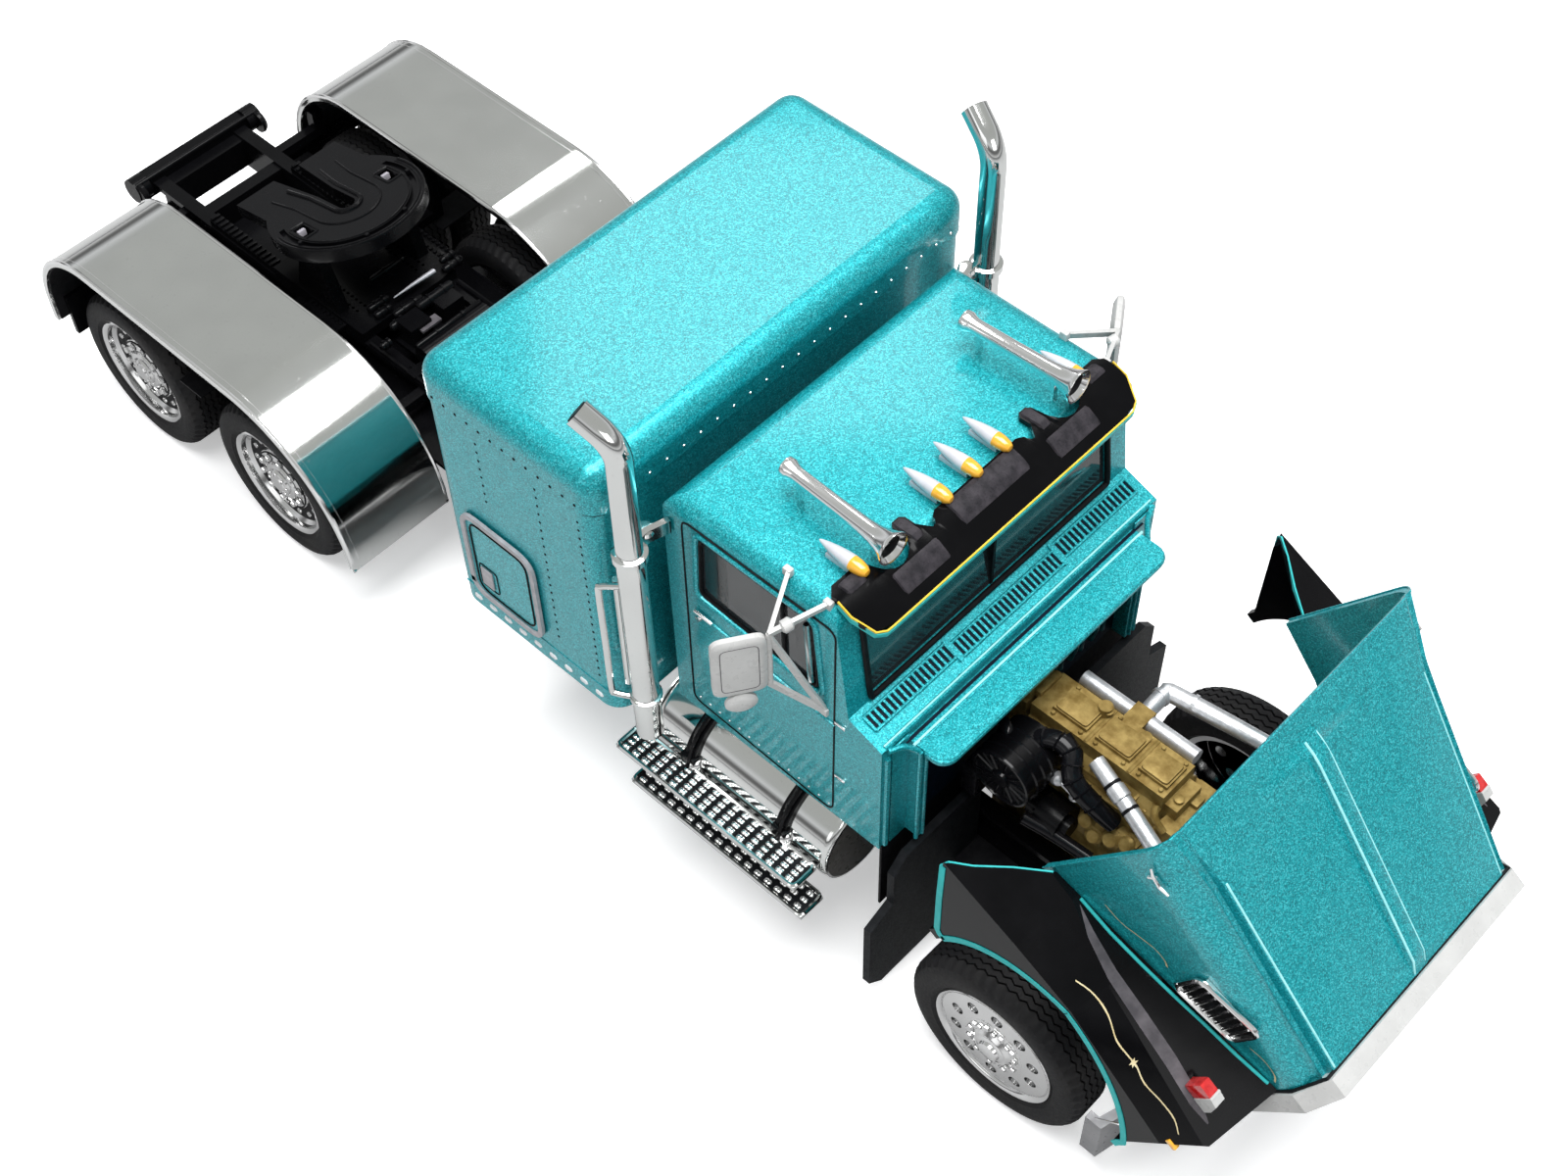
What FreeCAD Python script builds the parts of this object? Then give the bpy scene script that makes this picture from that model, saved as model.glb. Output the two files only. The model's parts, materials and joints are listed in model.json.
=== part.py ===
import FreeCAD, Part
import Sketcher
import math
import os

# Small die-cast long-nose semi truck tractor with its hood tilted open.
# Millimetres, +X forward, +Y to the driver's left, +Z up, z = 0 on the ground.

doc = FreeCAD.newDocument("Tractor")
V = FreeCAD.Vector


# Sizes: every driving dimension has one named cell

SIZES = dict(
    # stations along the truck, the "back" and "ahead" ones measured from the front axle
    front_axle_x=47.855,
    wheel_base=95.2,
    tandem_gap=20.6,
    # wheels
    tyre_rad=8.43,
    tyre_wide=4.4,
    tyre_bore=5.75,
    tyre_edge=0.9,
    rim_slack=0.02,
    front_track=15.6,
    dual_outer=17.1,
    dual_inner=11.8,
    rim_wall=0.5,
    front_disc_out=1.7,
    rear_disc_in=0.9,
    disc_thick=0.5,
    hub_rad=1.6,
    hub_out=0.55,
    hand_hole=0.55,
    hand_hole_ring=3.9,
    hand_hole_count=10,
    hole_reach=2.0,
    lug_ring_front=2.3,
    lug_ring_rear=2.65,
    lug_rad=0.3,
    lug_up=0.4,
    rim_inset=0.5,
    tyre_bead=0.4,
    boss_wide=1.2,
    boss_up=0.5,
    front_boss_wide=0.6,
    front_boss_up=0.15,
    rear_hub_out=1.6,
    pin_short=1.0,
    pin_rad=0.8,
    pin_run=0.06,
    # frame
    rail_out=5.7,
    rail_web=0.6,
    rail_flange=1.4,
    rail_low=12.2,
    rail_top=16.0,
    rail_lip=0.6,
    rail_tail=12.6,
    rail_nose=11.0,
    cross_thick=1.4,
    deck_rise=0.3,
    deck_thick=0.5,
    shelf_out=9.3,
    pan_half=4.3,
    pan_wall=0.4,
    pan_low=10.6,
    pan_front=6.4,
    track_high=0.7,
    track_wide=1.1,
    track_long=10.0,
    # front axle and springs
    beam_deep=2.4,
    beam_long=1.9,
    beam_half=12.6,
    spring_wide=1.6,
    spring_long=17.0,
    spring_thick=0.9,
    # tandem
    housing_rad=1.55,
    diff_rad=3.1,
    beam_arm=1.8,
    airbag_rad=1.7,
    shaft_rad=0.6,
    pinion_rad=1.0,
    pinion_long=0.9,
    # rear fenders
    fender_in=9.86,
    fender_out=21.1,
    fender_top=22.7,
    fender_skin=0.6,
    fender_low=9.2,
    fender_front_arc=13.7,
    fender_rear_arc=9.6,
    fender_tail=9.9,
    post_slack=0.02,
    hanger_gap=0.06,
    hanger_thick=0.5,
    hanger_wide=3.4,
    # fifth wheel
    plate_ahead=2.6,
    plate_rad=7.5,
    plate_thick=1.2,
    plate_high=25.2,
    plate_tilt=12.5,
    plate_rim=0.8,
    plate_rim_up=0.35,
    plate_groove=0.55,
    plate_slot_y=5.0,
    plate_slot_wide=1.2,
    plate_slot_long=1.9,
    throat_wide=1.7,
    throat_mouth=1.6,
    ramp_out=2.0,
    ramp_in=1.6,
    lug_in=2.6,
    lug_long=1.6,
    lug_wall=0.8,
    ear_gap=0.1,
    ear_thick=1.2,
    pivot_rad=0.55,
    pivot_run=0.06,
    pivot_drop=2.2,
    base_half=5.7,
    base_long=13.0,
    base_thick=1.1,
    # rear light bar
    bar_high=1.5,
    bar_long=1.6,
    bar_half=6.4,
    pod_rad=1.25,
    pod_long=1.6,
    # fuel tanks and steps
    tank_rad=4.2,
    tank_y=13.6,
    tank_z=15.6,
    tank_back=36.2,
    tank_front=17.2,
    strap_wide=1.1,
    strap_thick=0.35,
    step_back=37.4,
    step_front=17.8,
    step_in=18.15,
    step_out=20.7,
    step_high=15.7,
    step_low=12.0,
    step_thick=0.5,
    # sleeper
    sleeper_back=55.8,
    sleeper_front=37.0,
    sleeper_half=20.2,
    sleeper_low=19.6,
    sleeper_top=47.8,
    sleeper_wall=1.0,
    sleeper_round=1.9,
    cap_deep=3.9,
    cap_proud=0.12,
    # cab
    cab_back=34.6,
    cab_half=15.8,
    cab_low=20.4,
    cab_roof=45.3,
    cab_wall=0.9,
    roof_round=1.7,
    glass_foot_back=16.7,
    glass_head_back=18.0,
    glass_low=34.7,
    glass_drop=1.9,
    glass_half=13.3,
    glass_thick=0.5,
    door_glass_back=31.4,
    door_glass_front=19.4,
    door_glass_low=36.4,
    door_glass_fall=0.9,
    door_glass_drop=2.1,
    cowl_front=13.5,
    cowl_top=33.5,
    ledge_front=9.9,
    ledge_top=32.5,
    ledge_half=13.0,
    ledge_thick=0.8,
    ledge_round=1.3,
    skirt_thick=0.8,
    skirt_out=1.4,
    boot_half=11.5,
    boot_low=21.5,
    boot_top=38.0,
    # roof gear
    visor_back=19.4,
    visor_front=15.3,
    visor_half=15.1,
    visor_drop=1.0,
    visor_thick=0.7,
    visor_lip=1.5,
    visor_notch=1.8,
    lamp_back=23.0,
    lamp_front=18.6,
    lamp_rad=0.85,
    lamp_near=3.2,
    lamp_far=11.9,
    lamp_tail=1.6,
    lamp_nose=1.0,
    horn_back=28.3,
    horn_front=17.9,
    horn_y=9.7,
    horn_rise=2.3,
    horn_tube=0.45,
    horn_bell=1.45,
    # stacks
    stack_back=34.3,
    stack_gap=3.7,
    stack_rad=1.1,
    stack_low=19.6,
    stack_bend=52.0,
    stack_sweep=3.2,
    stack_turn=60.0,
    stack_splay=16.0,
    stack_tip=1.8,
    clamp_high=42.2,
    # mirrors
    mirror_back=21.2,
    mirror_gap=3.4,
    mirror_wide=3.7,
    mirror_sweep=2.2,
    mirror_drop=1.1,
    mirror_tall=6.4,
    mirror_thick=0.8,
    convex_rad=1.1,
    convex_thick=0.5,
    pad_rad=0.5,
    pad_long=0.5,
    arm_rad=0.35,
    # cab inside
    seat_back=29.0,
    seat_y=7.2,
    seat_half=3.2,
    seat_long=6.5,
    seat_high=5.5,
    rest_high=14.5,
    rest_thick=1.8,
    dash_back=20.0,
    dash_nose=17.8,
    dash_drop=1.2,
    dash_sink=3.5,
    wheel_back=21.6,
    wheel_rad=2.6,
    wheel_rim=0.25,
    wheel_up=9.6,
    wheel_lean=55.0,
    # air tanks between the rails
    air_back=72.8,
    air_pitch=3.4,
    air_rad=1.2,
    air_half=3.9,
    air_up=1.1,
    valve_long=2.2,
    valve_wide=2.4,
    valve_high=2.4,
    # engine bay
    engine_back=12.6,
    engine_ahead=3.4,
    engine_half=3.1,
    engine_low=11.0,
    engine_deck=24.4,
    cover_half=1.9,
    cover_foot=2.6,
    cover_foot_top=25.4,
    cover_shoulder=26.2,
    cover_top=27.6,
    cover_ahead=1.6,
    pad_half=1.2,
    pad_up=0.35,
    lump_out=1.3,
    lump_low=20.4,
    lump_top=22.4,
    pipe_rad=0.65,
    hose_rad=0.75,
    turbo_rad=1.5,
    manifold_low=19.4,
    cleaner_rad=2.7,
    cleaner_back=9.0,
    cleaner_z=25.4,
    cleaner_out=7.3,
    rail_pipe_y=3.35,
    rail_pipe_z=26.4,
    mount_back=5.2,
    mount_front=3.5,
    mount_out=4.0,
    radiator_ahead=7.4,
    radiator_thick=1.8,
    radiator_half=9.3,
    radiator_low=16.2,
    radiator_top=25.4,
    splash_back=12.4,
    splash_in=5.9,
    splash_out=18.6,
    splash_shoulder=16.0,
    splash_low=3.4,
    splash_top=20.0,
    splash_thick=0.7,
    splash_notch=14.4,
    splash_lobe=13.2,
    splash_corner=1.5,
    # hood, drawn closed and then tilted open
    hinge_ahead=15.8,
    hinge_z=9.0,
    hinge_pin=0.5,
    hinge_run=0.06,
    hood_open=35.0,
    hood_back=10.1,
    hood_ahead=11.9,
    hood_rear_half=14.4,
    hood_rear_low=18.8,
    hood_rear_top=33.7,
    hood_rear_drop=1.2,
    hood_waist_back=5.0,
    hood_waist_half=14.0,
    hood_waist_low=18.0,
    hood_waist_top=32.15,
    hood_waist_drop=2.2,
    hood_nose_half=12.4,
    hood_nose_low=11.2,
    hood_nose_top=26.9,
    hood_nose_drop=2.8,
    hood_skin=0.7,
    crease_rear=12.6,
    crease_waist=11.5,
    crease_nose=10.4,
    crease_share=0.17,
    crease_lean=0.7,
    spine_wide=0.9,
    spine_up=0.28,
    vent_ahead=1.0,
    vent_long=5.4,
    vent_low=22.4,
    vent_tall=3.9,
    vent_proud=0.25,
    grille_deep=1.6,
    grille_proud=0.35,
    grille_rim=1.2,
    grille_pitch=2.3,
    ff_out=19.5,
    ff_skin=0.6,
    ff_gap=0.05,
    ff_heel=0.9,
    ff_lip=0.5,
    ff_rear_top=19.4,
    ff_rear_crease=14.4,
    ff_rear_fall=0.1,
    ff_rear_edge=17.3,
    ff_hip_back=7.5,
    ff_hip_top=20.4,
    ff_hip_crease=14.9,
    ff_hip_fall=0.1,
    ff_hip_edge=18.4,
    ff_mid_top=21.2,
    ff_mid_crease=16.8,
    ff_mid_fall=0.7,
    ff_mid_edge=18.9,
    ff_front_top=22.7,
    ff_front_crease=18.5,
    ff_front_fall=2.3,
    ff_front_edge=17.0,
    ff_corner=1.3,
    ff_front_low=10.8,
    ff_ahead=11.7,
    ff_back=15.6,
    ff_rear_inner=9.6,
    ff_rear_outer=14.9,
    ff_rear_foot=8.7,
    ff_foot_z=9.3,
    arch_rad=9.7,
    arch_peak_back=1.5,
    arch_peak_z=18.8,
    arch_front_rad=16.5,
    arch_front_z=12.4,
    marker_ahead=8.4,
    marker_y=16.6,
    marker_z=22.9,
    marker_long=2.2,
    marker_wide=1.0,
    marker_sink=1.2,
    headlamp_rad=1.9,
    headlamp_y=15.4,
    headlamp_z=15.0,
    headlamp_long=0.8,
    # front bumper
    bumper_ahead=13.2,
    bumper_half=17.0,
    bumper_low=2.8,
    bumper_top=8.0,
    bumper_end=10.2,
    bumper_deep=1.5,
    bumper_turn_y=14.2,
    bumper_turn=0.7,
    bumper_flat=6.0,
    bumper_skin=0.7,
    bracket_thick=1.6,
    bracket_half=0.7,
    bracket_up=1.6,
    horn_thick=1.5,
)

sheet = doc.addObject("Spreadsheet::Sheet", "Sizes")
for row, (word, number) in enumerate(SIZES.items(), start=1):
    sheet.set("A%d" % row, word)
    sheet.set("B%d" % row, str(number))
    sheet.setAlias("B%d" % row, word)
doc.recompute()


class Size:
    """A length as an expression on the sheet, with its present value."""

    def __init__(self, text, value):
        self.text = text
        self.value = value

    def _join(self, sign, other, value, swap=False):
        other = size(other)
        first, second = (other, self) if swap else (self, other)
        return Size("(%s %s %s)" % (first.text, sign, second.text), value)

    def __add__(self, other):
        return self._join("+", other, self.value + size(other).value)

    def __radd__(self, other):
        return self._join("+", other, size(other).value + self.value, True)

    def __sub__(self, other):
        return self._join("-", other, self.value - size(other).value)

    def __rsub__(self, other):
        return self._join("-", other, size(other).value - self.value, True)

    def __mul__(self, other):
        return self._join("*", other, self.value * size(other).value)

    def __rmul__(self, other):
        return self._join("*", other, size(other).value * self.value, True)

    def __truediv__(self, other):
        return self._join("/", other, self.value / size(other).value)

    def __neg__(self):
        return Size("(0 - %s)" % self.text, -self.value)


def size(x):
    return x if isinstance(x, Size) else Size(repr(float(x)), float(x))


class Sheet:
    """Reads a cell of the sheet as a Size."""

    def __getattr__(self, word):
        return Size("Sizes." + word, float(sheet.get(word)))


s = Sheet()


def sin(angle):
    return Size("sin(%s * 1 deg)" % angle.text, math.sin(math.radians(angle.value)))


def cos(angle):
    return Size("cos(%s * 1 deg)" % angle.text, math.cos(math.radians(angle.value)))


def root(number):
    return Size("sqrt(%s)" % number.text, math.sqrt(number.value))


def back(distance):
    """Station a distance behind the front axle."""
    return s.front_axle_x - distance


def ahead(distance):
    return s.front_axle_x + distance


# Helpers: bound primitives, sketches and booleans

TURNS = {
    "x": FreeCAD.Rotation(V(0, 1, 0), 90),
    "y": FreeCAD.Rotation(V(1, 0, 0), -90),
    "z": FreeCAD.Rotation(),
}
PLANES = {
    "XZ": FreeCAD.Rotation(V(1, 0, 0), V(0, 0, 1), V(0, -1, 0), "ZXY"),
    "YZ": FreeCAD.Rotation(V(0, 1, 0), V(0, 0, 1), V(1, 0, 0), "ZXY"),
    "XY": FreeCAD.Rotation(),
}
ENDS = {False: (1, 2), True: (2, 1)}
made = {}


def add(kind, name):
    obj = doc.addObject(kind, name)
    obj.Label = name
    made[name] = obj
    return obj


def bind(obj, prop, value):
    obj.setExpression(prop, size(value).text)


def put(obj, x, y, z):
    bind(obj, "Placement.Base.x", x)
    bind(obj, "Placement.Base.y", y)
    bind(obj, "Placement.Base.z", z)
    return obj


def box(name, x0, x1, y0, y1, z0, z1):
    obj = add("Part::Box", name)
    bind(obj, "Length", size(x1) - x0)
    bind(obj, "Width", size(y1) - y0)
    bind(obj, "Height", size(z1) - z0)
    return put(obj, x0, y0, z0)


def rod(name, axis, radius, x, y, z, length):
    """Cylinder along an axis, starting at x, y, z."""
    obj = add("Part::Cylinder", name)
    bind(obj, "Radius", radius)
    bind(obj, "Height", length)
    obj.Placement = FreeCAD.Placement(V(), TURNS[axis])
    return put(obj, x, y, z)


def cone(name, axis, radius1, radius2, x, y, z, length):
    obj = add("Part::Cone", name)
    bind(obj, "Radius1", radius1)
    bind(obj, "Radius2", radius2)
    bind(obj, "Height", length)
    obj.Placement = FreeCAD.Placement(V(), TURNS[axis])
    return put(obj, x, y, z)


def ball(name, radius, x, y, z):
    obj = add("Part::Sphere", name)
    bind(obj, "Radius", radius)
    return put(obj, x, y, z)


def strut(name, radius, start, end):
    """Straight round bar between two points."""
    start = [size(c) for c in start]
    end = [size(c) for c in end]
    run = V(*[b.value - a.value for a, b in zip(start, end)])
    obj = add("Part::Cylinder", name)
    bind(obj, "Radius", radius)
    obj.Height = run.Length
    obj.Placement = FreeCAD.Placement(V(), FreeCAD.Rotation(V(0, 0, 1), run))
    return put(obj, *start)


def sketch(name, plane, points, origin=(0, 0, 0), body=None):
    """Closed outline of (u, v) or (u, v, radius) points; a radius bends the next edge,
    to the right of its run when it is positive and to the left when it is negative."""
    if body is None:
        sk = add("Sketcher::SketchObject", name)
        sk.Placement = FreeCAD.Placement(V(), PLANES[plane])
        put(sk, *origin)
    else:
        sk = body.newObject("Sketcher::SketchObject", name)
        roles = [f for f in body.Origin.OriginFeatures if f.Role == plane + "_Plane"]
        sk.AttachmentSupport = [(roles[0], "")]
        sk.MapMode = "FlatFace"
    nodes = [(size(p[0]), size(p[1])) for p in points]
    bends = [size(p[2]) if len(p) > 2 else None for p in points]
    count = len(nodes)
    flips = [bend is not None and bend.value < 0 for bend in bends]
    for i in range(count):
        a = V(nodes[i][0].value, nodes[i][1].value, 0)
        b = V(nodes[(i + 1) % count][0].value, nodes[(i + 1) % count][1].value, 0)
        if bends[i] is None:
            sk.addGeometry(Part.LineSegment(a, b), False)
            continue
        radius = abs(bends[i].value)
        side = -1 if bends[i].value > 0 else 1
        half = (b - a) * 0.5
        across = V(-half.y, half.x, 0).normalize() * side
        inward = math.sqrt(max(radius ** 2 - half.Length ** 2, 0))
        top = a + half - across * inward + across * radius
        sk.addGeometry(Part.Arc(a, top, b), False)
    for i in range(count):
        following = (i + 1) % count
        starts, ends = ENDS[flips[i]]
        sk.addConstraint(Sketcher.Constraint("Coincident", i, ends, following,
                                             ENDS[flips[following]][0]))
        for kind, coordinate in zip(("DistanceX", "DistanceY"), nodes[i]):
            index = sk.addConstraint(
                Sketcher.Constraint(kind, -1, 1, i, starts, coordinate.value))
            sk.setExpression("Constraints[%d]" % index, coordinate.text)
        if bends[i] is not None:
            index = sk.addConstraint(Sketcher.Constraint("Radius", i, abs(bends[i].value)))
            bound = bends[i].text if bends[i].value > 0 else (-bends[i]).text
            sk.setExpression("Constraints[%d]" % index, bound)
    return sk


def prism(name, plane, points, low, high):
    """Outline on a plane, pushed from low to high along the axis across that plane."""
    low, high = size(low), size(high)
    across = {"XZ": "y", "YZ": "x", "XY": "z"}[plane]
    origin = [size(0)] * 3
    origin["xyz".index(across)] = low
    sk = sketch(name + "_outline", plane, points, origin)
    obj = add("Part::Extrusion", name)
    obj.Base = sk
    obj.DirMode = "Custom"
    obj.Dir = {"x": V(1, 0, 0), "y": V(0, 1, 0), "z": V(0, 0, 1)}[across]
    obj.Solid = True
    bind(obj, "LengthFwd", high - low)
    return obj


def turned(name, points, origin, axis="y"):
    """Half outline of (along, radius) points turned about an axis through origin."""
    sk = sketch(name + "_outline", "XY", points)
    turns = {
        "y": FreeCAD.Rotation(V(0, 1, 0), V(1, 0, 0), V(0, 0, -1), "ZXY"),
        "x": FreeCAD.Rotation(),
    }
    sk.Placement = FreeCAD.Placement(V(), turns[axis])
    put(sk, *origin)
    obj = add("Part::Revolution", name)
    obj.Source = sk
    obj.Axis = V(0, 1, 0) if axis == "y" else V(1, 0, 0)
    for part, value in zip("xyz", origin):
        bind(obj, "Base." + part, value)
    obj.Angle = 360
    obj.Solid = True
    return obj


def fuse(name, *parts):
    obj = add("Part::MultiFuse", name)
    obj.Shapes = list(parts)
    return obj


def group(name, *parts):
    """Solids of one node that do not touch."""
    obj = add("Part::Compound", name)
    obj.Links = list(parts)
    return obj


def cut(name, base, *tools):
    tool = tools[0] if len(tools) == 1 else fuse(name + "_tools", *tools)
    obj = add("Part::Cut", name)
    obj.Base = base
    obj.Tool = tool
    return obj


def common(name, base, tool):
    obj = add("Part::Common", name)
    obj.Base = base
    obj.Tool = tool
    return obj


def mirrored(name, source):
    obj = add("Part::Mirroring", name)
    obj.Source = source
    obj.Normal = V(0, 1, 0)
    return obj


def rounded(name, source, radius, pick):
    """Fillets the edges whose middle and direction pass the pick function."""
    doc.recompute()
    chosen = []
    for index, edge in enumerate(source.Shape.Edges, start=1):
        middle = edge.valueAt((edge.FirstParameter + edge.LastParameter) / 2)
        along = edge.tangentAt((edge.FirstParameter + edge.LastParameter) / 2)
        if pick(middle, along):
            chosen.append((index, size(radius).value, size(radius).value))
    obj = add("Part::Fillet", name)
    obj.Base = source
    obj.Edges = chosen
    return obj


def tilt(obj):
    """Swings a hood piece from its closed place to the open one, about the hinge."""
    hx, hz, angle = ahead(s.hinge_ahead), s.hinge_z, s.hood_open
    obj.Placement = FreeCAD.Placement(V(), FreeCAD.Rotation(V(0, 1, 0), angle.value))
    bind(obj, "Placement.Rotation.Angle", angle)
    return put(obj, hx - (hx * cos(angle) + hz * sin(angle)), 0,
               hz - (hz * cos(angle) - hx * sin(angle)))


mid_axle = back(s.wheel_base - s.tandem_gap / 2)
rear_axle = back(s.wheel_base + s.tandem_gap / 2)
axle_z = s.tyre_rad
plate_x = back(s.wheel_base - s.plate_ahead)
AXLES = (("front", s.front_axle_x), ("mid", mid_axle), ("rear", rear_axle))


# Wheels: tyre, rim and pin of each axle turn together

def tyre(name, x, y):
    """One tyre centred at y, with rounded shoulders and a flat tread."""
    half = s.tyre_wide / 2
    edge = s.tyre_edge
    return turned(name, [
        (y - half + s.tyre_bead, s.tyre_bore),
        (y - half, (s.tyre_bore + s.tyre_rad) / 2),
        (y - half + edge * 0.35, s.tyre_rad - edge * 0.5),
        (y - half + edge, s.tyre_rad),
        (y + half - edge, s.tyre_rad),
        (y + half - edge * 0.35, s.tyre_rad - edge * 0.5),
        (y + half, (s.tyre_bore + s.tyre_rad) / 2),
        (y + half - s.tyre_bead, s.tyre_bore),
    ], (x, 0, axle_z))


def front_rim(name, x, side):
    """Disc wheel with its face near the tyre's outer side."""
    y = side * s.front_track
    half = s.tyre_wide / 2
    outer = s.tyre_bore - s.rim_slack
    face = y + side * s.front_disc_out
    rim = turned(name + "_rim", [
        (y - half + s.rim_inset, outer - s.rim_wall),
        (y - half + s.rim_inset, outer),
        (y + half - s.rim_inset, outer),
        (y + half - s.rim_inset, outer - s.rim_wall),
    ], (x, 0, axle_z))
    disc = turned(name + "_disc", [
        (face - side * s.disc_thick, s.pin_rad + s.rim_slack),
        (face - side * s.disc_thick, outer - s.rim_wall / 2),
        (face, outer - s.rim_wall / 2),
        (face + side * s.front_boss_up, s.hub_rad + s.boss_wide),
        (face, s.hub_rad + s.front_boss_wide),
        (face + side * s.hub_out, s.hub_rad),
        (face + side * s.hub_out, s.pin_rad + s.rim_slack),
    ], (x, 0, axle_z))
    return rim, disc, face


def rear_rim(name, x, side):
    """Deep dish wheel of a dual pair, its disc near the middle of the pair."""
    outer = s.tyre_bore - s.rim_slack
    half = s.tyre_wide / 2
    middle = side * (s.dual_outer + s.dual_inner) / 2
    face = middle + side * s.rear_disc_in
    rims = []
    for tag, y in (("out", side * s.dual_outer), ("in", side * s.dual_inner)):
        rims.append(turned(name + "_rim_" + tag, [
            (y - half + s.rim_inset, outer - s.rim_wall),
            (y - half + s.rim_inset, outer),
            (y + half - s.rim_inset, outer),
            (y + half - s.rim_inset, outer - s.rim_wall),
        ], (x, 0, axle_z)))
    first, last = (s.dual_inner, s.dual_outer) if side > 0 else (-s.dual_outer, -s.dual_inner)
    rims.append(turned(name + "_spacer", [
        (first, outer - s.rim_wall),
        (first, outer - s.rim_wall * 0.2),
        (last, outer - s.rim_wall * 0.2),
        (last, outer - s.rim_wall),
    ], (x, 0, axle_z)))
    disc = turned(name + "_disc", [
        (face - side * s.disc_thick, s.pin_rad + s.rim_slack),
        (face - side * s.disc_thick, outer - s.rim_wall / 2),
        (face, outer - s.rim_wall / 2),
        (face + side * s.boss_up, s.hub_rad + s.boss_wide),
        (face + side * s.boss_up, s.hub_rad),
        (face + side * (s.hub_out + s.rear_hub_out), s.hub_rad * 0.8),
        (face + side * (s.hub_out + s.rear_hub_out), s.pin_rad + s.rim_slack),
    ], (x, 0, axle_z))
    return rims, disc, face


def ring_places(x, radius, shift):
    """Centres of a ring of holes or nuts round an axle."""
    count = int(s.hand_hole_count.value)
    for i in range(count):
        turn = math.radians(360 * (i + shift) / count)
        yield x + radius * math.cos(turn), axle_z + radius * math.sin(turn)


def hand_holes(name, x, face):
    """Ring of round openings through the disc."""
    return [rod("%s_hole_%d" % (name, i), "y", s.hand_hole, px, face - s.hole_reach, pz,
                s.hole_reach * 2)
            for i, (px, pz) in enumerate(ring_places(x, s.hand_hole_ring, 0.5))]


def wheel_nuts(name, x, face, side, radius):
    """Ring of hexagon nuts standing on the disc."""
    nuts = []
    for i, (px, pz) in enumerate(ring_places(x, radius, 0)):
        nut = add("Part::Prism", "%s_nut_%d" % (name, i))
        nut.Polygon = 6
        bind(nut, "Circumradius", s.lug_rad)
        bind(nut, "Height", s.lug_up + s.disc_thick / 2)
        nut.Placement = FreeCAD.Placement(V(), TURNS["y"])
        start = face - s.disc_thick / 2 if side > 0 else face - s.lug_up
        nuts.append(put(nut, px, start, pz))
    return nuts


for tag, x in AXLES:
    wheels = []
    tyres = []
    for side, hand in ((-1, "right"), (1, "left")):
        name = "%s_%s" % (tag, hand)
        if tag == "front":
            rim, disc, face = front_rim(name, x, side)
            nuts = wheel_nuts(name, x, face, side, s.lug_ring_front)
            body = fuse(name + "_blank", rim, disc, *nuts)
            tyres.append(tyre(name + "_tyre", x, side * s.front_track))
        else:
            rims, disc, face = rear_rim(name, x, side)
            nuts = wheel_nuts(name, x, face + side * s.boss_up, side, s.lug_ring_rear)
            body = fuse(name + "_blank", disc, *rims, *nuts)
            tyres.append(tyre(name + "_tyre_out", x, side * s.dual_outer))
            tyres.append(tyre(name + "_tyre_in", x, side * s.dual_inner))
        wheels.append(cut(name + "_wheel", body, *hand_holes(name, x, face)))
    group(tag + "_wheels", *wheels)
    group(tag + "_tyres", *tyres)
    reach = s.front_track + s.front_disc_out if tag == "front" else s.dual_outer - s.pin_short
    rod(tag + "_axle_pin", "y", s.pin_rad, x, -reach, axle_z, reach * 2)


# Frame: two channel rails joined by crossmembers

def rail(side, hand):
    y_out = side * s.rail_out
    y_in = side * (s.rail_out - s.rail_flange)
    y_web = side * (s.rail_out - s.rail_flange + s.rail_web)
    low, high = (y_in, y_out) if side > 0 else (y_out, y_in)
    blank = box("rail_%s_blank" % hand, back(s.wheel_base + s.tandem_gap / 2 + s.rail_tail),
                ahead(s.rail_nose), low, high, s.rail_low, s.rail_top)
    low, high = (y_web, y_out) if side > 0 else (y_out, y_web)
    groove = box("rail_%s_groove" % hand,
                 back(s.wheel_base + s.tandem_gap / 2 + s.rail_tail) - 1,
                 ahead(s.rail_nose) + 1, low, high,
                 s.rail_low + s.rail_lip, s.rail_top - s.rail_lip)
    return cut("rail_" + hand, blank, groove)


def crossmember(name, x):
    return box(name, x, x + s.cross_thick, -s.rail_out + s.rail_flange - 0.1,
               s.rail_out - s.rail_flange + 0.1, s.rail_low + 0.3, s.rail_top - 0.3)


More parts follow.
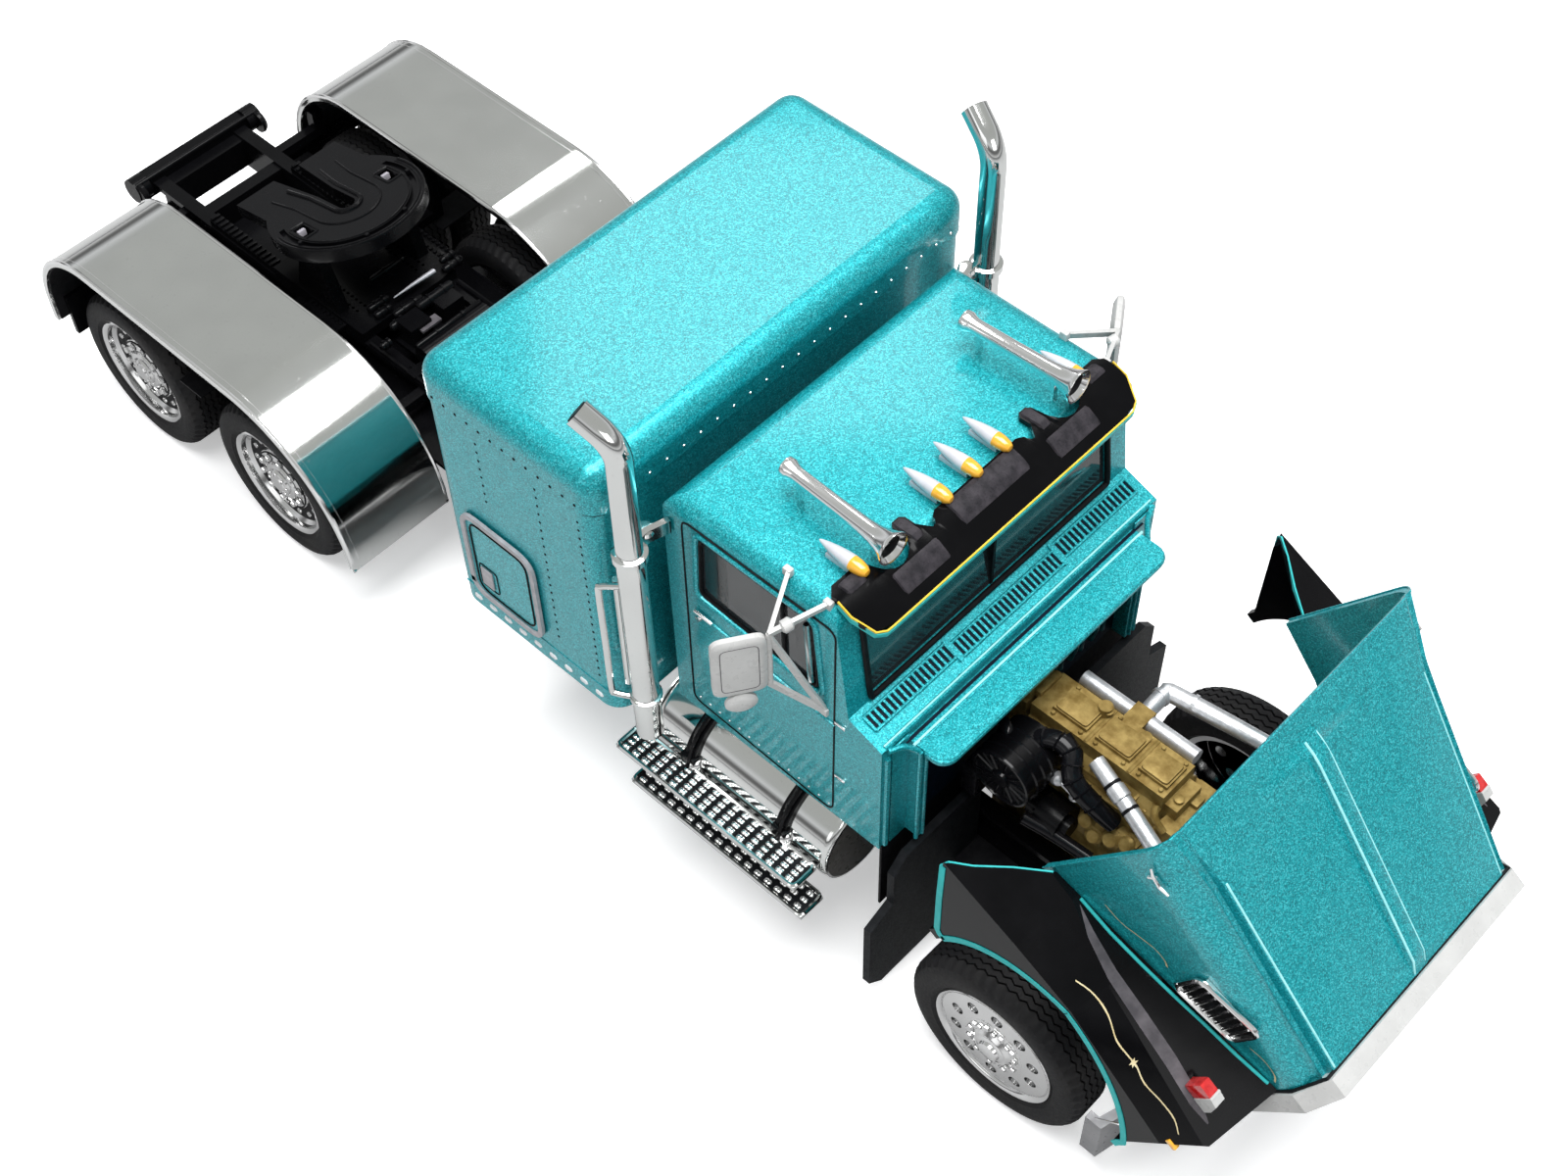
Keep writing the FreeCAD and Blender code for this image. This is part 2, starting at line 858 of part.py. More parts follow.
tail_x = rear_axle - s.rail_tail
crossings = [
    crossmember("cross_tail", tail_x),
    crossmember("cross_rear", rear_axle - 6.5),
    crossmember("cross_mid", back(s.wheel_base) - s.cross_thick / 2),
    crossmember("cross_fore", mid_axle + 6.5),
    crossmember("cross_waist", back(s.sleeper_back) - 2),
    crossmember("cross_cab", back(s.cab_back)),
    crossmember("cross_nose", ahead(s.rail_nose) - s.cross_thick),
]
deck_low = s.rail_low + s.deck_rise
plates = [box("frame_deck", rear_axle - 6.5, back(s.sleeper_back), -s.rail_out + 0.3,
              s.rail_out - 0.3, deck_low, deck_low + s.deck_thick)]
for side, hand in ((-1, "right"), (1, "left")):
    y0, y1 = (s.rail_out - 0.3, s.shelf_out) if side > 0 else (-s.shelf_out, -s.rail_out + 0.3)
    plates.append(box("frame_shelf_" + hand, rear_axle - 6.5, back(s.sleeper_back), y0, y1,
                      deck_low, deck_low + s.deck_thick))
    y0, y1 = (s.pan_half - s.pan_wall, s.pan_half) if side > 0 else (-s.pan_half,
                                                                    -s.pan_half + s.pan_wall)
    plates.append(box("frame_pan_wall_" + hand, back(s.splash_back), ahead(s.pan_front), y0, y1,
                      s.pan_low, s.rail_low + s.rail_lip * 2))
    middle = side * (s.rail_out - s.rail_flange / 2)
    plates.append(box("frame_track_" + hand, plate_x - s.base_long / 2 - s.track_long,
                      plate_x - s.base_long / 2 - 0.1, middle - s.track_wide / 2,
                      middle + s.track_wide / 2, s.rail_top - 0.1, s.rail_top + s.track_high))
plates.append(box("frame_pan", back(s.splash_back), ahead(s.pan_front), -s.pan_half, s.pan_half,
                  s.pan_low, s.pan_low + 0.35))
fuse("frame", rail(-1, "right"), rail(1, "left"), *crossings, *plates)


# Rear light bar with its round lamp pods

bar = box("light_bar_beam", tail_x - s.bar_long, tail_x, -s.bar_half, s.bar_half,
          s.rail_top - s.bar_high, s.rail_top + 0.6)
pods = []
for side, hand in ((-1, "right"), (1, "left")):
    start = s.bar_half - 0.3 if side > 0 else -(s.bar_half - 0.3) - s.pod_long
    pods.append(rod("light_pod_" + hand, "y", s.pod_rad, tail_x - s.bar_long / 2, start,
                    s.rail_top - 0.3, s.pod_long))
fuse("rear_light_bar", bar, *pods)


# Mud flap hangers behind the rear wheels

def hanger(side, hand):
    x = rear_axle - s.fender_tail + s.fender_skin + s.hanger_gap
    outer = s.fender_out - 1.2
    y0, y1 = (s.rail_out, outer) if side > 0 else (-outer, -s.rail_out)
    arm = box("hanger_arm_" + hand, x, x + s.hanger_thick, y0, y1, s.rail_low, s.rail_low + 1.0)
    y0 = outer - s.hanger_wide if side > 0 else -outer
    drop = box("hanger_drop_" + hand, x, x + s.hanger_thick, y0, y0 + s.hanger_wide,
               s.fender_low - 0.8, s.rail_low + 0.2)
    return fuse("hanger_" + hand, arm, drop)


group("mudflap_hangers", hanger(-1, "right"), hanger(1, "left"))


# Front axle beam, bored for its pin, on leaf springs

beam = prism("front_beam_bar", "XZ", [
    (s.front_axle_x - s.beam_long / 2, axle_z - s.beam_deep / 2),
    (s.front_axle_x + s.beam_long / 2, axle_z - s.beam_deep / 2),
    (s.front_axle_x + s.beam_long / 2, axle_z + s.beam_deep / 2),
    (s.front_axle_x - s.beam_long / 2, axle_z + s.beam_deep / 2),
], -s.beam_half, s.beam_half)
bore = rod("front_beam_bore", "y", s.pin_rad + s.pin_run, s.front_axle_x,
           -s.beam_half - 1, axle_z, s.beam_half * 2 + 2)
springs = []
for side, hand in ((-1, "right"), (1, "left")):
    y = side * (s.rail_out - s.rail_flange / 2)
    leaf = box("leaf_" + hand, s.front_axle_x - s.spring_long / 2,
               s.front_axle_x + s.spring_long / 2, y - s.spring_wide / 2,
               y + s.spring_wide / 2, axle_z + s.beam_deep / 2 - 0.1,
               axle_z + s.beam_deep / 2 + s.spring_thick)
    springs.append(leaf)
    for end, sign in (("front", 1), ("rear", -1)):
        x = s.front_axle_x + sign * (s.spring_long / 2 - 0.8)
        springs.append(box("shackle_%s_%s" % (hand, end), x - 0.8, x + 0.8,
                           y - s.spring_wide / 2 + 0.1, y + s.spring_wide / 2 - 0.1,
                           axle_z + s.beam_deep / 2 + 0.1, s.rail_low))
cut("front_suspension", fuse("front_suspension_blank", beam, *springs), bore)


# Tandem: axle housings bored for their pins, arms and air springs up to the rails

def housing(tag, x):
    tube = rod(tag + "_housing_tube", "y", s.housing_rad, x, -(s.dual_inner - 3.2), axle_z,
               (s.dual_inner - 3.2) * 2)
    bulge = ball(tag + "_diff", s.diff_rad, x, 0, axle_z)
    pinion = rod(tag + "_pinion", "x", s.pinion_rad, x + s.diff_rad - 0.3, 0, axle_z,
                 s.pinion_long + 0.3)
    parts = [tube, bulge, pinion]
    for side, hand in ((-1, "right"), (1, "left")):
        y = side * (s.rail_out + 0.7)
        parts.append(box("%s_arm_%s" % (tag, hand), x - 6.0, x + 1.2, y - 0.9, y + 0.9,
                         axle_z - s.beam_arm / 2, axle_z + s.beam_arm / 2))
        parts.append(rod("%s_airbag_%s" % (tag, hand), "z", s.airbag_rad, x - 4.2,
                         side * (s.rail_out - 0.2), axle_z, s.rail_low - axle_z))
        parts.append(box("%s_seat_%s" % (tag, hand), x - 1.4, x + 1.4,
                         side * (s.rail_out - 0.7) - 0.7, side * (s.rail_out - 0.7) + 0.7,
                         axle_z, s.rail_low))
    hole = rod(tag + "_housing_bore", "y", s.pin_rad + s.pin_run, x, -s.dual_inner, axle_z,
               s.dual_inner * 2)
    return cut(tag + "_axle_housing", fuse(tag + "_housing_blank", *parts), hole)


for tag, x in AXLES[1:]:
    housing(tag, x)
shaft_start = mid_axle + s.diff_rad + s.pinion_long
main_bar = strut("shaft_bar", s.shaft_rad, (mid_axle, 0, axle_z),
                 (back(s.cab_back) + 1.0, 0, s.rail_low + 1.3))
main_shaft = cut("shaft_main", main_bar,
                 box("shaft_trim_rear", mid_axle - 1.0, shaft_start + s.post_slack, -1.5, 1.5,
                     axle_z - 2.0, axle_z + 2.0),
                 box("shaft_trim_front", back(s.cab_back), back(s.cab_back) + 2.0, -1.5, 1.5,
                     s.rail_low, s.rail_top))
rear_start = rear_axle + s.diff_rad + s.pinion_long + s.post_slack
rear_shaft = rod("shaft_between", "x", s.shaft_rad, rear_start, 0, axle_z,
                 mid_axle - s.diff_rad - s.post_slack - rear_start)
group("driveshaft", main_shaft, rear_shaft)


# Rear fenders: one long chromed arch over both axles on each side

def fender(side, hand):
    top, skin = s.fender_top, s.fender_skin
    front_x = mid_axle + s.fender_front_arc
    tail = rear_axle - s.fender_tail
    front_z = top - s.fender_front_arc
    rear_z = top - s.fender_rear_arc
    outline = [
        (front_x, s.fender_low),
        (front_x, front_z, s.fender_front_arc),
        (mid_axle, top),
        (tail + s.fender_rear_arc, top, s.fender_rear_arc),
        (tail, rear_z),
        (tail, s.fender_low + 1.6),
        (tail + skin, s.fender_low + 1.6),
        (tail + skin, rear_z, -(s.fender_rear_arc - skin)),
        (tail + s.fender_rear_arc, top - skin),
        (mid_axle, top - skin, -(s.fender_front_arc - skin)),
        (front_x - skin, front_z),
        (front_x - skin, s.fender_low),
    ]
    y0, y1 = (s.fender_in, s.fender_out) if side > 0 else (-s.fender_out, -s.fender_in)
    return prism("rear_fender_" + hand, "XZ", outline, y0, y1)


for side, hand in ((-1, "right"), (1, "left")):
    fender(side, hand)
front_inner = s.fender_front_arc - s.fender_skin
rear_inner = s.fender_rear_arc - s.fender_skin
fore_x = 6.8
tail_x_in = 7.3
fore_reach = size(fore_x) + 0.5
tail_reach = size(tail_x_in) + 0.5
POSTS = (
    ("fore", mid_axle + fore_x, s.fender_top - s.fender_front_arc
     + root(front_inner * front_inner - fore_reach * fore_reach)),
    ("aft", rear_axle + s.tandem_gap / 2, s.fender_top - s.fender_skin),
    ("tail", rear_axle - s.fender_tail + s.fender_rear_arc - tail_x_in, s.fender_top
     - s.fender_rear_arc + root(rear_inner * rear_inner - tail_reach * tail_reach)),
)
brackets = []
for side, hand in ((-1, "right"), (1, "left")):
    for place, x, post_top in POSTS:
        y0, y1 = (s.rail_out, s.fender_in + 1.6) if side > 0 else (-(s.fender_in + 1.6), -s.rail_out)
        foot = box("fender_foot_%s_%s" % (place, hand), x - 0.5, x + 0.5, y0, y1,
                   s.rail_top - 1.4, s.rail_top - 0.4)
        y_post = s.fender_in + 0.4 if side > 0 else -(s.fender_in + 1.6)
        post = box("fender_post_%s_%s" % (place, hand), x - 0.5, x + 0.5, y_post,
                   y_post + 1.2, s.rail_top - 1.4, post_top - s.post_slack)
        brackets.append(fuse("fender_bracket_%s_%s" % (place, hand), foot, post))
group("fender_brackets", *brackets)


# Fifth wheel: a slider base on the rails and the rocking top plate on its cross pin

pivot_z = s.plate_high - s.pivot_drop
floor = box("slider_floor", plate_x - s.base_long / 2, plate_x + s.base_long / 2,
            -s.base_half, s.base_half, s.rail_top, s.rail_top + s.base_thick)
ears = [floor]
for side, hand in ((-1, "right"), (1, "left")):
    y = side * (s.lug_in + s.lug_long + s.ear_gap + s.ear_thick / 2)
    ears.append(prism("slider_ear_" + hand, "XZ", [
        (plate_x - 3.0, s.rail_top + s.base_thick - 0.1),
        (plate_x + 3.0, s.rail_top + s.base_thick - 0.1),
        (plate_x + 1.2, pivot_z, 1.25),
        (plate_x - 1.2, pivot_z),
    ], y - s.ear_thick / 2, y + s.ear_thick / 2))
ear_bore = rod("slider_bore", "y", s.pivot_rad, plate_x, -s.base_half - 1, pivot_z,
               s.base_half * 2 + 2)
cut("fifth_wheel_base", fuse("slider_blank", *ears), ear_bore)

deck = rod("plate_deck", "z", s.plate_rad, plate_x, 0, s.plate_high - s.plate_thick,
           s.plate_thick)
ramp = box("plate_ramps", plate_x - s.plate_rad - s.ramp_out, plate_x, -s.plate_rad + s.ramp_in,
           s.plate_rad - s.ramp_in, s.plate_high - s.plate_thick, s.plate_high)
lugs = []
slots = []
for side, hand in ((-1, "right"), (1, "left")):
    start = s.lug_in if side > 0 else -s.lug_in - s.lug_long
    lugs.append(rod("plate_lug_" + hand, "y", s.pivot_rad + s.lug_wall, plate_x, start, pivot_z,
                    s.lug_long))
    lugs.append(box("plate_web_" + hand, plate_x - s.pivot_rad - s.lug_wall,
                    plate_x + s.pivot_rad + s.lug_wall, start, start + s.lug_long, pivot_z,
                    s.plate_high - s.plate_thick + 0.1))
    y = side * s.plate_slot_y
    slots.append(box("plate_slot_" + hand, plate_x - s.plate_slot_long / 2,
                     plate_x + s.plate_slot_long / 2, y - s.plate_slot_wide / 2,
                     y + s.plate_slot_wide / 2, s.plate_high - s.plate_thick - 1,
                     s.plate_high + 1))
groove_out = rod("plate_groove_out", "z", s.plate_rad - s.plate_rim, plate_x, 0,
                 s.plate_high - s.plate_rim_up, 1.0)
groove_in = rod("plate_groove_in", "z", s.plate_rad - s.plate_rim - s.plate_groove, plate_x, 0,
                s.plate_high - s.plate_rim_up - 0.5, 2.0)
groove_back = box("plate_groove_back", plate_x - s.plate_rad - 3, plate_x - 2.0, -s.plate_rad,
                  s.plate_rad, s.plate_high - s.plate_rim_up - 0.5, s.plate_high + 1)
groove = cut("plate_groove_ring", groove_out, groove_in, groove_back)
throat = prism("plate_throat", "XY", [
    (plate_x - s.plate_rad - 3, -s.throat_mouth),
    (plate_x - 3.2, -s.throat_wide / 2),
    (plate_x, -s.throat_wide / 2),
    (plate_x, s.throat_wide / 2),
    (plate_x - 3.2, s.throat_wide / 2),
    (plate_x - s.plate_rad - 3, s.throat_mouth),
], s.rail_top, s.plate_high + 1)
jaw = rod("plate_jaw", "z", s.throat_wide / 2, plate_x, 0, s.rail_top, s.plate_high)
pin_hole = rod("plate_pin_hole", "y", s.pivot_rad + s.pivot_run, plate_x, -s.base_half,
               pivot_z, s.base_half * 2)
plate = cut("plate_flat", fuse("plate_blank", deck, ramp, *lugs), throat, jaw, pin_hole,
            groove, *slots)


def rock(name, source):
    """Copy of a piece turned about the fifth wheel's cross pin by its resting tilt."""
    obj = add("Part::Compound", name)
    obj.Links = [source]
    angle = s.plate_tilt
    obj.Placement = FreeCAD.Placement(V(), FreeCAD.Rotation(V(0, 1, 0), -angle.value))
    return put(obj, plate_x - (plate_x * cos(angle) - pivot_z * sin(angle)), 0,
               pivot_z - (pivot_z * cos(angle) + plate_x * sin(angle)))


rock("fifth_wheel_plate", plate)
stubs = []
for side, hand in ((-1, "right"), (1, "left")):
    start = s.lug_in + 0.1
    end = s.lug_in + s.lug_long + s.ear_gap + s.ear_thick
    stubs.append(rod("pivot_stub_" + hand, "y", s.pivot_rad - 0.02, plate_x,
                     start if side > 0 else -end, pivot_z, end - start))
group("fifth_wheel_pin", *stubs)


# Air tanks and valve boxes between the rails ahead of the fifth wheel

air = []
for i in range(3):
    x = back(s.air_back) - s.air_pitch * i
    air.append(rod("air_tank_%d" % i, "y", s.air_rad, x, -s.air_half, s.rail_top + s.air_up,
                   s.air_half * 2))
    air.append(box("air_cradle_%d" % i, x - s.air_rad / 2, x + s.air_rad / 2, -s.rail_out,
                   s.rail_out, s.rail_top, s.rail_top + s.air_rad / 3))
valve_x = back(s.air_back) - s.air_pitch * 3
for side, hand in ((-1, "right"), (1, "left")):
    y = side * s.air_half / 2
    air.append(box("air_valve_" + hand, valve_x - s.valve_long / 2, valve_x + s.valve_long / 2,
                   y - s.valve_wide / 2, y + s.valve_wide / 2, s.rail_top - 0.25,
                   s.rail_top + s.valve_high))
fuse("air_tanks", box("air_tray", valve_x - s.valve_long / 2, back(s.air_back) + s.air_rad,
                      -s.air_half + 0.3, s.air_half - 0.3, s.rail_top - 0.25,
                      s.rail_top + 0.2), *air)


# Fuel tanks with their straps and the two-level steps

def tank(side, hand):
    y = side * s.tank_y
    shell = rod("tank_drum_" + hand, "x", s.tank_rad, back(s.tank_back), y, s.tank_z,
                s.tank_back - s.tank_front)
    return rounded("fuel_tank_" + hand, shell, 0.7, lambda m, t: abs(t.x) < 0.5)


def straps(side, hand):
    parts = []
    for i, share in enumerate((0.24, 0.76)):
        x = back(s.tank_back - (s.tank_back - s.tank_front) * share)
        y = side * s.tank_y
        ring = rod("strap_ring_%s_%d" % (hand, i), "x", s.tank_rad + s.strap_thick,
                   x - s.strap_wide / 2, y, s.tank_z, s.strap_wide)
        inside = rod("strap_hole_%s_%d" % (hand, i), "x", s.tank_rad + 0.01,
                     x - s.strap_wide, y, s.tank_z, s.strap_wide * 2)
        y0, y1 = (s.rail_out, s.tank_y - s.tank_rad + 0.4)
        if side < 0:
            y0, y1 = -y1, -y0
        arm = box("strap_arm_%s_%d" % (hand, i), x - s.strap_wide / 2, x + s.strap_wide / 2,
                  y0, y1, s.rail_low + 0.3, s.rail_top - 0.8)
        parts.append(cut("strap_%s_%d" % (hand, i),
                         fuse("strap_blank_%s_%d" % (hand, i), ring, arm), inside))
    return parts


def steps(side, hand):
    """Two tread plates on brackets that hug the straps."""
    parts = []
    for tag, z, shift in (("upper", s.step_high, 0), ("lower", s.step_low, 1.4)):
        y0, y1 = (s.step_in, s.step_out) if side > 0 else (-s.step_out, -s.step_in)
        parts.append(box("step_%s_%s" % (tag, hand), back(s.step_back) + shift,
                         back(s.step_front) + shift * 0.5, y0, y1, z - s.step_thick, z))
    for i, share in enumerate((0.24, 0.76)):
        x = back(s.tank_back - (s.tank_back - s.tank_front) * share)
        y0 = s.tank_y + s.tank_rad + s.strap_thick + s.post_slack
        y1 = s.step_in + 0.6
        if side < 0:
            y0, y1 = -y1, -y0
        parts.append(box("step_post_%s_%d" % (hand, i), x - 0.5, x + 0.5, y0, y1,
                         s.step_low - s.step_thick, s.step_high))
    return fuse("steps_" + hand, *parts)


all_straps = []
for side, hand in ((-1, "right"), (1, "left")):
    tank(side, hand)
    all_straps += straps(side, hand)
    steps(side, hand)
group("tank_straps", *all_straps)


# Sleeper: hollow box with rounded edges and a cap seam

def sleeper_box(name, inset, rounding):
    blank = box(name + "_blank", back(s.sleeper_back) + inset, back(s.sleeper_front) - inset,
                -s.sleeper_half + inset, s.sleeper_half - inset, s.sleeper_low + inset,
                s.sleeper_top - inset)
    high = s.sleeper_low.value + 0.5
    return rounded(name, blank, rounding, lambda m, t: m.z > high or abs(t.z) > 0.5)


def cap_box():
    """Roof cap, a little proud of the box below its seam."""
    proud = s.cap_proud
    low = s.sleeper_top - s.cap_deep
    blank = box("sleeper_cap_blank", back(s.sleeper_back) - proud, back(s.sleeper_front) + proud,
                -s.sleeper_half - proud, s.sleeper_half + proud, low, s.sleeper_top)
    return rounded("sleeper_cap", blank, s.sleeper_round,
                   lambda m, t: m.z > low.value + 0.5 or abs(t.z) > 0.5)


cut("sleeper_shell", fuse("sleeper_skin", sleeper_box("sleeper_outer", 0, s.sleeper_round), cap_box()),
    sleeper_box("sleeper_inner", s.sleeper_wall, s.sleeper_round - s.sleeper_wall * 0.5))
doors = []
for side, hand in ((-1, "right"), (1, "left")):
    y0, y1 = (s.sleeper_half, s.sleeper_half + 0.3)
    if side < 0:
        y0, y1 = -y1, -y0
    blank = box("luggage_blank_" + hand, back(s.sleeper_back - 3.0), back(s.sleeper_back - 10.5),
                y0, y1, s.sleeper_low + 3.2, s.sleeper_low + 12.6)
    doors.append(rounded("luggage_door_" + hand, blank, 1.3, lambda m, t: abs(t.y) > 0.5))
group("luggage_doors", *doors)
sleeper_mount = box("sleeper_mount", back(s.sleeper_back - 2.0), back(s.sleeper_front + 2.0),
                    -s.rail_out, s.rail_out, s.rail_top, s.sleeper_low)
box("cab_boot", back(s.sleeper_front), back(s.cab_back), -s.boot_half, s.boot_half,
    s.boot_low, s.boot_top)


# Cab: hollow shell with window openings, cowl, ledge and firewall skirts

def cab_block(name, inset):
    return prism(name, "XZ", [
        (back(s.cab_back) + inset, s.cab_low + inset),
        (back(s.cowl_front) - inset, s.cab_low + inset),
        (back(s.cowl_front) - inset, s.cowl_top - inset),
        (back(s.glass_foot_back) - inset, s.glass_low - inset),
        (back(s.glass_head_back) - inset, s.cab_roof - inset),
        (back(s.cab_back) + inset, s.cab_roof - inset),
    ], -s.cab_half + inset, s.cab_half - inset)


cab_roof_low = s.cab_roof.value - 0.3
cab_solid = rounded("cab_solid", cab_block("cab_outer", 0), s.roof_round,
                    lambda m, t: m.z > cab_roof_low)
side_window = prism("side_window_hole", "XZ", [
    (back(s.door_glass_back), s.door_glass_low),
    (back(s.door_glass_front), s.door_glass_low - s.door_glass_fall),
    (back(s.door_glass_front) - 0.6, (s.cab_roof - s.door_glass_drop)),
    (back(s.door_glass_back) + 0.3, (s.cab_roof - s.door_glass_drop)),
], -s.cab_half - 1, s.cab_half + 1)
front_window = box("front_window_hole", back(s.glass_head_back) - 1.5, back(s.cowl_front),
                   -s.glass_half, s.glass_half, s.glass_low + 0.5, (s.cab_roof - s.glass_drop))
cab_body = cut("cab_body", cab_solid, cab_block("cab_inner", s.cab_wall), side_window,
               front_window)
cowl_x = back(s.cowl_front).value
ledge = rounded("cowl_ledge", box(
    "cowl_ledge_block", back(s.cowl_front) - 0.1, back(s.ledge_front), -s.ledge_half,
    s.ledge_half, s.ledge_top - s.ledge_thick, s.ledge_top), s.ledge_round,
    lambda m, t: abs(t.z) > 0.5 and m.x > cowl_x + 0.5)
skirts = []
for side, hand in ((-1, "right"), (1, "left")):
    y0, y1 = s.ledge_half - s.skirt_thick, s.ledge_half
    if side < 0:
        y0, y1 = -y1, -y0
    skirts.append(box("cowl_skirt_" + hand, back(s.cowl_front) - 0.1,
                      back(s.cowl_front) + s.skirt_out, y0, y1, s.cab_low, s.ledge_top - 0.1))
fuse("cab_shell", cab_body, ledge, *skirts)
cab_mount = box("cab_mount", back(s.cab_back - 2.0), back(s.cowl_front + 2.0), -s.rail_out,
                s.rail_out, s.rail_top, s.cab_low)
group("cab_mounts", cab_mount, sleeper_mount)

clear = 0.05
windshield = prism("windshield", "XZ", [
    (back(s.glass_foot_back) - 0.2 - s.glass_thick, s.glass_low + 0.5 + clear),
    (back(s.glass_foot_back) - 0.2, s.glass_low + 0.5 + clear),
    (back(s.glass_head_back) + 0.1, (s.cab_roof - s.glass_drop) - clear),
    (back(s.glass_head_back) + 0.1 - s.glass_thick, (s.cab_roof - s.glass_drop) - clear),
], -s.glass_half + clear, s.glass_half - clear)
panes = [windshield]
for side, hand in ((-1, "right"), (1, "left")):
    y0 = s.cab_half - 0.7 if side > 0 else -s.cab_half + 0.2
    panes.append(prism("door_glass_" + hand, "XZ", [
        (back(s.door_glass_back) + clear, s.door_glass_low + clear),
        (back(s.door_glass_front) - clear, s.door_glass_low - s.door_glass_fall + clear * 2),
        (back(s.door_glass_front) - 0.6 - clear, (s.cab_roof - s.door_glass_drop) - clear),
        (back(s.door_glass_back) + 0.3 + clear, (s.cab_roof - s.door_glass_drop) - clear),
    ], y0, y0 + s.glass_thick))
group("cab_glass", *panes)

seats = []
floor_z = s.cab_low + s.cab_wall
for side, hand in ((-1, "right"), (1, "left")):
    y = side * s.seat_y
    x = back(s.seat_back)
    seats.append(fuse("seat_" + hand,
                      box("seat_base_" + hand, x, x + s.seat_long, y - s.seat_half,
                          y + s.seat_half, floor_z, floor_z + s.seat_high),
                      box("seat_back_" + hand, x + 0.2 - s.rest_thick, x + 0.2, y - s.seat_half,
                          y + s.seat_half, floor_z, floor_z + s.rest_high)))
dash = prism("dash", "XZ", [
    (back(s.dash_back), floor_z),
    (back(s.cowl_front + s.cab_wall), floor_z),
    (back(s.cowl_front + s.cab_wall), s.cowl_top - s.dash_drop - 0.4),
    (back(s.dash_nose), s.cowl_top - s.dash_drop),
    (back(s.dash_back), s.cowl_top - s.dash_sink),
], -s.cab_half + s.cab_wall, s.cab_half - s.cab_wall)
group("cab_interior", dash, *seats)
rim_x = back(s.wheel_back)
rim_z = floor_z + s.wheel_up
lean = FreeCAD.Rotation(V(0, 1, 0), -s.wheel_lean.value)
wheel_ring = add("Part::Torus", "steering_ring")
bind(wheel_ring, "Radius1", s.wheel_rad)
bind(wheel_ring, "Radius2", s.wheel_rim)
wheel_ring.Placement = FreeCAD.Placement(V(), lean)
put(wheel_ring, rim_x, s.seat_y, rim_z)
spoke = box("steering_spoke", -s.wheel_rim, s.wheel_rim, -s.wheel_rad, s.wheel_rad, -0.15, 0.15)
spoke.Placement = FreeCAD.Placement(V(), lean)
put(spoke, rim_x - 0.14, s.seat_y - s.wheel_rad, rim_z - 0.28)
column = strut("steering_column", 0.35, (rim_x, s.seat_y, rim_z),
               (back(s.dash_back) + 0.3, s.seat_y, rim_z - 1.3))
cut("steering_wheel", fuse("steering_blank", wheel_ring, spoke, column), dash)


# Roof gear: visor, bullet lamps and air horns

visor_blank = prism("sun_visor_blank", "XZ", [
    (back(s.visor_back), s.cab_roof + 0.02),
    (back(s.glass_head_back) + 0.5, s.cab_roof + 0.02),
    (back(s.visor_front) - 0.5, s.cab_roof - s.visor_drop - s.visor_lip),
    (back(s.visor_front), s.cab_roof - s.visor_drop - s.visor_lip),
    (back(s.visor_front), s.cab_roof - s.visor_drop),
    (back(s.glass_head_back) + 0.4, s.cab_roof + s.visor_thick),
    (back(s.visor_back), s.cab_roof + s.visor_thick),
], -s.visor_half, s.visor_half)
cut("sun_visor", visor_blank, *[
    rod("visor_notch_%d" % side, "z", s.visor_notch, back(s.visor_back) + 0.6,
        side * s.horn_y, s.cab_roof - 0.5, 2.0) for side in (-1, 1)])

lamps = []
for i, y in enumerate((-s.lamp_far, -s.lamp_near, size(0), s.lamp_near, s.lamp_far)):
    z = s.cab_roof + s.visor_thick + s.lamp_rad
    lamps.append(turned("bullet_%d" % i, [
        (back(s.lamp_back), 0),
        (back(s.lamp_back - s.lamp_tail), s.lamp_rad * 0.8),
        (back(s.lamp_front + s.lamp_nose), s.lamp_rad),
        (back(s.lamp_front), s.lamp_rad * 0.75),
        (back(s.lamp_front), 0),
    ], (0, y, z), "x"))
for i in range(5):
    y = (-s.lamp_far, -s.lamp_near, size(0), s.lamp_near, s.lamp_far)[i]
    foot = box("bullet_foot_%d" % i, back(s.lamp_back - 1.0), back(s.visor_back + 0.1),
               y - 0.3, y + 0.3, s.cab_roof + 0.02, s.cab_roof + s.visor_thick + 0.5)
    lamps[i] = fuse("roof_lamp_%d" % i, lamps[i], foot)
group("roof_lamps", *lamps)

horns = []
for side, hand in ((-1, "right"), (1, "left")):
    y = side * s.horn_y
    z = s.cab_roof + s.horn_rise
    trumpet = turned("horn_trumpet_" + hand, [
        (back(s.horn_back), 0),
        (back(s.horn_back), s.horn_tube * 1.8),
        (back(s.horn_back - 0.9), s.horn_tube * 1.8),
        (back(s.horn_back - 0.9), s.horn_tube),
        (back(s.horn_front + 3.2), s.horn_tube * 1.3),
        (back(s.horn_front + 1.2), s.horn_bell * 0.6),
        (back(s.horn_front), s.horn_bell),
        (back(s.horn_front) + 0.25, s.horn_bell),
        (back(s.horn_front) - 0.6, 0),
    ], (0, y, z), "x")
    legs = []
    for i, distance in enumerate((s.horn_back - 1.6, s.visor_back + 1.0)):
        legs.append(box("horn_leg_%s_%d" % (hand, i), back(distance) - 0.3,
                        back(distance) + 0.3, y - 0.3, y + 0.3, s.cab_roof + 0.02, z))
    horns.append(fuse("horn_" + hand, trumpet, *legs))
group("air_horns", *horns)


# Exhaust stacks with swept tips and clamps to the cab corner

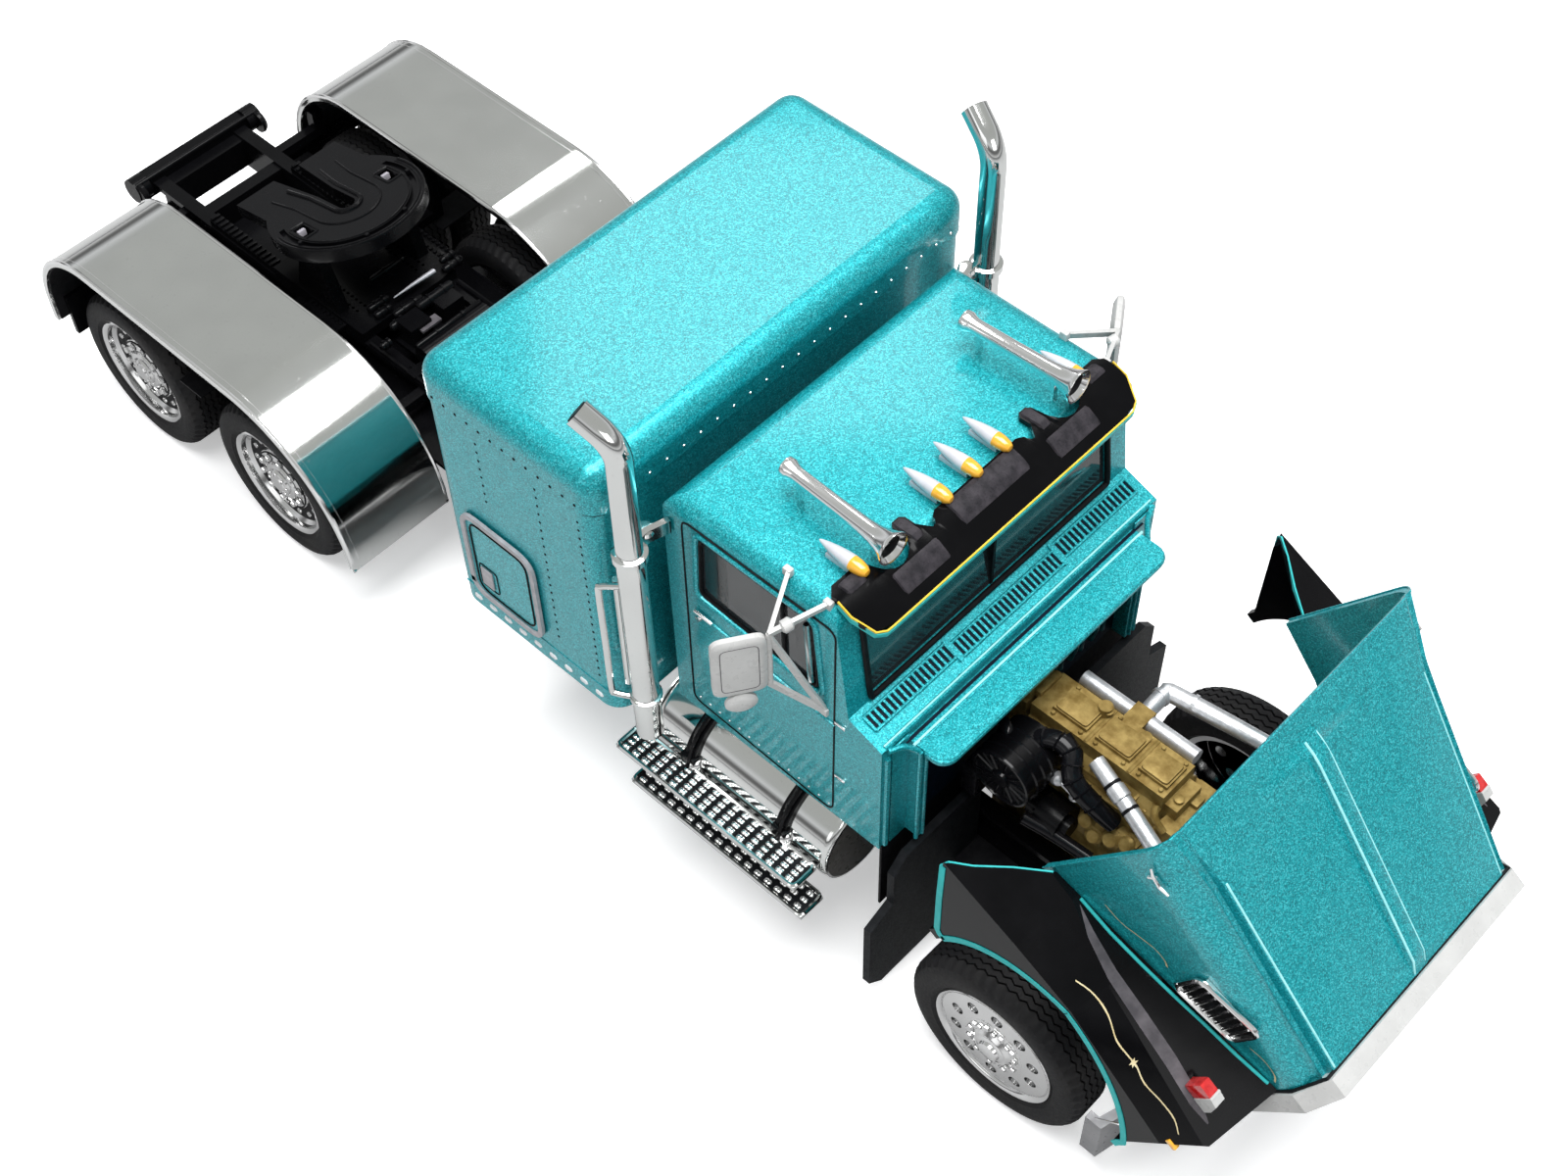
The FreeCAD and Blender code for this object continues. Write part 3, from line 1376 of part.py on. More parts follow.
def stack(side, hand):
    x = back(s.stack_back)
    stack_y = s.cab_half + s.stack_gap
    y = side * stack_y
    pipe = rod("stack_pipe_" + hand, "z", s.stack_rad, x, y, s.stack_low,
               s.stack_bend - s.stack_low)
    turn = math.radians(s.stack_turn.value)
    splay = math.radians(s.stack_splay.value)
    sweep = s.stack_sweep.value
    aim = V(-math.cos(splay), side * math.sin(splay), 0)
    start = V(x.value, y.value, s.stack_bend.value)
    middle = start + aim * (sweep * (1 - math.cos(turn / 2))) + V(0, 0, sweep * math.sin(turn / 2))
    end = start + aim * (sweep * (1 - math.cos(turn))) + V(0, 0, sweep * math.sin(turn))
    tip = end + (aim * math.sin(turn) + V(0, 0, math.cos(turn))) * s.stack_tip.value
    path = Part.Wire([Part.Arc(start, middle, end).toShape(), Part.LineSegment(end, tip).toShape()])
    ring = Part.Wire(Part.Circle(start, V(0, 0, 1), s.stack_rad.value).toShape())
    curve = add("Part::Feature", "stack_curve_" + hand)
    curve.Shape = path.makePipeShell([ring], True, True)
    clamp_z = s.clamp_high
    band = rod("stack_band_" + hand, "z", s.stack_rad + 0.3, x, y, clamp_z - 0.5, 1.0)
    y0, y1 = (s.cab_half + s.post_slack, stack_y) if side > 0 else (-stack_y, -s.cab_half - s.post_slack)
    arm = box("stack_arm_" + hand, x - 0.4, x + 0.4, y0, y1, clamp_z - 0.4, clamp_z + 0.4)
    return fuse("stack_" + hand, pipe, curve, band, arm)


# Mirrors on tube arms from the roof edge and the door

def mirror(side, hand):
    x = back(s.mirror_back)
    inboard = s.cab_half + s.mirror_gap
    high = s.cab_roof - s.mirror_drop
    low_edge = high - s.mirror_tall
    y_in, y_out = side * inboard, side * (inboard + s.mirror_wide)
    normal = V(s.mirror_wide.value, side * s.mirror_sweep.value, 0).normalize()
    thick = s.mirror_thick.value
    corner = V(x.value, y_in.value, low_edge.value)
    far = V((x - s.mirror_sweep).value, y_out.value, low_edge.value)
    face = Part.Face(Part.makePolygon([corner, far, far - normal * thick,
                                       corner - normal * thick, corner]))
    head = add("Part::Feature", "mirror_head_" + hand)
    head.Shape = face.extrude(V(0, 0, s.mirror_tall.value))
    post_x = x - 0.3
    convex_z = low_edge - s.convex_rad - 0.5
    parts = [
        head,
        strut("mirror_bar_" + hand, s.arm_rad, (post_x, y_in, convex_z - s.convex_rad * 0.6),
              (post_x, y_in, high + 0.6)),
        rod("mirror_convex_" + hand, "x", s.convex_rad, post_x - s.convex_thick / 2,
            side * (inboard + s.convex_rad), convex_z, s.convex_thick),
    ]
    door_z = s.door_glass_low - 3.0
    for tag, start_z, shift, z in (("a", high - 0.3, -1.9, high - 0.8),
                                   ("b", high - 1.1, 1.9, high - 0.8),
                                   ("c", low_edge + 0.4, 2.3, door_z),
                                   ("d", low_edge + 1.3, -1.9, door_z)):
        near = s.cab_half + s.post_slack
        far = near + s.pad_long
        parts.append(rod("mirror_pad_%s_%s" % (tag, hand), "y", s.pad_rad, x + shift,
                         near if side > 0 else -far, z, s.pad_long))
        parts.append(strut("mirror_arm_%s_%s" % (tag, hand), s.arm_rad * 0.85,
                           (post_x, y_in, start_z), (x + shift, side * (far - 0.12), z)))
    return fuse("mirror_" + hand, *parts)


for side, hand in ((-1, "right"), (1, "left")):
    stack(side, hand)
    mirror(side, hand)


# Engine bay: engine, turbo and air cleaner, pipes, radiator and splash panels

def pipe(name, radius, points):
    """Round pipe of straight runs with a ball at each turn."""
    parts = []
    for i in range(len(points) - 1):
        parts.append(strut("%s_run_%d" % (name, i), radius, points[i], points[i + 1]))
    for i in range(1, len(points) - 1):
        parts.append(ball("%s_turn_%d" % (name, i), radius, *points[i]))
    return parts


cover_back = back(s.engine_back) + 0.2
cover_front = ahead(s.cover_ahead)
cover = prism("engine_cover", "YZ", [
    (-s.cover_foot, s.engine_deck - 0.1),
    (s.cover_foot, s.engine_deck - 0.1),
    (s.cover_foot, s.cover_foot_top),
    (s.cover_half, s.cover_shoulder),
    (s.cover_half, s.cover_top),
    (-s.cover_half, s.cover_top),
    (-s.cover_half, s.cover_shoulder),
    (-s.cover_foot, s.cover_foot_top),
], cover_back + 1.6, cover_front)
pads = []
PADS = ((0.25, 2.9), (3.7, 6.9), (7.7, 10.9))
for i, (near, far) in enumerate(PADS):
    pads.append(box("engine_pad_%d" % i, cover_front - far, cover_front - near, -s.pad_half,
                    s.pad_half, s.cover_top - 0.1, s.cover_top + s.pad_up))
engine_front = ahead(s.engine_ahead)
engine_mount = box("engine_mount", back(s.mount_back), back(s.mount_front), s.cover_half - 0.2,
                   s.mount_out, s.engine_deck - 0.1, s.rail_pipe_z + 0.7)
fuse("engine",
     box("engine_block", back(s.engine_back), engine_front - 1.4, -s.engine_half,
         s.engine_half, s.engine_low + 2.5, s.engine_deck),
     box("engine_sump", back(s.engine_back - 2), ahead(s.engine_ahead) - 3, -2.2, 2.2,
         s.engine_low, s.engine_low + 2.6),
     box("engine_rear_cap", back(s.engine_back), cover_back + 1.2, -s.cover_half, s.cover_half,
         s.engine_deck - 0.1, s.cover_top - 0.4),
     box("engine_gear_case", engine_front - 1.5, engine_front, -2.7, 2.7, s.engine_low + 3,
         s.engine_deck + 0.8),
     box("engine_gear_step", engine_front - 1.9, engine_front - 0.7, -1.5, 1.5,
         s.engine_deck - 0.1, s.cover_shoulder + 0.2),
     box("engine_lump_rear", back(3.6), back(1.4), -s.engine_half - s.lump_out,
         -s.engine_half + 0.1, s.lump_low, s.lump_top),
     box("engine_lump_front", back(0.6), ahead(1.4), -s.engine_half - s.lump_out * 0.7,
         -s.engine_half + 0.1, s.lump_low + 0.6, s.lump_top + 0.5),
     rod("engine_cap", "z", 0.55, back(6.2), s.cover_half - 0.75, s.cover_top - 0.1, 1.0),
     rod("engine_crank_pulley", "x", 1.5, engine_front - 0.1, 0, s.engine_low + 5.2, 1.0),
     rod("engine_fan_hub", "x", 1.0, engine_front - 0.1, 0, s.engine_low + 9.4, 1.4),
     cover, engine_mount, *pads)
turbo_y = -s.engine_half - s.turbo_rad - 0.3
group("turbo",
      fuse("turbo_low",
           rod("turbo_body", "x", s.turbo_rad, back(6.6), turbo_y, s.manifold_low + 1.4, 2.2),
           rod("turbo_inlet", "x", s.turbo_rad * 0.6, back(7.6), turbo_y, s.manifold_low + 1.4,
               3.8),
           box("turbo_manifold", back(10.5), back(4.4), -s.engine_half - 1.3,
               -s.engine_half - s.post_slack, s.manifold_low, s.manifold_low + 1.8)),
      fuse("turbo_hose", *pipe("hose", s.hose_rad, [
          (back(6.9), -3.05, 28.15), (back(5.6), -3.35, 27.7), (back(4.6), -4.6, 26.6),
          (back(2.4), -4.5, 25.4), (back(0.9), -3.95, 24.0)])))
rod("air_cleaner", "y", s.cleaner_rad, back(s.cleaner_back), -s.cleaner_out, s.cleaner_z,
    s.cleaner_out - s.engine_half - s.post_slack)

radiator_face = ahead(s.radiator_ahead)
radiator = box("radiator", radiator_face, radiator_face + s.radiator_thick, -s.radiator_half,
               s.radiator_half, s.radiator_low, s.radiator_top)
left_x = (back(s.mount_back) + back(s.mount_front)) / 2
left_pipe = fuse("charge_pipe_left", *pipe("pipe_l", s.pipe_rad, [
    (left_x, s.mount_out, s.rail_pipe_z), (left_x, s.mount_out + 2.5, s.rail_pipe_z),
    (ahead(3.9), 8.0, 26.0), (radiator_face + 0.6, 8.2, 23.9)]))
right_pipe = fuse("charge_pipe_right", *pipe("pipe_r", s.pipe_rad, [
    (back(4.0), -2.7, 27.7), (back(0.35), -3.6, 26.7), (ahead(3.8), -4.8, 25.6),
    (radiator_face + 0.6, -6.0, 23.6)]))
rails = [
    rod("rail_pipe_rear", "x", s.pipe_rad, back(9.8), s.rail_pipe_y, s.rail_pipe_z,
        9.8 - s.mount_back),
    rod("rail_pipe_front", "x", s.pipe_rad, back(s.mount_front), s.rail_pipe_y, s.rail_pipe_z,
        s.mount_front + 0.9),
]
group("charge_pipes", cut("pipe_left_seated", left_pipe, radiator),
      cut("pipe_right_seated", right_pipe, radiator), *rails)
panels = []
for side, hand in ((-1, "right"), (1, "left")):
    outline = [
        (s.splash_in, s.splash_top),
        (s.splash_in, s.splash_low + 5.6),
        (s.splash_in + 3.6, s.splash_low),
        (s.splash_out - s.splash_corner, s.splash_low),
        (s.splash_out, s.splash_low + s.splash_corner),
        (s.splash_out, s.splash_lobe),
        (s.splash_shoulder, s.splash_notch),
        (s.splash_shoulder, s.splash_top - s.splash_corner),
        (s.splash_shoulder - s.splash_corner, s.splash_top),
    ]
    panels.append(prism("splash_" + hand, "YZ", [(side * y, z) for y, z in outline],
                        back(s.splash_back), back(s.splash_back) + s.splash_thick))
group("splash_panels", *panels)


# Front bumper: chromed channel with returned ends

def bumper_outline(name, skin, low, high, reach):
    """Bowed channel in plan, its ends returned behind the wheels' front."""
    end, half = ahead(s.bumper_end) - skin, s.bumper_half - skin
    turn, face = ahead(s.bumper_end + s.bumper_turn) - skin, ahead(s.bumper_ahead) - skin
    return prism(name, "XY", [
        (end - s.bumper_deep - reach, -half), (end, -half), (turn, -s.bumper_turn_y),
        (face, -s.bumper_flat), (face, s.bumper_flat), (turn, s.bumper_turn_y),
        (end, half), (end - s.bumper_deep - reach, half),
    ], low, high)


cut("front_bumper", bumper_outline("bumper_outer", size(0), s.bumper_low, s.bumper_top, 0),
    bumper_outline("bumper_inner", s.bumper_skin, s.bumper_low - 1, s.bumper_top + 1, 2.0))
horn_parts = []
for side, hand in ((-1, "right"), (1, "left")):
    y = side * (s.rail_out - s.rail_flange / 2)
    y0, y1 = y - s.bracket_half, y + s.bracket_half
    foot = ahead(s.rail_nose) - s.bracket_thick
    low = s.bumper_low + s.bracket_up
    pin_x = ahead(s.hinge_ahead)
    blank = fuse(
        "bumper_bracket_blank_" + hand,
        box("bumper_riser_" + hand, foot, foot + s.bracket_thick, y0, y1, low, s.rail_low),
        box("bumper_arm_" + hand, foot, ahead(s.bumper_ahead) - s.bumper_skin, y0, y1, low,
            s.bumper_top - s.bracket_up / 2),
        box("hinge_horn_" + hand, foot, pin_x, y0, y1, s.bumper_top + s.deck_rise,
            s.bumper_top + s.deck_rise + s.horn_thick),
        rod("hinge_knuckle_" + hand, "y", s.hinge_pin + 0.6, pin_x, y0, s.hinge_z,
            s.bracket_half * 2))
    hole = rod("hinge_bore_" + hand, "y", s.hinge_pin + s.hinge_run, pin_x, y - 2, s.hinge_z, 4.0)
    horn_parts.append(cut("bumper_bracket_" + hand, blank, hole))
group("bumper_brackets", *horn_parts)


# Hood: lofted shell, fenders, grille and lamps, drawn closed

def hood_section(name, x, half, low, top, drop, crease, inset):
    """Channel section across the truck: flat top between two creases, then a bevel."""
    w = half - inset
    t = top - inset
    step = drop * s.crease_share
    lean = s.crease_lean
    side = [(w, t - drop), (crease - inset * 0.5 + lean, t - step), (crease - inset * 0.5, t)]
    return sketch(name, "YZ", [(-w, low), (w, low)] + side
                  + [(-y, z) for y, z in reversed(side)], (x, 0, 0))


def hood_loft(name, inset, low_shift, reach):
    obj = add("Part::Loft", name)
    obj.Sections = [
        hood_section(name + "_rear", back(s.hood_back) - reach, s.hood_rear_half,
                     s.hood_rear_low - low_shift, s.hood_rear_top, s.hood_rear_drop,
                     s.crease_rear, inset),
        hood_section(name + "_waist", back(s.hood_waist_back), s.hood_waist_half,
                     s.hood_waist_low - low_shift, s.hood_waist_top, s.hood_waist_drop,
                     s.crease_waist, inset),
        hood_section(name + "_nose", ahead(s.hood_ahead) + reach, s.hood_nose_half,
                     s.hood_nose_low - low_shift, s.hood_nose_top, s.hood_nose_drop,
                     s.crease_nose, inset),
    ]
    obj.Solid = True
    obj.Ruled = True
    return obj


spine = prism("hood_spine", "XZ", [
    (back(s.hood_back), s.hood_rear_top - s.hood_skin / 2),
    (back(s.hood_waist_back), s.hood_waist_top - s.hood_skin / 2),
    (ahead(s.hood_ahead), s.hood_nose_top - s.hood_skin / 2),
    (ahead(s.hood_ahead), s.hood_nose_top + s.spine_up),
    (back(s.hood_waist_back), s.hood_waist_top + s.spine_up),
    (back(s.hood_back), s.hood_rear_top + s.spine_up),
], -s.spine_wide / 2, s.spine_wide / 2)
hood_hollow = cut("hood_hollow", hood_loft("hood_outer", 0, 0, 0),
                  hood_loft("hood_inner", s.hood_skin, 2, 0.5))
tilt(group("hood_shell", fuse("hood_closed", hood_hollow, spine)))


def hood_wall(x):
    """Half width of the hood a distance ahead of the front axle, past its waist."""
    share = (x + s.hood_waist_back) / (s.hood_ahead + s.hood_waist_back)
    return s.hood_waist_half + (s.hood_nose_half - s.hood_waist_half) * share


vents = []
for side, hand in ((-1, "right"), (1, "left")):
    near, far = s.vent_ahead, s.vent_ahead + s.vent_long
    inner, outer = s.post_slack, s.post_slack + s.vent_proud
    vents.append(prism("vent_" + hand, "XY", [
        (ahead(near), side * (hood_wall(near) + inner)),
        (ahead(far), side * (hood_wall(far) + inner)),
        (ahead(far), side * (hood_wall(far) + outer)),
        (ahead(near), side * (hood_wall(near) + outer)),
    ], s.vent_low, s.vent_low + s.vent_tall))
tilt(group("hood_vents", *vents))


def fender_section(name, x, side, top, crease, fall, edge, inset, low):
    """Section of a front fender: top falling to a crease, then a bevel to its outer edge."""
    inner = s.hood_nose_half + s.post_slack - inset * 2
    return sketch(name, "YZ", [
        (side * inner, low), (side * (s.ff_out - inset), low),
        (side * (s.ff_out - inset), edge - inset * 0.5),
        (side * (crease - inset * 0.5), top - fall - inset),
        (side * inner, top - inset),
    ], (x, 0, 0))


def fender_loft(name, side, inset, low, reach):
    obj = add("Part::Loft", name)
    obj.Sections = [
        fender_section(name + "_rear", back(s.ff_back) - reach, side, s.ff_rear_top,
                       s.ff_rear_crease, s.ff_rear_fall, s.ff_rear_edge, inset, low),
        fender_section(name + "_hip", back(s.ff_hip_back), side, s.ff_hip_top,
                       s.ff_hip_crease, s.ff_hip_fall, s.ff_hip_edge, inset, low),
        fender_section(name + "_mid", back(s.arch_peak_back), side, s.ff_mid_top,
                       s.ff_mid_crease, s.ff_mid_fall, s.ff_mid_edge, inset, low),
        fender_section(name + "_front", ahead(s.ff_ahead) - inset, side, s.ff_front_top,
                       s.ff_front_crease, s.ff_front_fall, s.ff_front_edge, inset, low),
    ]
    obj.Solid = True
    obj.Ruled = True
    return obj


def fender_plan(name, side, inset, reach):
    """Plan outline with the corner cut off at the front and the edge swept back behind."""
    front = ahead(s.ff_ahead) - inset
    out = s.ff_out - inset
    inner = s.hood_nose_half + s.post_slack - inset * 3
    points = [
        (back(s.ff_rear_inner) - reach, inner),
        (front, inner),
        (front, out - s.ff_corner + inset * 0.4),
        (front - s.ff_corner, out),
        (back(s.ff_rear_outer) - reach, out),
        (back(s.ff_rear_inner) - reach, s.hood_rear_half),
    ]
    return prism(name, "XY", [(x, side * y) for x, y in points], s.ff_foot_z - 4,
                 s.hood_rear_top)


def front_fender(side, hand):
    """Thin arched fender beside the hood."""
    low = s.ff_foot_z - 1
    solid = common("ff_solid_" + hand, fender_loft("ff_outer_" + hand, side, 0, low, 0),
                   fender_plan("ff_plan_" + hand, side, 0, 0))
    hollow = common("ff_hollow_" + hand,
                    fender_loft("ff_inner_" + hand, side, s.ff_skin, low - 2, 1.0),
                    fender_plan("ff_inner_plan_" + hand, side, s.ff_skin, 2.0))
    y0, y1 = (s.hood_nose_half - 4, s.ff_out + 1)
    if side < 0:
        y0, y1 = -y1, -y0
    foot = back(s.ff_rear_foot)
    front = ahead(s.ff_ahead) - s.ff_skin - 0.6
    arch = prism("ff_arch_" + hand, "XZ", [
        (foot, low - 1),
        (foot, s.ff_foot_z, -s.arch_rad),
        (back(s.arch_peak_back), s.arch_peak_z - s.ff_lip, -s.arch_front_rad),
        (front, s.arch_front_z),
        (front, low - 1),
    ], y0, y1)
    heel = prism("ff_heel_" + hand, "XZ", [
        (foot - s.ff_heel, low - 1),
        (foot - s.ff_heel, s.ff_foot_z),
        (back(s.ff_rear_outer), s.ff_rear_edge),
        (back(s.ff_back) - 2, s.ff_rear_edge),
        (back(s.ff_back) - 2, low - 1),
    ], y0, y1)
    chin = box("ff_chin_" + hand, front - 0.1, ahead(s.ff_ahead) + 1, y0, y1, low - 1,
               s.ff_front_low)
    return cut("ff_closed_" + hand, solid, hollow, arch, heel, chin,
               hood_loft("ff_clear_" + hand, -s.ff_gap, 6, 0))


for side, hand in ((-1, "right"), (1, "left")):
    tilt(group("front_fender_" + hand, front_fender(side, hand)))

nose_x = ahead(s.hood_ahead)


def grille_frame(name, x0, x1, shrink):
    half = s.hood_nose_half + s.grille_proud - shrink
    low = s.hood_nose_low + shrink
    top = s.hood_nose_top + s.grille_proud - shrink
    crease = s.crease_nose + s.crease_lean - shrink * 0.5
    return prism(name, "YZ", [
        (-half, low), (half, low), (half, top - s.hood_nose_drop), (crease, top),
        (-crease, top), (-half, top - s.hood_nose_drop),
    ], x0, x1)


surround = cut("grille_closed", grille_frame("grille_outer", nose_x, nose_x + s.grille_deep, 0),
               grille_frame("grille_hole", nose_x - 1, nose_x + s.grille_deep + 1, s.grille_rim))
tilt(group("grille_surround", surround))
bars = [grille_frame("grille_back", nose_x + 0.2, nose_x + 0.6, s.grille_rim + s.post_slack)]
for i in range(9):
    y = size(i - 4) * s.grille_pitch
    bars.append(box("grille_bar_%d" % i, nose_x + 0.5, nose_x + 1.1, y - 0.2, y + 0.2,
                    s.hood_nose_low + s.grille_rim + s.post_slack,
                    s.hood_nose_top + s.grille_proud - s.grille_rim - s.hood_nose_drop * 0.5))
tilt(group("grille_bars", fuse("grille_bars_closed", *bars)))

markers = []
lamps = []
for side, hand in ((-1, "right"), (1, "left")):
    y = side * s.marker_y
    x = ahead(s.marker_ahead)
    markers.append(box("marker_" + hand, x - s.marker_long / 2, x + s.marker_long / 2,
                       y - s.marker_wide / 2, y + s.marker_wide / 2,
                       s.ff_mid_edge + s.marker_sink, s.marker_z))
    lamps.append(rod("headlamp_" + hand, "x", s.headlamp_rad, ahead(s.ff_ahead),
                     side * s.headlamp_y, s.headlamp_z, s.headlamp_long))
tilt(group("headlamps", *lamps))
tilt(group("marker_lamps", *[
    cut("marker_seated_" + hand, made["marker_" + hand], made["ff_outer_" + hand])
    for hand in ("right", "left")]))

hinge_arms = []
for side, hand in ((-1, "right"), (1, "left")):
    y = side * (s.rail_out + 0.95)
    eye = rod("hinge_eye_" + hand, "y", s.hinge_pin + 0.6, ahead(s.hinge_ahead), y - 0.6,
              s.hinge_z, 1.2)
    arm = prism("hinge_arm_" + hand, "XZ", [
        (ahead(s.hinge_ahead) - 0.7, s.hinge_z - 0.8),
        (ahead(s.hinge_ahead) + 0.7, s.hinge_z + 0.7),
        (nose_x + s.grille_deep, s.hood_nose_low),
        (nose_x + 0.1, s.hood_nose_low),
    ], y - 0.6, y + 0.6)
    reach = s.rail_out + 1.55
    start = -reach if side < 0 else s.rail_out - s.rail_flange
    pin = rod("hinge_pin_" + hand, "y", s.hinge_pin, ahead(s.hinge_ahead), start, s.hinge_z,
              s.rail_flange + 1.55)
    hinge_arms.append(fuse("hinge_" + hand, eye, arm, pin))
tilt(group("hood_hinge", *hinge_arms))


# The nodes that are written

NODES = [
    "frame", "rear_light_bar", "mudflap_hangers", "front_suspension", "mid_axle_housing",
    "rear_axle_housing", "driveshaft", "front_wheels", "front_tyres", "front_axle_pin",
    "mid_wheels", "mid_tyres", "mid_axle_pin", "rear_wheels", "rear_tyres", "rear_axle_pin",
    "rear_fender_right", "rear_fender_left", "fender_brackets", "fifth_wheel_base",
    "fifth_wheel_plate", "fifth_wheel_pin", "air_tanks", "fuel_tank_right", "fuel_tank_left",
    "tank_straps", "steps_right", "steps_left", "sleeper_shell", "luggage_doors",
    "cab_boot", "cab_shell", "cab_mounts", "cab_glass", "cab_interior", "steering_wheel",
    "sun_visor", "roof_lamps", "air_horns", "stack_right", "stack_left", "mirror_right",
    "mirror_left", "engine", "turbo", "air_cleaner", "charge_pipes", "radiator",
    "splash_panels", "front_bumper", "bumper_brackets", "hood_shell", "hood_vents",
    "front_fender_right", "front_fender_left", "marker_lamps", "grille_surround",
    "grille_bars", "headlamps", "hood_hinge",
]

doc.recompute()
faults = []
for obj in doc.Objects:
    if "Invalid" in obj.State or "Error" in obj.State:
        faults.append("%s: %s" % (obj.Name, obj.State))
for name in NODES:
    shape = made[name].Shape
    if shape.isNull() or not shape.isValid() or not shape.Solids:
        faults.append("%s: bad shape, valid %s, %d solids" % (name, shape.isValid(), len(shape.Solids)))
if faults:
    raise RuntimeError("; ".join(faults))

os.makedirs("parts", exist_ok=True)
total = None
for name in NODES:
    shape = made[name].Shape
    shape.exportStep("parts/%s.step" % name)
    total = shape.BoundBox if total is None else total.united(shape.BoundBox)
print("nodes", len(NODES))
print("box x %.2f %.2f  y %.2f %.2f  z %.2f %.2f"
      % (total.XMin, total.XMax, total.YMin, total.YMax, total.ZMin, total.ZMax))
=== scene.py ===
import json
import math

import bmesh
import bpy
from bpy.props import FloatProperty, FloatVectorProperty, PointerProperty
from mathutils import Matrix, Vector


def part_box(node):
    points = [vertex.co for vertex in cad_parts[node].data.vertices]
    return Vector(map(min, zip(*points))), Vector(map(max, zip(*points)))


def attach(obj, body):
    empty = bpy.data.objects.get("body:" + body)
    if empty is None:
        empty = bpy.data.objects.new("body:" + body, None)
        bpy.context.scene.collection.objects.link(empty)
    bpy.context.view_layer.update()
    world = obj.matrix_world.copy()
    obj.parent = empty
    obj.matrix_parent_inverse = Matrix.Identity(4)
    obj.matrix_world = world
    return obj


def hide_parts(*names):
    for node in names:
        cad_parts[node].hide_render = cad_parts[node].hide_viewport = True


bl_info = {
    "name": "Tilt-hood tractor model",
    "version": (1, 0, 0),
    "blender": (4, 5, 0),
    "location": "View3D > Sidebar > Tractor",
    "description": "Dresses the packed frame of a small die-cast long-nose tractor unit",
    "category": "Object",
}

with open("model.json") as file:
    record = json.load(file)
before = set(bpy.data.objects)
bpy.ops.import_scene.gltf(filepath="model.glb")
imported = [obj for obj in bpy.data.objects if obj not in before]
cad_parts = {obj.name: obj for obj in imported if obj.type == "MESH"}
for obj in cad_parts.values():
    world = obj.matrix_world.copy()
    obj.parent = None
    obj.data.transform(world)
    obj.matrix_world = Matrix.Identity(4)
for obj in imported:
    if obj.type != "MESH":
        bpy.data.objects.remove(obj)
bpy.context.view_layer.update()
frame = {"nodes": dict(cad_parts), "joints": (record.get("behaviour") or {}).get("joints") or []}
NODES = frame["nodes"]
JOINTS = {joint["name"]: joint for joint in frame["joints"]}

# Lengths below are millimetres, x from the front axle, y to the driver's left, z up from the floor
MM = 0.001
AHEAD, ACROSS, UP = (1, 0, 0), (0, 1, 0), (0, 0, 1)
RIGHT, LEFT = -1, 1
HANDS = {RIGHT: "right", LEFT: "left"}
low_corner, high_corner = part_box("front_tyres")
AXLE_X = (low_corner.x + high_corner.x) / 2 / MM
TYRE_RADIUS = (high_corner.z - low_corner.z) / 2 / MM
HINGE_X = JOINTS["hood_tilt"]["pos_m"][0] / MM - AXLE_X
HINGE_Z = JOINTS["hood_tilt"]["pos_m"][2] / MM
HOOD_OPEN = 35.0


# Shader expressions

class Value:
    """A shader socket: Python's operators on it add Math nodes, so 0.5 * mask works."""

    def __init__(self, finish, socket):
        self.finish = finish
        self.socket = socket

    def maths(self, operation, *operands):
        return self.finish.node("ShaderNodeMath", {"operation": operation}, *operands)

    def __add__(self, other):
        return self.maths("ADD", self, other)

    def __mul__(self, other):
        return self.maths("MULTIPLY", self, other)

    __radd__ = __add__
    __rmul__ = __mul__


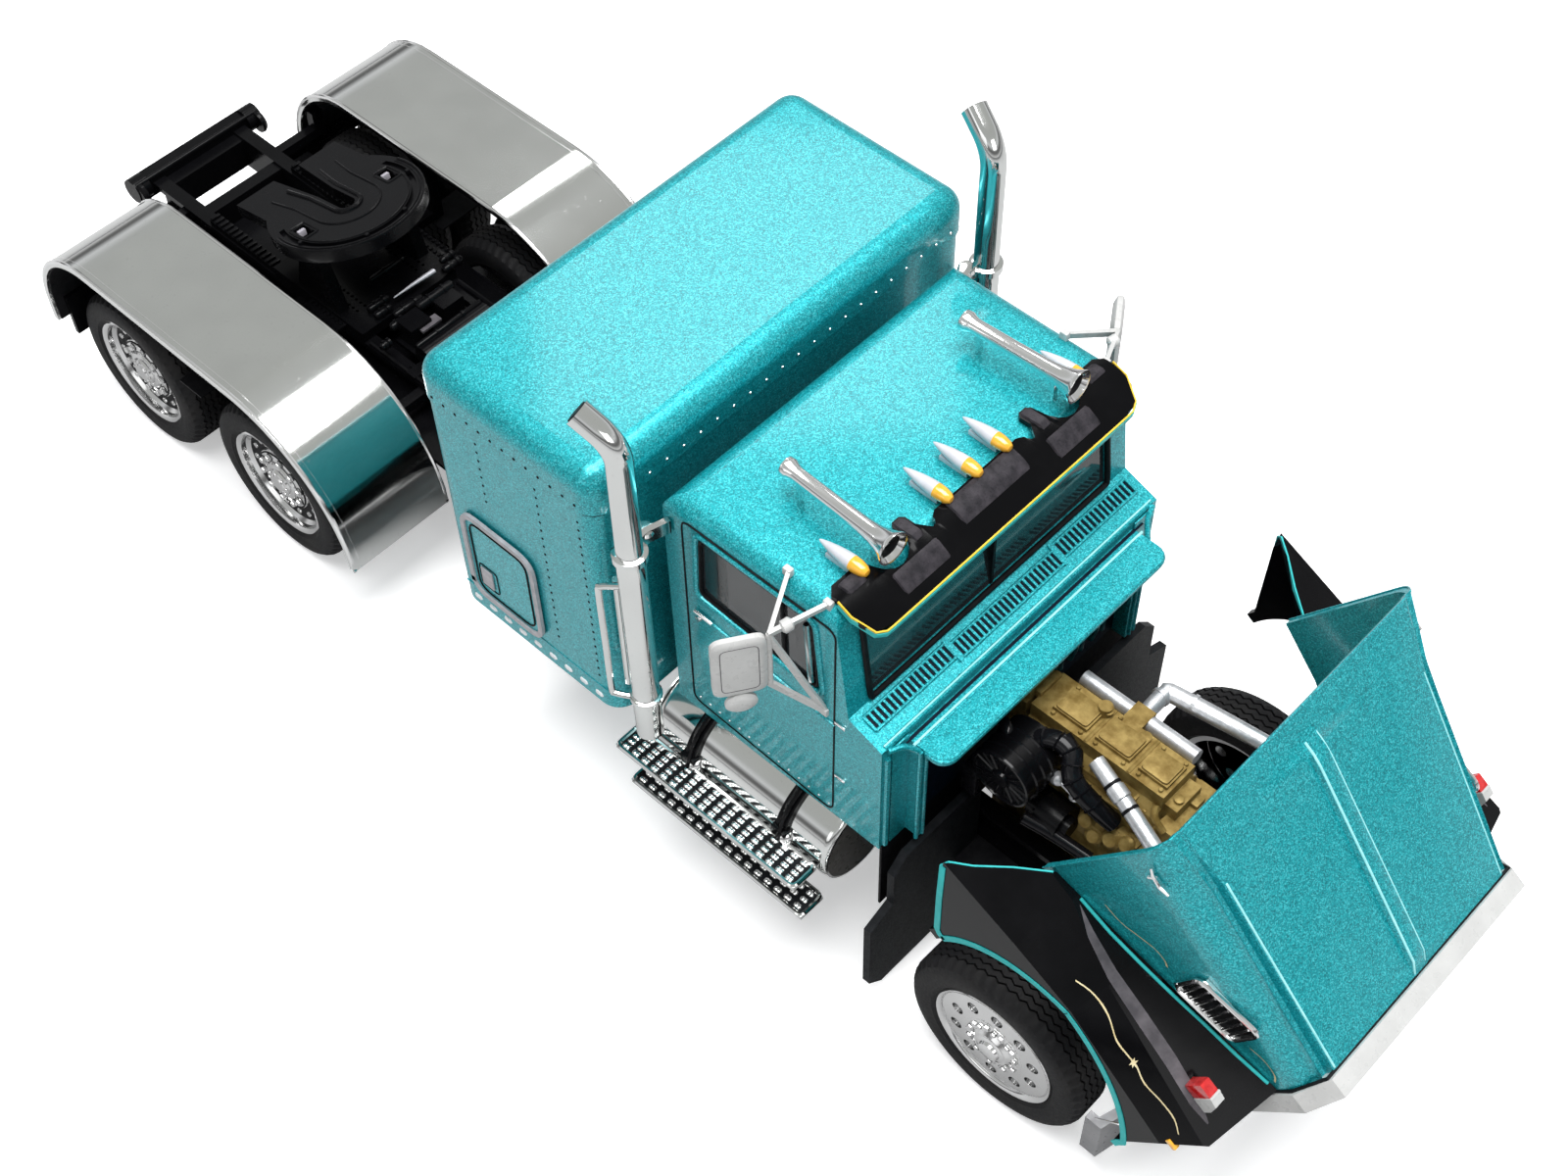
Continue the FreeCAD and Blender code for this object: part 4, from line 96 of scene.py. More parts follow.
class Finish:
    """A node tree of a material or a world, built with expressions."""

    def __init__(self, name, owner=None):
        self.owner = owner or bpy.data.materials.new(name)
        self.owner.use_nodes = True
        self.tree = self.owner.node_tree
        self.tree.nodes.clear()

    def node(self, kind, settings=None, *values, out=0, **named):
        """Adds a node: its settings first, then the values or links of its sockets."""
        node = self.tree.nodes.new(kind)
        for word, setting in (settings or {}).items():
            if word == "stops":
                self.ramp_stops(node.color_ramp, setting)
            else:
                setattr(node, word, setting)
        for key, value in list(enumerate(values)) + list(named.items()):
            socket = node.inputs[key if isinstance(key, int) else key.replace("_", " ")]
            if isinstance(value, Value):
                self.tree.links.new(value.socket, socket)
            elif value is not None:
                socket.default_value = value
        return Value(self, node.outputs[out]) if node.outputs else None

    @staticmethod
    def ramp_stops(ramp, stops):
        """Sets a colour ramp to (place, colour) stops."""
        while len(ramp.elements) < len(stops):
            ramp.elements.new(1.0)
        for element, (place, colour) in zip(ramp.elements, stops):
            element.position = place
            element.color = (*colour, 1.0)

    def rays(self, *kinds):
        """Masks of one Light Path node."""
        path = self.tree.nodes.new("ShaderNodeLightPath")
        return [Value(self, path.outputs["Is %s Ray" % kind]) for kind in kinds]

    def place(self):
        return self.node("ShaderNodeTexCoord", out="Object")

    def noise(self, size, detail=2.0, rough=0.5, out=0):
        """Noise whose lumps are about this many millimetres."""
        return self.node("ShaderNodeTexNoise", None, out=out, Vector=self.place(),
                         Scale=1.0 / (size * MM), Detail=detail, Roughness=rough)

    def grains(self, size, out="Distance"):
        """Round cells about this many millimetres across."""
        return self.node("ShaderNodeTexVoronoi", None, out=out, Vector=self.place(),
                         Scale=1.0 / (size * MM))

    def ramp(self, value, *stops):
        return self.node("ShaderNodeValToRGB", {"stops": stops}, value)

    def fit(self, value, low, high, to_low=0.0, to_high=1.0):
        return self.node("ShaderNodeMapRange", None, value, low, high, to_low, to_high)

    def mix(self, mask, first, second):
        node = self.tree.nodes.new("ShaderNodeMix")
        node.data_type = "RGBA"
        for key, value in (("Factor_Float", mask), ("A_Color", first), ("B_Color", second)):
            socket = next(item for item in node.inputs if item.identifier == key)
            if isinstance(value, Value):
                self.tree.links.new(value.socket, socket)
            elif key == "Factor_Float":
                socket.default_value = value
            else:
                socket.default_value = (*value, 1.0)
        return Value(self, next(o for o in node.outputs if o.identifier == "Result_Color"))

    def bump(self, height, depth, strength=1.0):
        """Normal from a height whose full range is this many millimetres."""
        return self.node("ShaderNodeBump", None, Strength=strength, Distance=depth * MM,
                         Height=height)

    def surface(self, colour, **sockets):
        """Ends the material; the words name the surface's own sockets."""
        shader = self.node("ShaderNodeBsdfPrincipled", None, colour, **sockets)
        self.node("ShaderNodeOutputMaterial", None, shader)
        return self.owner


# Finishes: each function makes one material

def paint(name, deep, bright, flake):
    """Metallic paint: flakes under a clear coat, each catching the light its own way, and some
    flakes painted as bright glints.
    """
    f = Finish(name)
    cells = f.grains(flake, out="Color")
    spark = f.fit(cells, 0.0, 1.0, 0.0, 1.0)
    cloud = f.noise(flake * 2.6, 2.0)
    tone = f.fit(spark * 0.75 + cloud * 0.3, 0.25, 0.8)
    lift = f.bump(spark, flake * 0.05, 0.5)
    orange_peel = f.noise(1.6, 1.0)
    # painted glint: a share of the flakes painted pale and bright as the highlights they catch
    painted_glint = f.fit(cells, 0.66, 0.82, 0.0, 0.45)
    colour = f.mix(painted_glint, f.mix(tone, deep, bright), tuple(0.12 + 1.1 * c for c in bright))
    return f.surface(colour, Metallic=0.5,
                     Roughness=f.fit(orange_peel, 0.3, 0.7, 0.36, 0.42),
                     Coat_Weight=0.4, Coat_Roughness=0.09, Normal=lift)


def chrome(name, tint=(0.72, 0.73, 0.72), rough=0.09):
    """Vacuum-plated plastic: bright, with faint waves and a few dull specks."""
    f = Finish(name)
    waves = f.noise(5.0, 1.0)
    specks = f.noise(0.5, 3.0, 0.7)
    dull = f.fit(specks, 0.62, 0.75)
    shade = f.mix(f.fit(waves, 0.35, 0.65), tuple(0.95 * c for c in tint), tint)
    return f.surface(f.mix(dull * 0.5, shade, tuple(0.82 * c for c in tint)), Metallic=1.0,
                     Roughness=f.fit(dull, 0.0, 1.0, rough, rough + 0.12),
                     Normal=f.bump(waves, 0.02, 0.12))


def gloss_black(name, shade=(0.0025, 0.0025, 0.003), rough=0.2, coat=0.06):
    """Moulded or painted gloss black with slight unevenness and soft dust."""
    f = Finish(name)
    skin = f.noise(1.2, 3.0)
    dust = f.noise(7.0, 4.0, 0.65)
    colour = f.mix(f.fit(dust, 0.45, 0.8) * 0.5, shade, tuple(c * 2 + 0.0015 for c in shade))
    return f.surface(colour, Roughness=f.fit(dust, 0.3, 0.8, rough, rough + 0.12),
                     Specular_IOR_Level=0.09, Coat_Weight=coat, Coat_Roughness=0.08,
                     Normal=f.bump(skin, 0.012, 0.3))


def rubber(name):
    """Soft black tyre plastic, slightly dusty on its high spots."""
    f = Finish(name)
    grit = f.noise(0.25, 4.0, 0.7)
    bloom = f.noise(4.0, 3.0)
    colour = f.mix(f.fit(bloom, 0.4, 0.75), (0.008, 0.008, 0.009), (0.018, 0.017, 0.017))
    return f.surface(colour, Roughness=f.fit(grit, 0.3, 0.7, 0.55, 0.72),
                     Specular_IOR_Level=0.2,
                     Normal=f.bump(grit, 0.02, 0.4))


def tinted_glass(name):
    """Smoked clear plastic panes."""
    f = Finish(name)
    haze = f.noise(6.0, 3.0)
    colour = f.mix(f.fit(haze, 0.35, 0.7), (0.018, 0.021, 0.024), (0.04, 0.045, 0.05))
    return f.surface(colour, Roughness=f.fit(haze, 0.3, 0.7, 0.05, 0.11), Alpha=0.72,
                     Coat_Weight=0.6, Coat_Roughness=0.04)


def satin(name, shade, light, rough=0.5, metal=0.0, lumps=0.9, depth=0.03):
    """Painted or moulded satin plastic with soft mottling."""
    f = Finish(name)
    mottle = f.noise(lumps, 4.0, 0.6)
    fine = f.noise(lumps * 0.2, 3.0)
    colour = f.mix(f.fit(mottle, 0.35, 0.7), shade, light)
    return f.surface(colour, Roughness=f.fit(fine, 0.3, 0.7, rough - 0.06, rough + 0.08),
                     Specular_IOR_Level=0.1, Metallic=metal, Normal=f.bump(fine, depth, 0.35))


def lens(name, shade, glow, rough=0.16):
    """Clear painted lamp lens."""
    f = Finish(name)
    ripple = f.noise(0.4, 2.0)
    colour = f.mix(f.fit(ripple, 0.3, 0.7), shade, glow)
    return f.surface(colour, Roughness=rough, Coat_Weight=0.8, Coat_Roughness=0.05,
                     Normal=f.bump(ripple, 0.01, 0.3))


FINISHES = {}
# Slots of the finishes that the part's own list doesn't name
# Each finish but the paint: its maker, then the maker's own values
LOOKS = {
    "teal_stripe": (satin, (0.03, 0.42, 0.42), (0.05, 0.5, 0.49), 0.4),
    # a shaded copy of the teal paint: painted shade
    "teal_deep": (satin, (0.002, 0.05, 0.065), (0.006, 0.11, 0.13), 0.32),
    # a lit copy of the teal paint: painted highlight
    "teal_bright": (satin, (0.28, 0.72, 0.74), (0.42, 0.85, 0.86), 0.3),
    "black_paint": (gloss_black, (0.002, 0.002, 0.0025), 0.14, 0.04),
    "chassis_black": (gloss_black,),
    "gloss_rubber": (gloss_black, (0.004, 0.004, 0.005), 0.2, 0.3),
    "panel_black": (satin, (0.004, 0.004, 0.005), (0.009, 0.009, 0.01), 0.5),
    # navy black sheets that stand as painted shade
    "navy_black": (satin, (0.002, 0.005, 0.012), (0.004, 0.011, 0.024), 0.4),
    "pad_black": (satin, (0.02, 0.019, 0.022), (0.05, 0.045, 0.052), 0.3),
    "dark_recess": (satin, (0.004, 0.005, 0.006), (0.012, 0.013, 0.015), 0.5),
    "interior": (satin, (0.012, 0.012, 0.014), (0.03, 0.03, 0.034), 0.55),
    # also the painted sheen along the front fenders' crease
    "band_grey": (satin, (0.06, 0.056, 0.062), (0.12, 0.11, 0.12), 0.4, 0.0, 1.6, 0.02),
    "link_grey": (satin, (0.3, 0.29, 0.32), (0.42, 0.4, 0.44), 0.4),
    "pink_trim": (satin, (0.36, 0.36, 0.38), (0.5, 0.48, 0.5), 0.4),
    "pearl_chrome": (satin, (0.5, 0.5, 0.49), (0.57, 0.57, 0.56), 0.3, 0.1, 3.0, 0.01),
    "bumper_grey": (satin, (0.3, 0.3, 0.31), (0.4, 0.4, 0.41), 0.32, 0.5, 2.5, 0.01),
    "tank_grey": (satin, (0.07, 0.067, 0.062), (0.1, 0.096, 0.09), 0.3, 0.2, 3.0, 0.01),
    "pipe_silver": (satin, (0.5, 0.51, 0.53), (0.72, 0.73, 0.75), 0.34, 0.75, 0.7, 0.04),
    "lamp_silver": (satin, (0.62, 0.62, 0.66), (0.72, 0.72, 0.76), 0.34, 0.3, 1.5, 0.01),
    "engine_gold": (satin, (0.17, 0.11, 0.03), (0.34, 0.245, 0.085), 0.38, 0.25, 1.1, 0.05),
    "gold_shade": (satin, (0.07, 0.04, 0.01), (0.14, 0.09, 0.03), 0.5),
    "gold_line": (satin, (0.62, 0.5, 0.26), (0.75, 0.66, 0.42), 0.4),
    "yellow_line": (satin, (0.72, 0.46, 0.04), (0.82, 0.55, 0.07), 0.4),
    "chrome": (chrome,),
    "bright_chrome": (chrome, (0.84, 0.84, 0.84), 0.13),
    "wheel_chrome": (chrome, (0.7, 0.7, 0.7), 0.14),
    "axle_steel": (chrome, (0.6, 0.6, 0.61), 0.25),
    "tyre_rubber": (rubber,),
    "tinted_glass": (tinted_glass,),
    "amber": (lens, (0.78, 0.36, 0.02), (0.86, 0.45, 0.04)),
    "red_lens": (lens, (0.42, 0.006, 0.008), (0.6, 0.02, 0.02)),
    "clear_lens": (lens, (0.72, 0.73, 0.76), (0.88, 0.88, 0.9)),
    "white_dot": (lens, (0.8, 0.84, 0.86), (0.9, 0.93, 0.94)),
}


def finish(name):
    """The material of that name, made on first use."""
    if name not in FINISHES:
        if name == "teal_paint":
            look = bpy.context.scene.tractor_look
            FINISHES[name] = paint(name, look.paint_deep, look.paint_bright, look.flake)
        else:
            maker, *values = LOOKS[name]
            FINISHES[name] = maker(name, *values)
    return FINISHES[name]


# Forms: joined meshes in millimetres

class Form:
    """Points and faces gathered in millimetres, x from the front axle, then made one piece."""

    def __init__(self):
        self.points = []
        self.faces = []

    def add(self, points, faces):
        start = len(self.points)
        self.points += [tuple(p) for p in points]
        self.faces += [tuple(start + i for i in face) for face in faces]
        return self

    def grid(self, rows, closed=False, capped=False):
        """Quads between rows of points; closed joins each row's ends."""
        wide = len(rows[0])
        points = [p for row in rows for p in row]
        faces = []
        for r in range(len(rows) - 1):
            for c in range(wide if closed else wide - 1):
                d = (c + 1) % wide
                faces.append((r * wide + c, r * wide + d, (r + 1) * wide + d, (r + 1) * wide + c))
        if capped:
            faces.append(tuple(reversed(range(wide))))
            faces.append(tuple((len(rows) - 1) * wide + c for c in range(wide)))
        return self.add(points, faces)

    def block(self, low, high, chamfer=0.0):
        """Box with chamfered edges."""
        mesh = bmesh.new()
        bmesh.ops.create_cube(mesh, size=1.0)
        for vertex in mesh.verts:
            vertex.co = Vector((low[i] if vertex.co[i] < 0 else high[i]) for i in range(3))
        if chamfer:
            bmesh.ops.bevel(mesh, geom=list(mesh.edges), offset=chamfer, segments=2,
                            profile=0.7, affect="EDGES")
        return self.take(mesh)

    def take(self, mesh):
        """Takes in a bmesh and frees it."""
        mesh.verts.index_update()
        points = [vertex.co.copy() for vertex in mesh.verts]
        faces = [[vertex.index for vertex in face.verts] for face in mesh.faces]
        mesh.free()
        return self.add(points, faces)

    def lathe(self, profile, origin, axis, steps=32, capped=True):
        """Profile of (along, radius) points turned about an axis through origin."""
        origin, axis = Vector(origin), Vector(axis).normalized()
        side = axis.orthogonal().normalized()
        up = axis.cross(side)
        spokes = [math.cos(math.tau * i / steps) * side + math.sin(math.tau * i / steps) * up
                  for i in range(steps)]
        rows = [[origin + axis * along + spoke * max(radius, 1e-4) for spoke in spokes]
                for along, radius in profile]
        return self.grid(rows, closed=True, capped=capped)

    def tube(self, path, radius, steps=14, flat=1.0):
        """Round or flattened bar along a path of points, mitred at its turns."""
        path = [Vector(p) for p in path]
        radii = radius if hasattr(radius, "__len__") else [radius] * len(path)
        ahead = (path[1] - path[0]).normalized()
        side = ahead.orthogonal().normalized()
        rows = []
        for i, point in enumerate(path):
            before = (point - path[max(i - 1, 0)])
            after = (path[min(i + 1, len(path) - 1)] - point)
            along = (before.normalized() + after.normalized()).normalized()
            side = (side - along * side.dot(along)).normalized()
            up = along.cross(side)
            rows.append([point + (math.cos(angle) * side + math.sin(angle) * up * flat) * radii[i]
                         for angle in (math.tau * k / steps for k in range(steps))])
        return self.grid(rows, closed=True, capped=True)

    def cross(self, x, half, z, radius, steps=8):
        """Round bar across the truck."""
        return self.tube([(x, -half, z), (x, half, z)], radius, steps)

    def plate(self, outline, low, high, axis, chamfer=0.0):
        """Outline of (u, v) points given thickness along an axis, x, y or z."""
        lay = {"x": lambda u, v, w: (w, u, v), "y": lambda u, v, w: (u, w, v),
               "z": lambda u, v, w: (u, v, w)}[axis]
        mesh = bmesh.new()
        near, far = ([mesh.verts.new(lay(u, v, w)) for u, v in outline] for w in (low, high))
        rims = [edge for ring in (near, far) for edge in mesh.faces.new(ring).edges]
        for i in range(len(outline)):
            mesh.faces.new((near[i - 1], near[i], far[i], far[i - 1]))
        bmesh.ops.recalc_face_normals(mesh, faces=list(mesh.faces))
        if chamfer:
            bmesh.ops.bevel(mesh, geom=rims, offset=chamfer, segments=2, profile=0.7,
                            affect="EDGES")
        return self.take(mesh)

    def ribbon(self, path, across, wide, thick):
        """Flat band along a path; across is the direction of its width."""
        path = [Vector(p) for p in path]
        rows = []
        for i, point in enumerate(path):
            along = (path[min(i + 1, len(path) - 1)] - path[max(i - 1, 0)]).normalized()
            side = Vector(across[i] if hasattr(across[0], "__len__") else across)
            side = (side - along * side.dot(along)).normalized() * wide / 2
            up = along.cross(side).normalized() * thick / 2
            rows.append([point - side - up, point + side - up, point + side + up,
                         point - side + up])
        return self.grid(rows, closed=True, capped=True)

    def dome(self, centre, axis, radius, height, steps=10):
        """Low round head, such as a rivet, standing along an axis."""
        rows = [(0.0, radius), (height * 0.55, radius * 0.86), (height * 0.9, radius * 0.5),
                (height, 0.0)]
        return self.lathe(rows, centre, axis, steps)

    def nut(self, centre, axis, radius, height, steps=6):
        """Hexagon head with a slight chamfer."""
        return self.lathe([(0.0, radius), (height * 0.75, radius), (height, radius * 0.78)],
                          centre, axis, steps)

    def piece(self, name, look, body="chassis", matrix=None, replaces=(), smooth=35.0):
        """Makes the form one object that rides on a body and wears a finish."""
        mesh = bpy.data.meshes.new(name)
        points = [Vector(p) for p in self.points]
        if matrix is not None:
            points = [matrix @ p for p in points]
        mesh.from_pydata([((p.x + AXLE_X) * MM, p.y * MM, p.z * MM) for p in points], [],
                         self.faces)
        tidy = bmesh.new()
        tidy.from_mesh(mesh)
        bmesh.ops.remove_doubles(tidy, verts=list(tidy.verts), dist=0.0015 * MM)
        bmesh.ops.recalc_face_normals(tidy, faces=list(tidy.faces))
        tidy.to_mesh(mesh)
        tidy.free()
        mesh.polygons.foreach_set("use_smooth", [True] * len(mesh.polygons))
        mesh.set_sharp_from_angle(angle=math.radians(smooth))
        mesh.materials.append(finish(look))
        thing = bpy.data.objects.new(name, mesh)
        bpy.context.scene.collection.objects.link(thing)
        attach(thing, body)
        if replaces:
            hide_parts(*replaces)
        return thing


def forms(count):
    """That many empty forms, for the looks of one step."""
    return [Form() for _ in range(count)]


def turn_about(place, degrees):
    """Matrix in millimetres that turns about an axis across the truck; positive noses down."""
    centre = Vector(place)
    turn = Matrix.Rotation(math.radians(degrees), 4, "Y")
    return Matrix.Translation(centre) @ turn @ Matrix.Translation(-centre)


def ease(value, stops):
    """Height of a broken line of (place, height) stops, with straight runs."""
    if value <= stops[0][0]:
        return stops[0][1]
    for (x0, y0), (x1, y1) in zip(stops, stops[1:]):
        if value <= x1:
            return y0 + (y1 - y0) * (value - x0) / (x1 - x0)
    return stops[-1][1]


def smooth_path(points, steps=6):
    """Points of a smooth curve through the given ones."""
    points = [Vector(p) for p in points]
    path = []
    last = len(points) - 1
    for i in range(last):
        p0, p1 = points[max(i - 1, 0)], points[i]
        p2, p3 = points[i + 1], points[min(i + 2, last)]
        for k in range(steps):
            t = k / steps
            path.append(0.5 * (2 * p1 + (p2 - p0) * t + (2 * p0 - 5 * p1 + 4 * p2 - p3) * t * t
                               + (3 * p1 - p0 - 3 * p2 + p3) * t ** 3))
    return path + [points[-1]]


def round_outline(points, radius, steps=5):
    """Closed outline of (u, v) points with its corners rounded."""
    outline = []
    count = len(points)
    for i in range(count):
        here = Vector(points[i])
        before = (Vector(points[i - 1]) - here)
        after = (Vector(points[(i + 1) % count]) - here)
        reach = min(radius, before.length * 0.49, after.length * 0.49)
        start, end = here + before.normalized() * reach, here + after.normalized() * reach
        for k in range(steps + 1):
            t = k / steps
            outline.append(tuple(start * (1 - t) ** 2 + here * 2 * t * (1 - t) + end * t * t))
    return outline


def round_box(low, high, radius, steps=5):
    """Closed outline of a rectangle between two (u, v) corners, rounded."""
    (u0, v0), (u1, v1) = low, high
    return round_outline([(u0, v0), (u1, v0), (u1, v1), (u0, v1)], radius, steps)


def corners(one, other):
    """Lowest and highest corner of the box between two opposite ones."""
    return Vector(map(min, one, other)), Vector(map(max, one, other))


def loop(points, extra=2):
    """A closed run of points, with its start repeated."""
    return points + points[:extra]


def upright(points, y):
    """A closed line in a side wall, from its (x, z) points."""
    return [(x, y, z) for x, z in loop(points)]


def at_height(points, z, extra=2):
    """A closed line at one height, from its (x, y) points."""
    return [(x, y, z) for x, y in loop(points, extra)]


# What a user would change

class TractorLook(bpy.types.PropertyGroup):
    paint_deep: FloatVectorProperty(
        name="Paint, deep", description="Colour of the paint between its flakes",
        subtype="COLOR", default=(0.0, 0.18, 0.21), min=0, max=1)
    paint_bright: FloatVectorProperty(
        name="Paint, bright", description="Colour of the paint's flakes",
        subtype="COLOR", default=(0.008, 0.5, 0.56), min=0, max=1)
    flake: FloatProperty(
        name="Flake", description="Size of a flake in millimetres", default=0.08, min=0.02)
    lamp_strength: FloatProperty(
        name="Lamps", description="Strength of the studio lamps", default=1.0, min=0)


# Stage: floor, light and the camera that took the photograph

class TRACTOR_OT_stage(bpy.types.Operator):
    """Floor, soft lamps, pale world and the camera"""
    bl_idname = "tractor.stage"
    bl_label = "Stage"

    camera_azimuth = 44.799
    camera_height = 53.385
    camera_roll = -1.852
    camera_place = (42.630, -82.088, 167.252)
    lens_mm = 51.655
    shift = (0.002684, 0.015481)

    def execute(self, context):
        self.floor()
        self.world(context)
        self.lamps(context)
        self.camera(context)
        view = context.scene.view_settings
        view.view_transform = "Standard"
        return {"FINISHED"}

    def floor(self):
        """White to the camera, plain grey to what it lights and to what mirrors it."""
        half = 3.0
        mesh = bpy.data.meshes.new("studio_floor")
        mesh.from_pydata([(-half, -half, 0), (half, -half, 0), (half, half, 0), (-half, half, 0)],
                         [], [(0, 1, 2, 3)])
        thing = bpy.data.objects.new("studio_floor", mesh)
        bpy.context.scene.collection.objects.link(thing)
        f = Finish("floor_white")
        white = f.mix(f.fit(f.noise(60.0, 2.0), 0.3, 0.7), (0.9, 0.9, 0.9), (0.91, 0.91, 0.91))
        bright = f.node("ShaderNodeBsdfPrincipled", None, white, Roughness=0.9,
                        Emission_Color=(1, 1, 1, 1), Emission_Strength=0.4)
        plain = f.node("ShaderNodeBsdfDiffuse", None, (0.5, 0.5, 0.5, 1))
        straight, through = f.rays("Camera", "Transmission")
        blend = f.node("ShaderNodeMixShader", None, straight + through, plain, bright)
        f.node("ShaderNodeOutputMaterial", None, blend)
        mesh.materials.append(f.owner)

    def world(self, context):
        """White to the camera, soft grey as light, bands of a studio in what mirrors it."""
        context.scene.world = bpy.data.worlds.new("studio_air")
        f = Finish("studio_air", context.scene.world)
        straight, through, glossy = f.rays("Camera", "Transmission", "Glossy")
        seen = straight.maths("MAXIMUM", straight, through)
        direction = f.node("ShaderNodeTexCoord", out="Generated")
        height = f.node("ShaderNodeSeparateXYZ", None, direction, out=2)
        sky = f.ramp(height, (0.0, (0.75, 0.75, 0.75)), (0.12, (0.16, 0.16, 0.16)),
                     (0.2, (0.16, 0.16, 0.16)), (0.34, (0.75, 0.76, 0.77)),
                     (0.5, (0.52, 0.53, 0.52)), (0.8, (0.5, 0.51, 0.49)), (1.0, (0.6, 0.61, 0.6)))
        air = f.mix(glossy, (0.3, 0.31, 0.32), sky)
        shade = f.node("ShaderNodeBackground", None, f.mix(seen, air, (1.0, 1.0, 1.0)))
        f.node("ShaderNodeOutputWorld", None, shade)

    def lamps(self, context):
        strength = context.scene.tractor_look.lamp_strength
        lamps = {
            "lamp_top": ((60, -10, 620), 520, 6.0),
            "lamp_glow": ((-262, 262, 420), 130, 0.22),
            "lamp_front": ((520, -120, 300), 300, 0.5),
            "lamp_side": ((60, -560, 240), 320, 0.2),
        }
        for name, (place, wide, power) in lamps.items():
            light = bpy.data.lights.new(name, "AREA")
            light.shape = "RECTANGLE"
            light.size = wide * MM
            light.size_y = wide * 0.7 * MM
            light.energy = power * strength
            lamp = bpy.data.objects.new(name, light)
            lamp.location = Vector(place) * MM
            lamp.rotation_euler = (Vector((0, 0, 20 * MM)) - lamp.location).to_track_quat(
                "-Z", "Y").to_euler()
            context.scene.collection.objects.link(lamp)

    def camera(self, context):
        azimuth = math.radians(self.camera_azimuth)
        height = math.radians(self.camera_height)
        roll = math.radians(self.camera_roll)
        back = Vector((math.sin(azimuth) * math.cos(height),
                       -math.cos(azimuth) * math.cos(height), math.sin(height)))
        level = Vector((math.cos(azimuth), math.sin(azimuth), 0))
        above = back.cross(level)
        across = math.cos(roll) * level + math.sin(roll) * above
        up = -math.sin(roll) * level + math.cos(roll) * above
        data = bpy.data.cameras.new("camera")
        data.lens = self.lens_mm
        data.sensor_width = 36.0
        data.shift_x, data.shift_y = self.shift
        data.clip_start = 0.005
        camera = bpy.data.objects.new("camera", data)
        place = Vector(self.camera_place) + Vector((AXLE_X, 0, 0))
        turn = Matrix((across, up, back)).transposed().to_4x4()
        camera.matrix_world = Matrix.Translation(place * MM) @ turn
        context.scene.collection.objects.link(camera)
        context.scene.camera = camera


# Finishes of the nodes that stay

NODE_FINISH = {
    "teal_paint": ["sleeper_shell", "cab_shell", "hood_shell", "luggage_doors"],
    "black_paint": ["front_fender_right", "front_fender_left", "sun_visor"],
    "tyre_rubber": ["front_tyres", "mid_tyres", "rear_tyres"],
    "tinted_glass": ["cab_glass"],
    # the cab boot is dark as painted shade in the gap between cab and sleeper
    "interior": ["cab_interior", "steering_wheel", "cab_boot"],
    "engine_gold": ["engine"],
    "pipe_silver": ["charge_pipes"],
    "lamp_silver": ["roof_lamps"],
    "pearl_chrome": ["grille_surround"],
    "bumper_grey": ["front_bumper"],
    "dark_recess": ["splash_panels", "bumper_brackets", "front_suspension"],
    "wheel_chrome": ["front_wheels", "mid_wheels", "rear_wheels"],
    "clear_lens": ["headlamps", "marker_lamps"],
    "axle_steel": ["front_axle_pin", "mid_axle_pin", "rear_axle_pin", "fifth_wheel_pin"],
    "chrome": ["rear_fender_right", "rear_fender_left", "fuel_tank_right", "fuel_tank_left",
               "steps_right", "steps_left", "air_horns", "stack_right", "stack_left",
               "mirror_right", "mirror_left", "grille_bars", "hood_vents"],
}


class TRACTOR_OT_finishes(bpy.types.Operator):
    """Gives every node of the frame its finish"""
    bl_idname = "tractor.finishes"
    bl_label = "Node finishes"

    def execute(self, context):
        chosen = {node: look for look, nodes in NODE_FINISH.items() for node in nodes}
        for name, thing in NODES.items():
            thing.data.materials.clear()
            thing.data.materials.append(finish(chosen.get(name, "chassis_black")))
        return {"FINISHED"}


# Wheels and tyres

MID_X = (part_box("mid_tyres")[0].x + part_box("mid_tyres")[1].x) / 2 / MM - AXLE_X
REAR_X = (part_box("rear_tyres")[0].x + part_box("rear_tyres")[1].x) / 2 / MM - AXLE_X
FRONT_TRACK, DUAL_OUTER, DUAL_INNER = 15.6, 17.1, 11.8
RIM = 5.76


def tyre_form(form, x, middle):
    """Tyre with zigzag grooves round its tread and scalloped shoulders."""
    zigzag = (0, 1, 0, -1)
    steps = 52 * len(zigzag)
    tread, groove, half_groove, sway = 8.43, 0.3, 0.09, 0.13
    wall = [(1.8, RIM), (2.0, 5.98), (2.12, 6.1), (2.12, 6.25), (2.17, 6.6), (2.2, 7.1),
            (2.14, 7.55), (1.98, 7.95)]
    # Each column round the tyre: across, radius, sway of its zigzag, dip of its scallops
    columns = [(-y, r, 0.0, 0.0) for y, r in wall]
    columns += [(-1.72, 8.2, 0.0, 0.2), (-1.45, 8.36, 0.0, 0.12)]
    for centre in (-0.98, -0.33, 0.33, 0.98):
        for share, depth in ((-1, 0), (-0.7, groove), (0.7, groove), (1, 0)):
            columns.append((centre + half_groove * share, tread - depth, sway, 0.0))
    columns += [(1.45, 8.36, 0.0, 0.12), (1.72, 8.2, 0.0, 0.2)]
    columns += [(y, r, 0.0, 0.0) for y, r in reversed(wall)] + columns[:1]
    rows = []
    for y, radius, wander, dip in columns:
        row = []
        for k in range(steps):
            angle = math.tau * k / steps
            r = radius - (dip if k % len(zigzag) < 2 else 0.0)
            row.append((x + r * math.cos(angle), middle + y + wander * zigzag[k % len(zigzag)],
                        TYRE_RADIUS + r * math.sin(angle)))
        rows.append(row)
    form.grid(rows, closed=True)


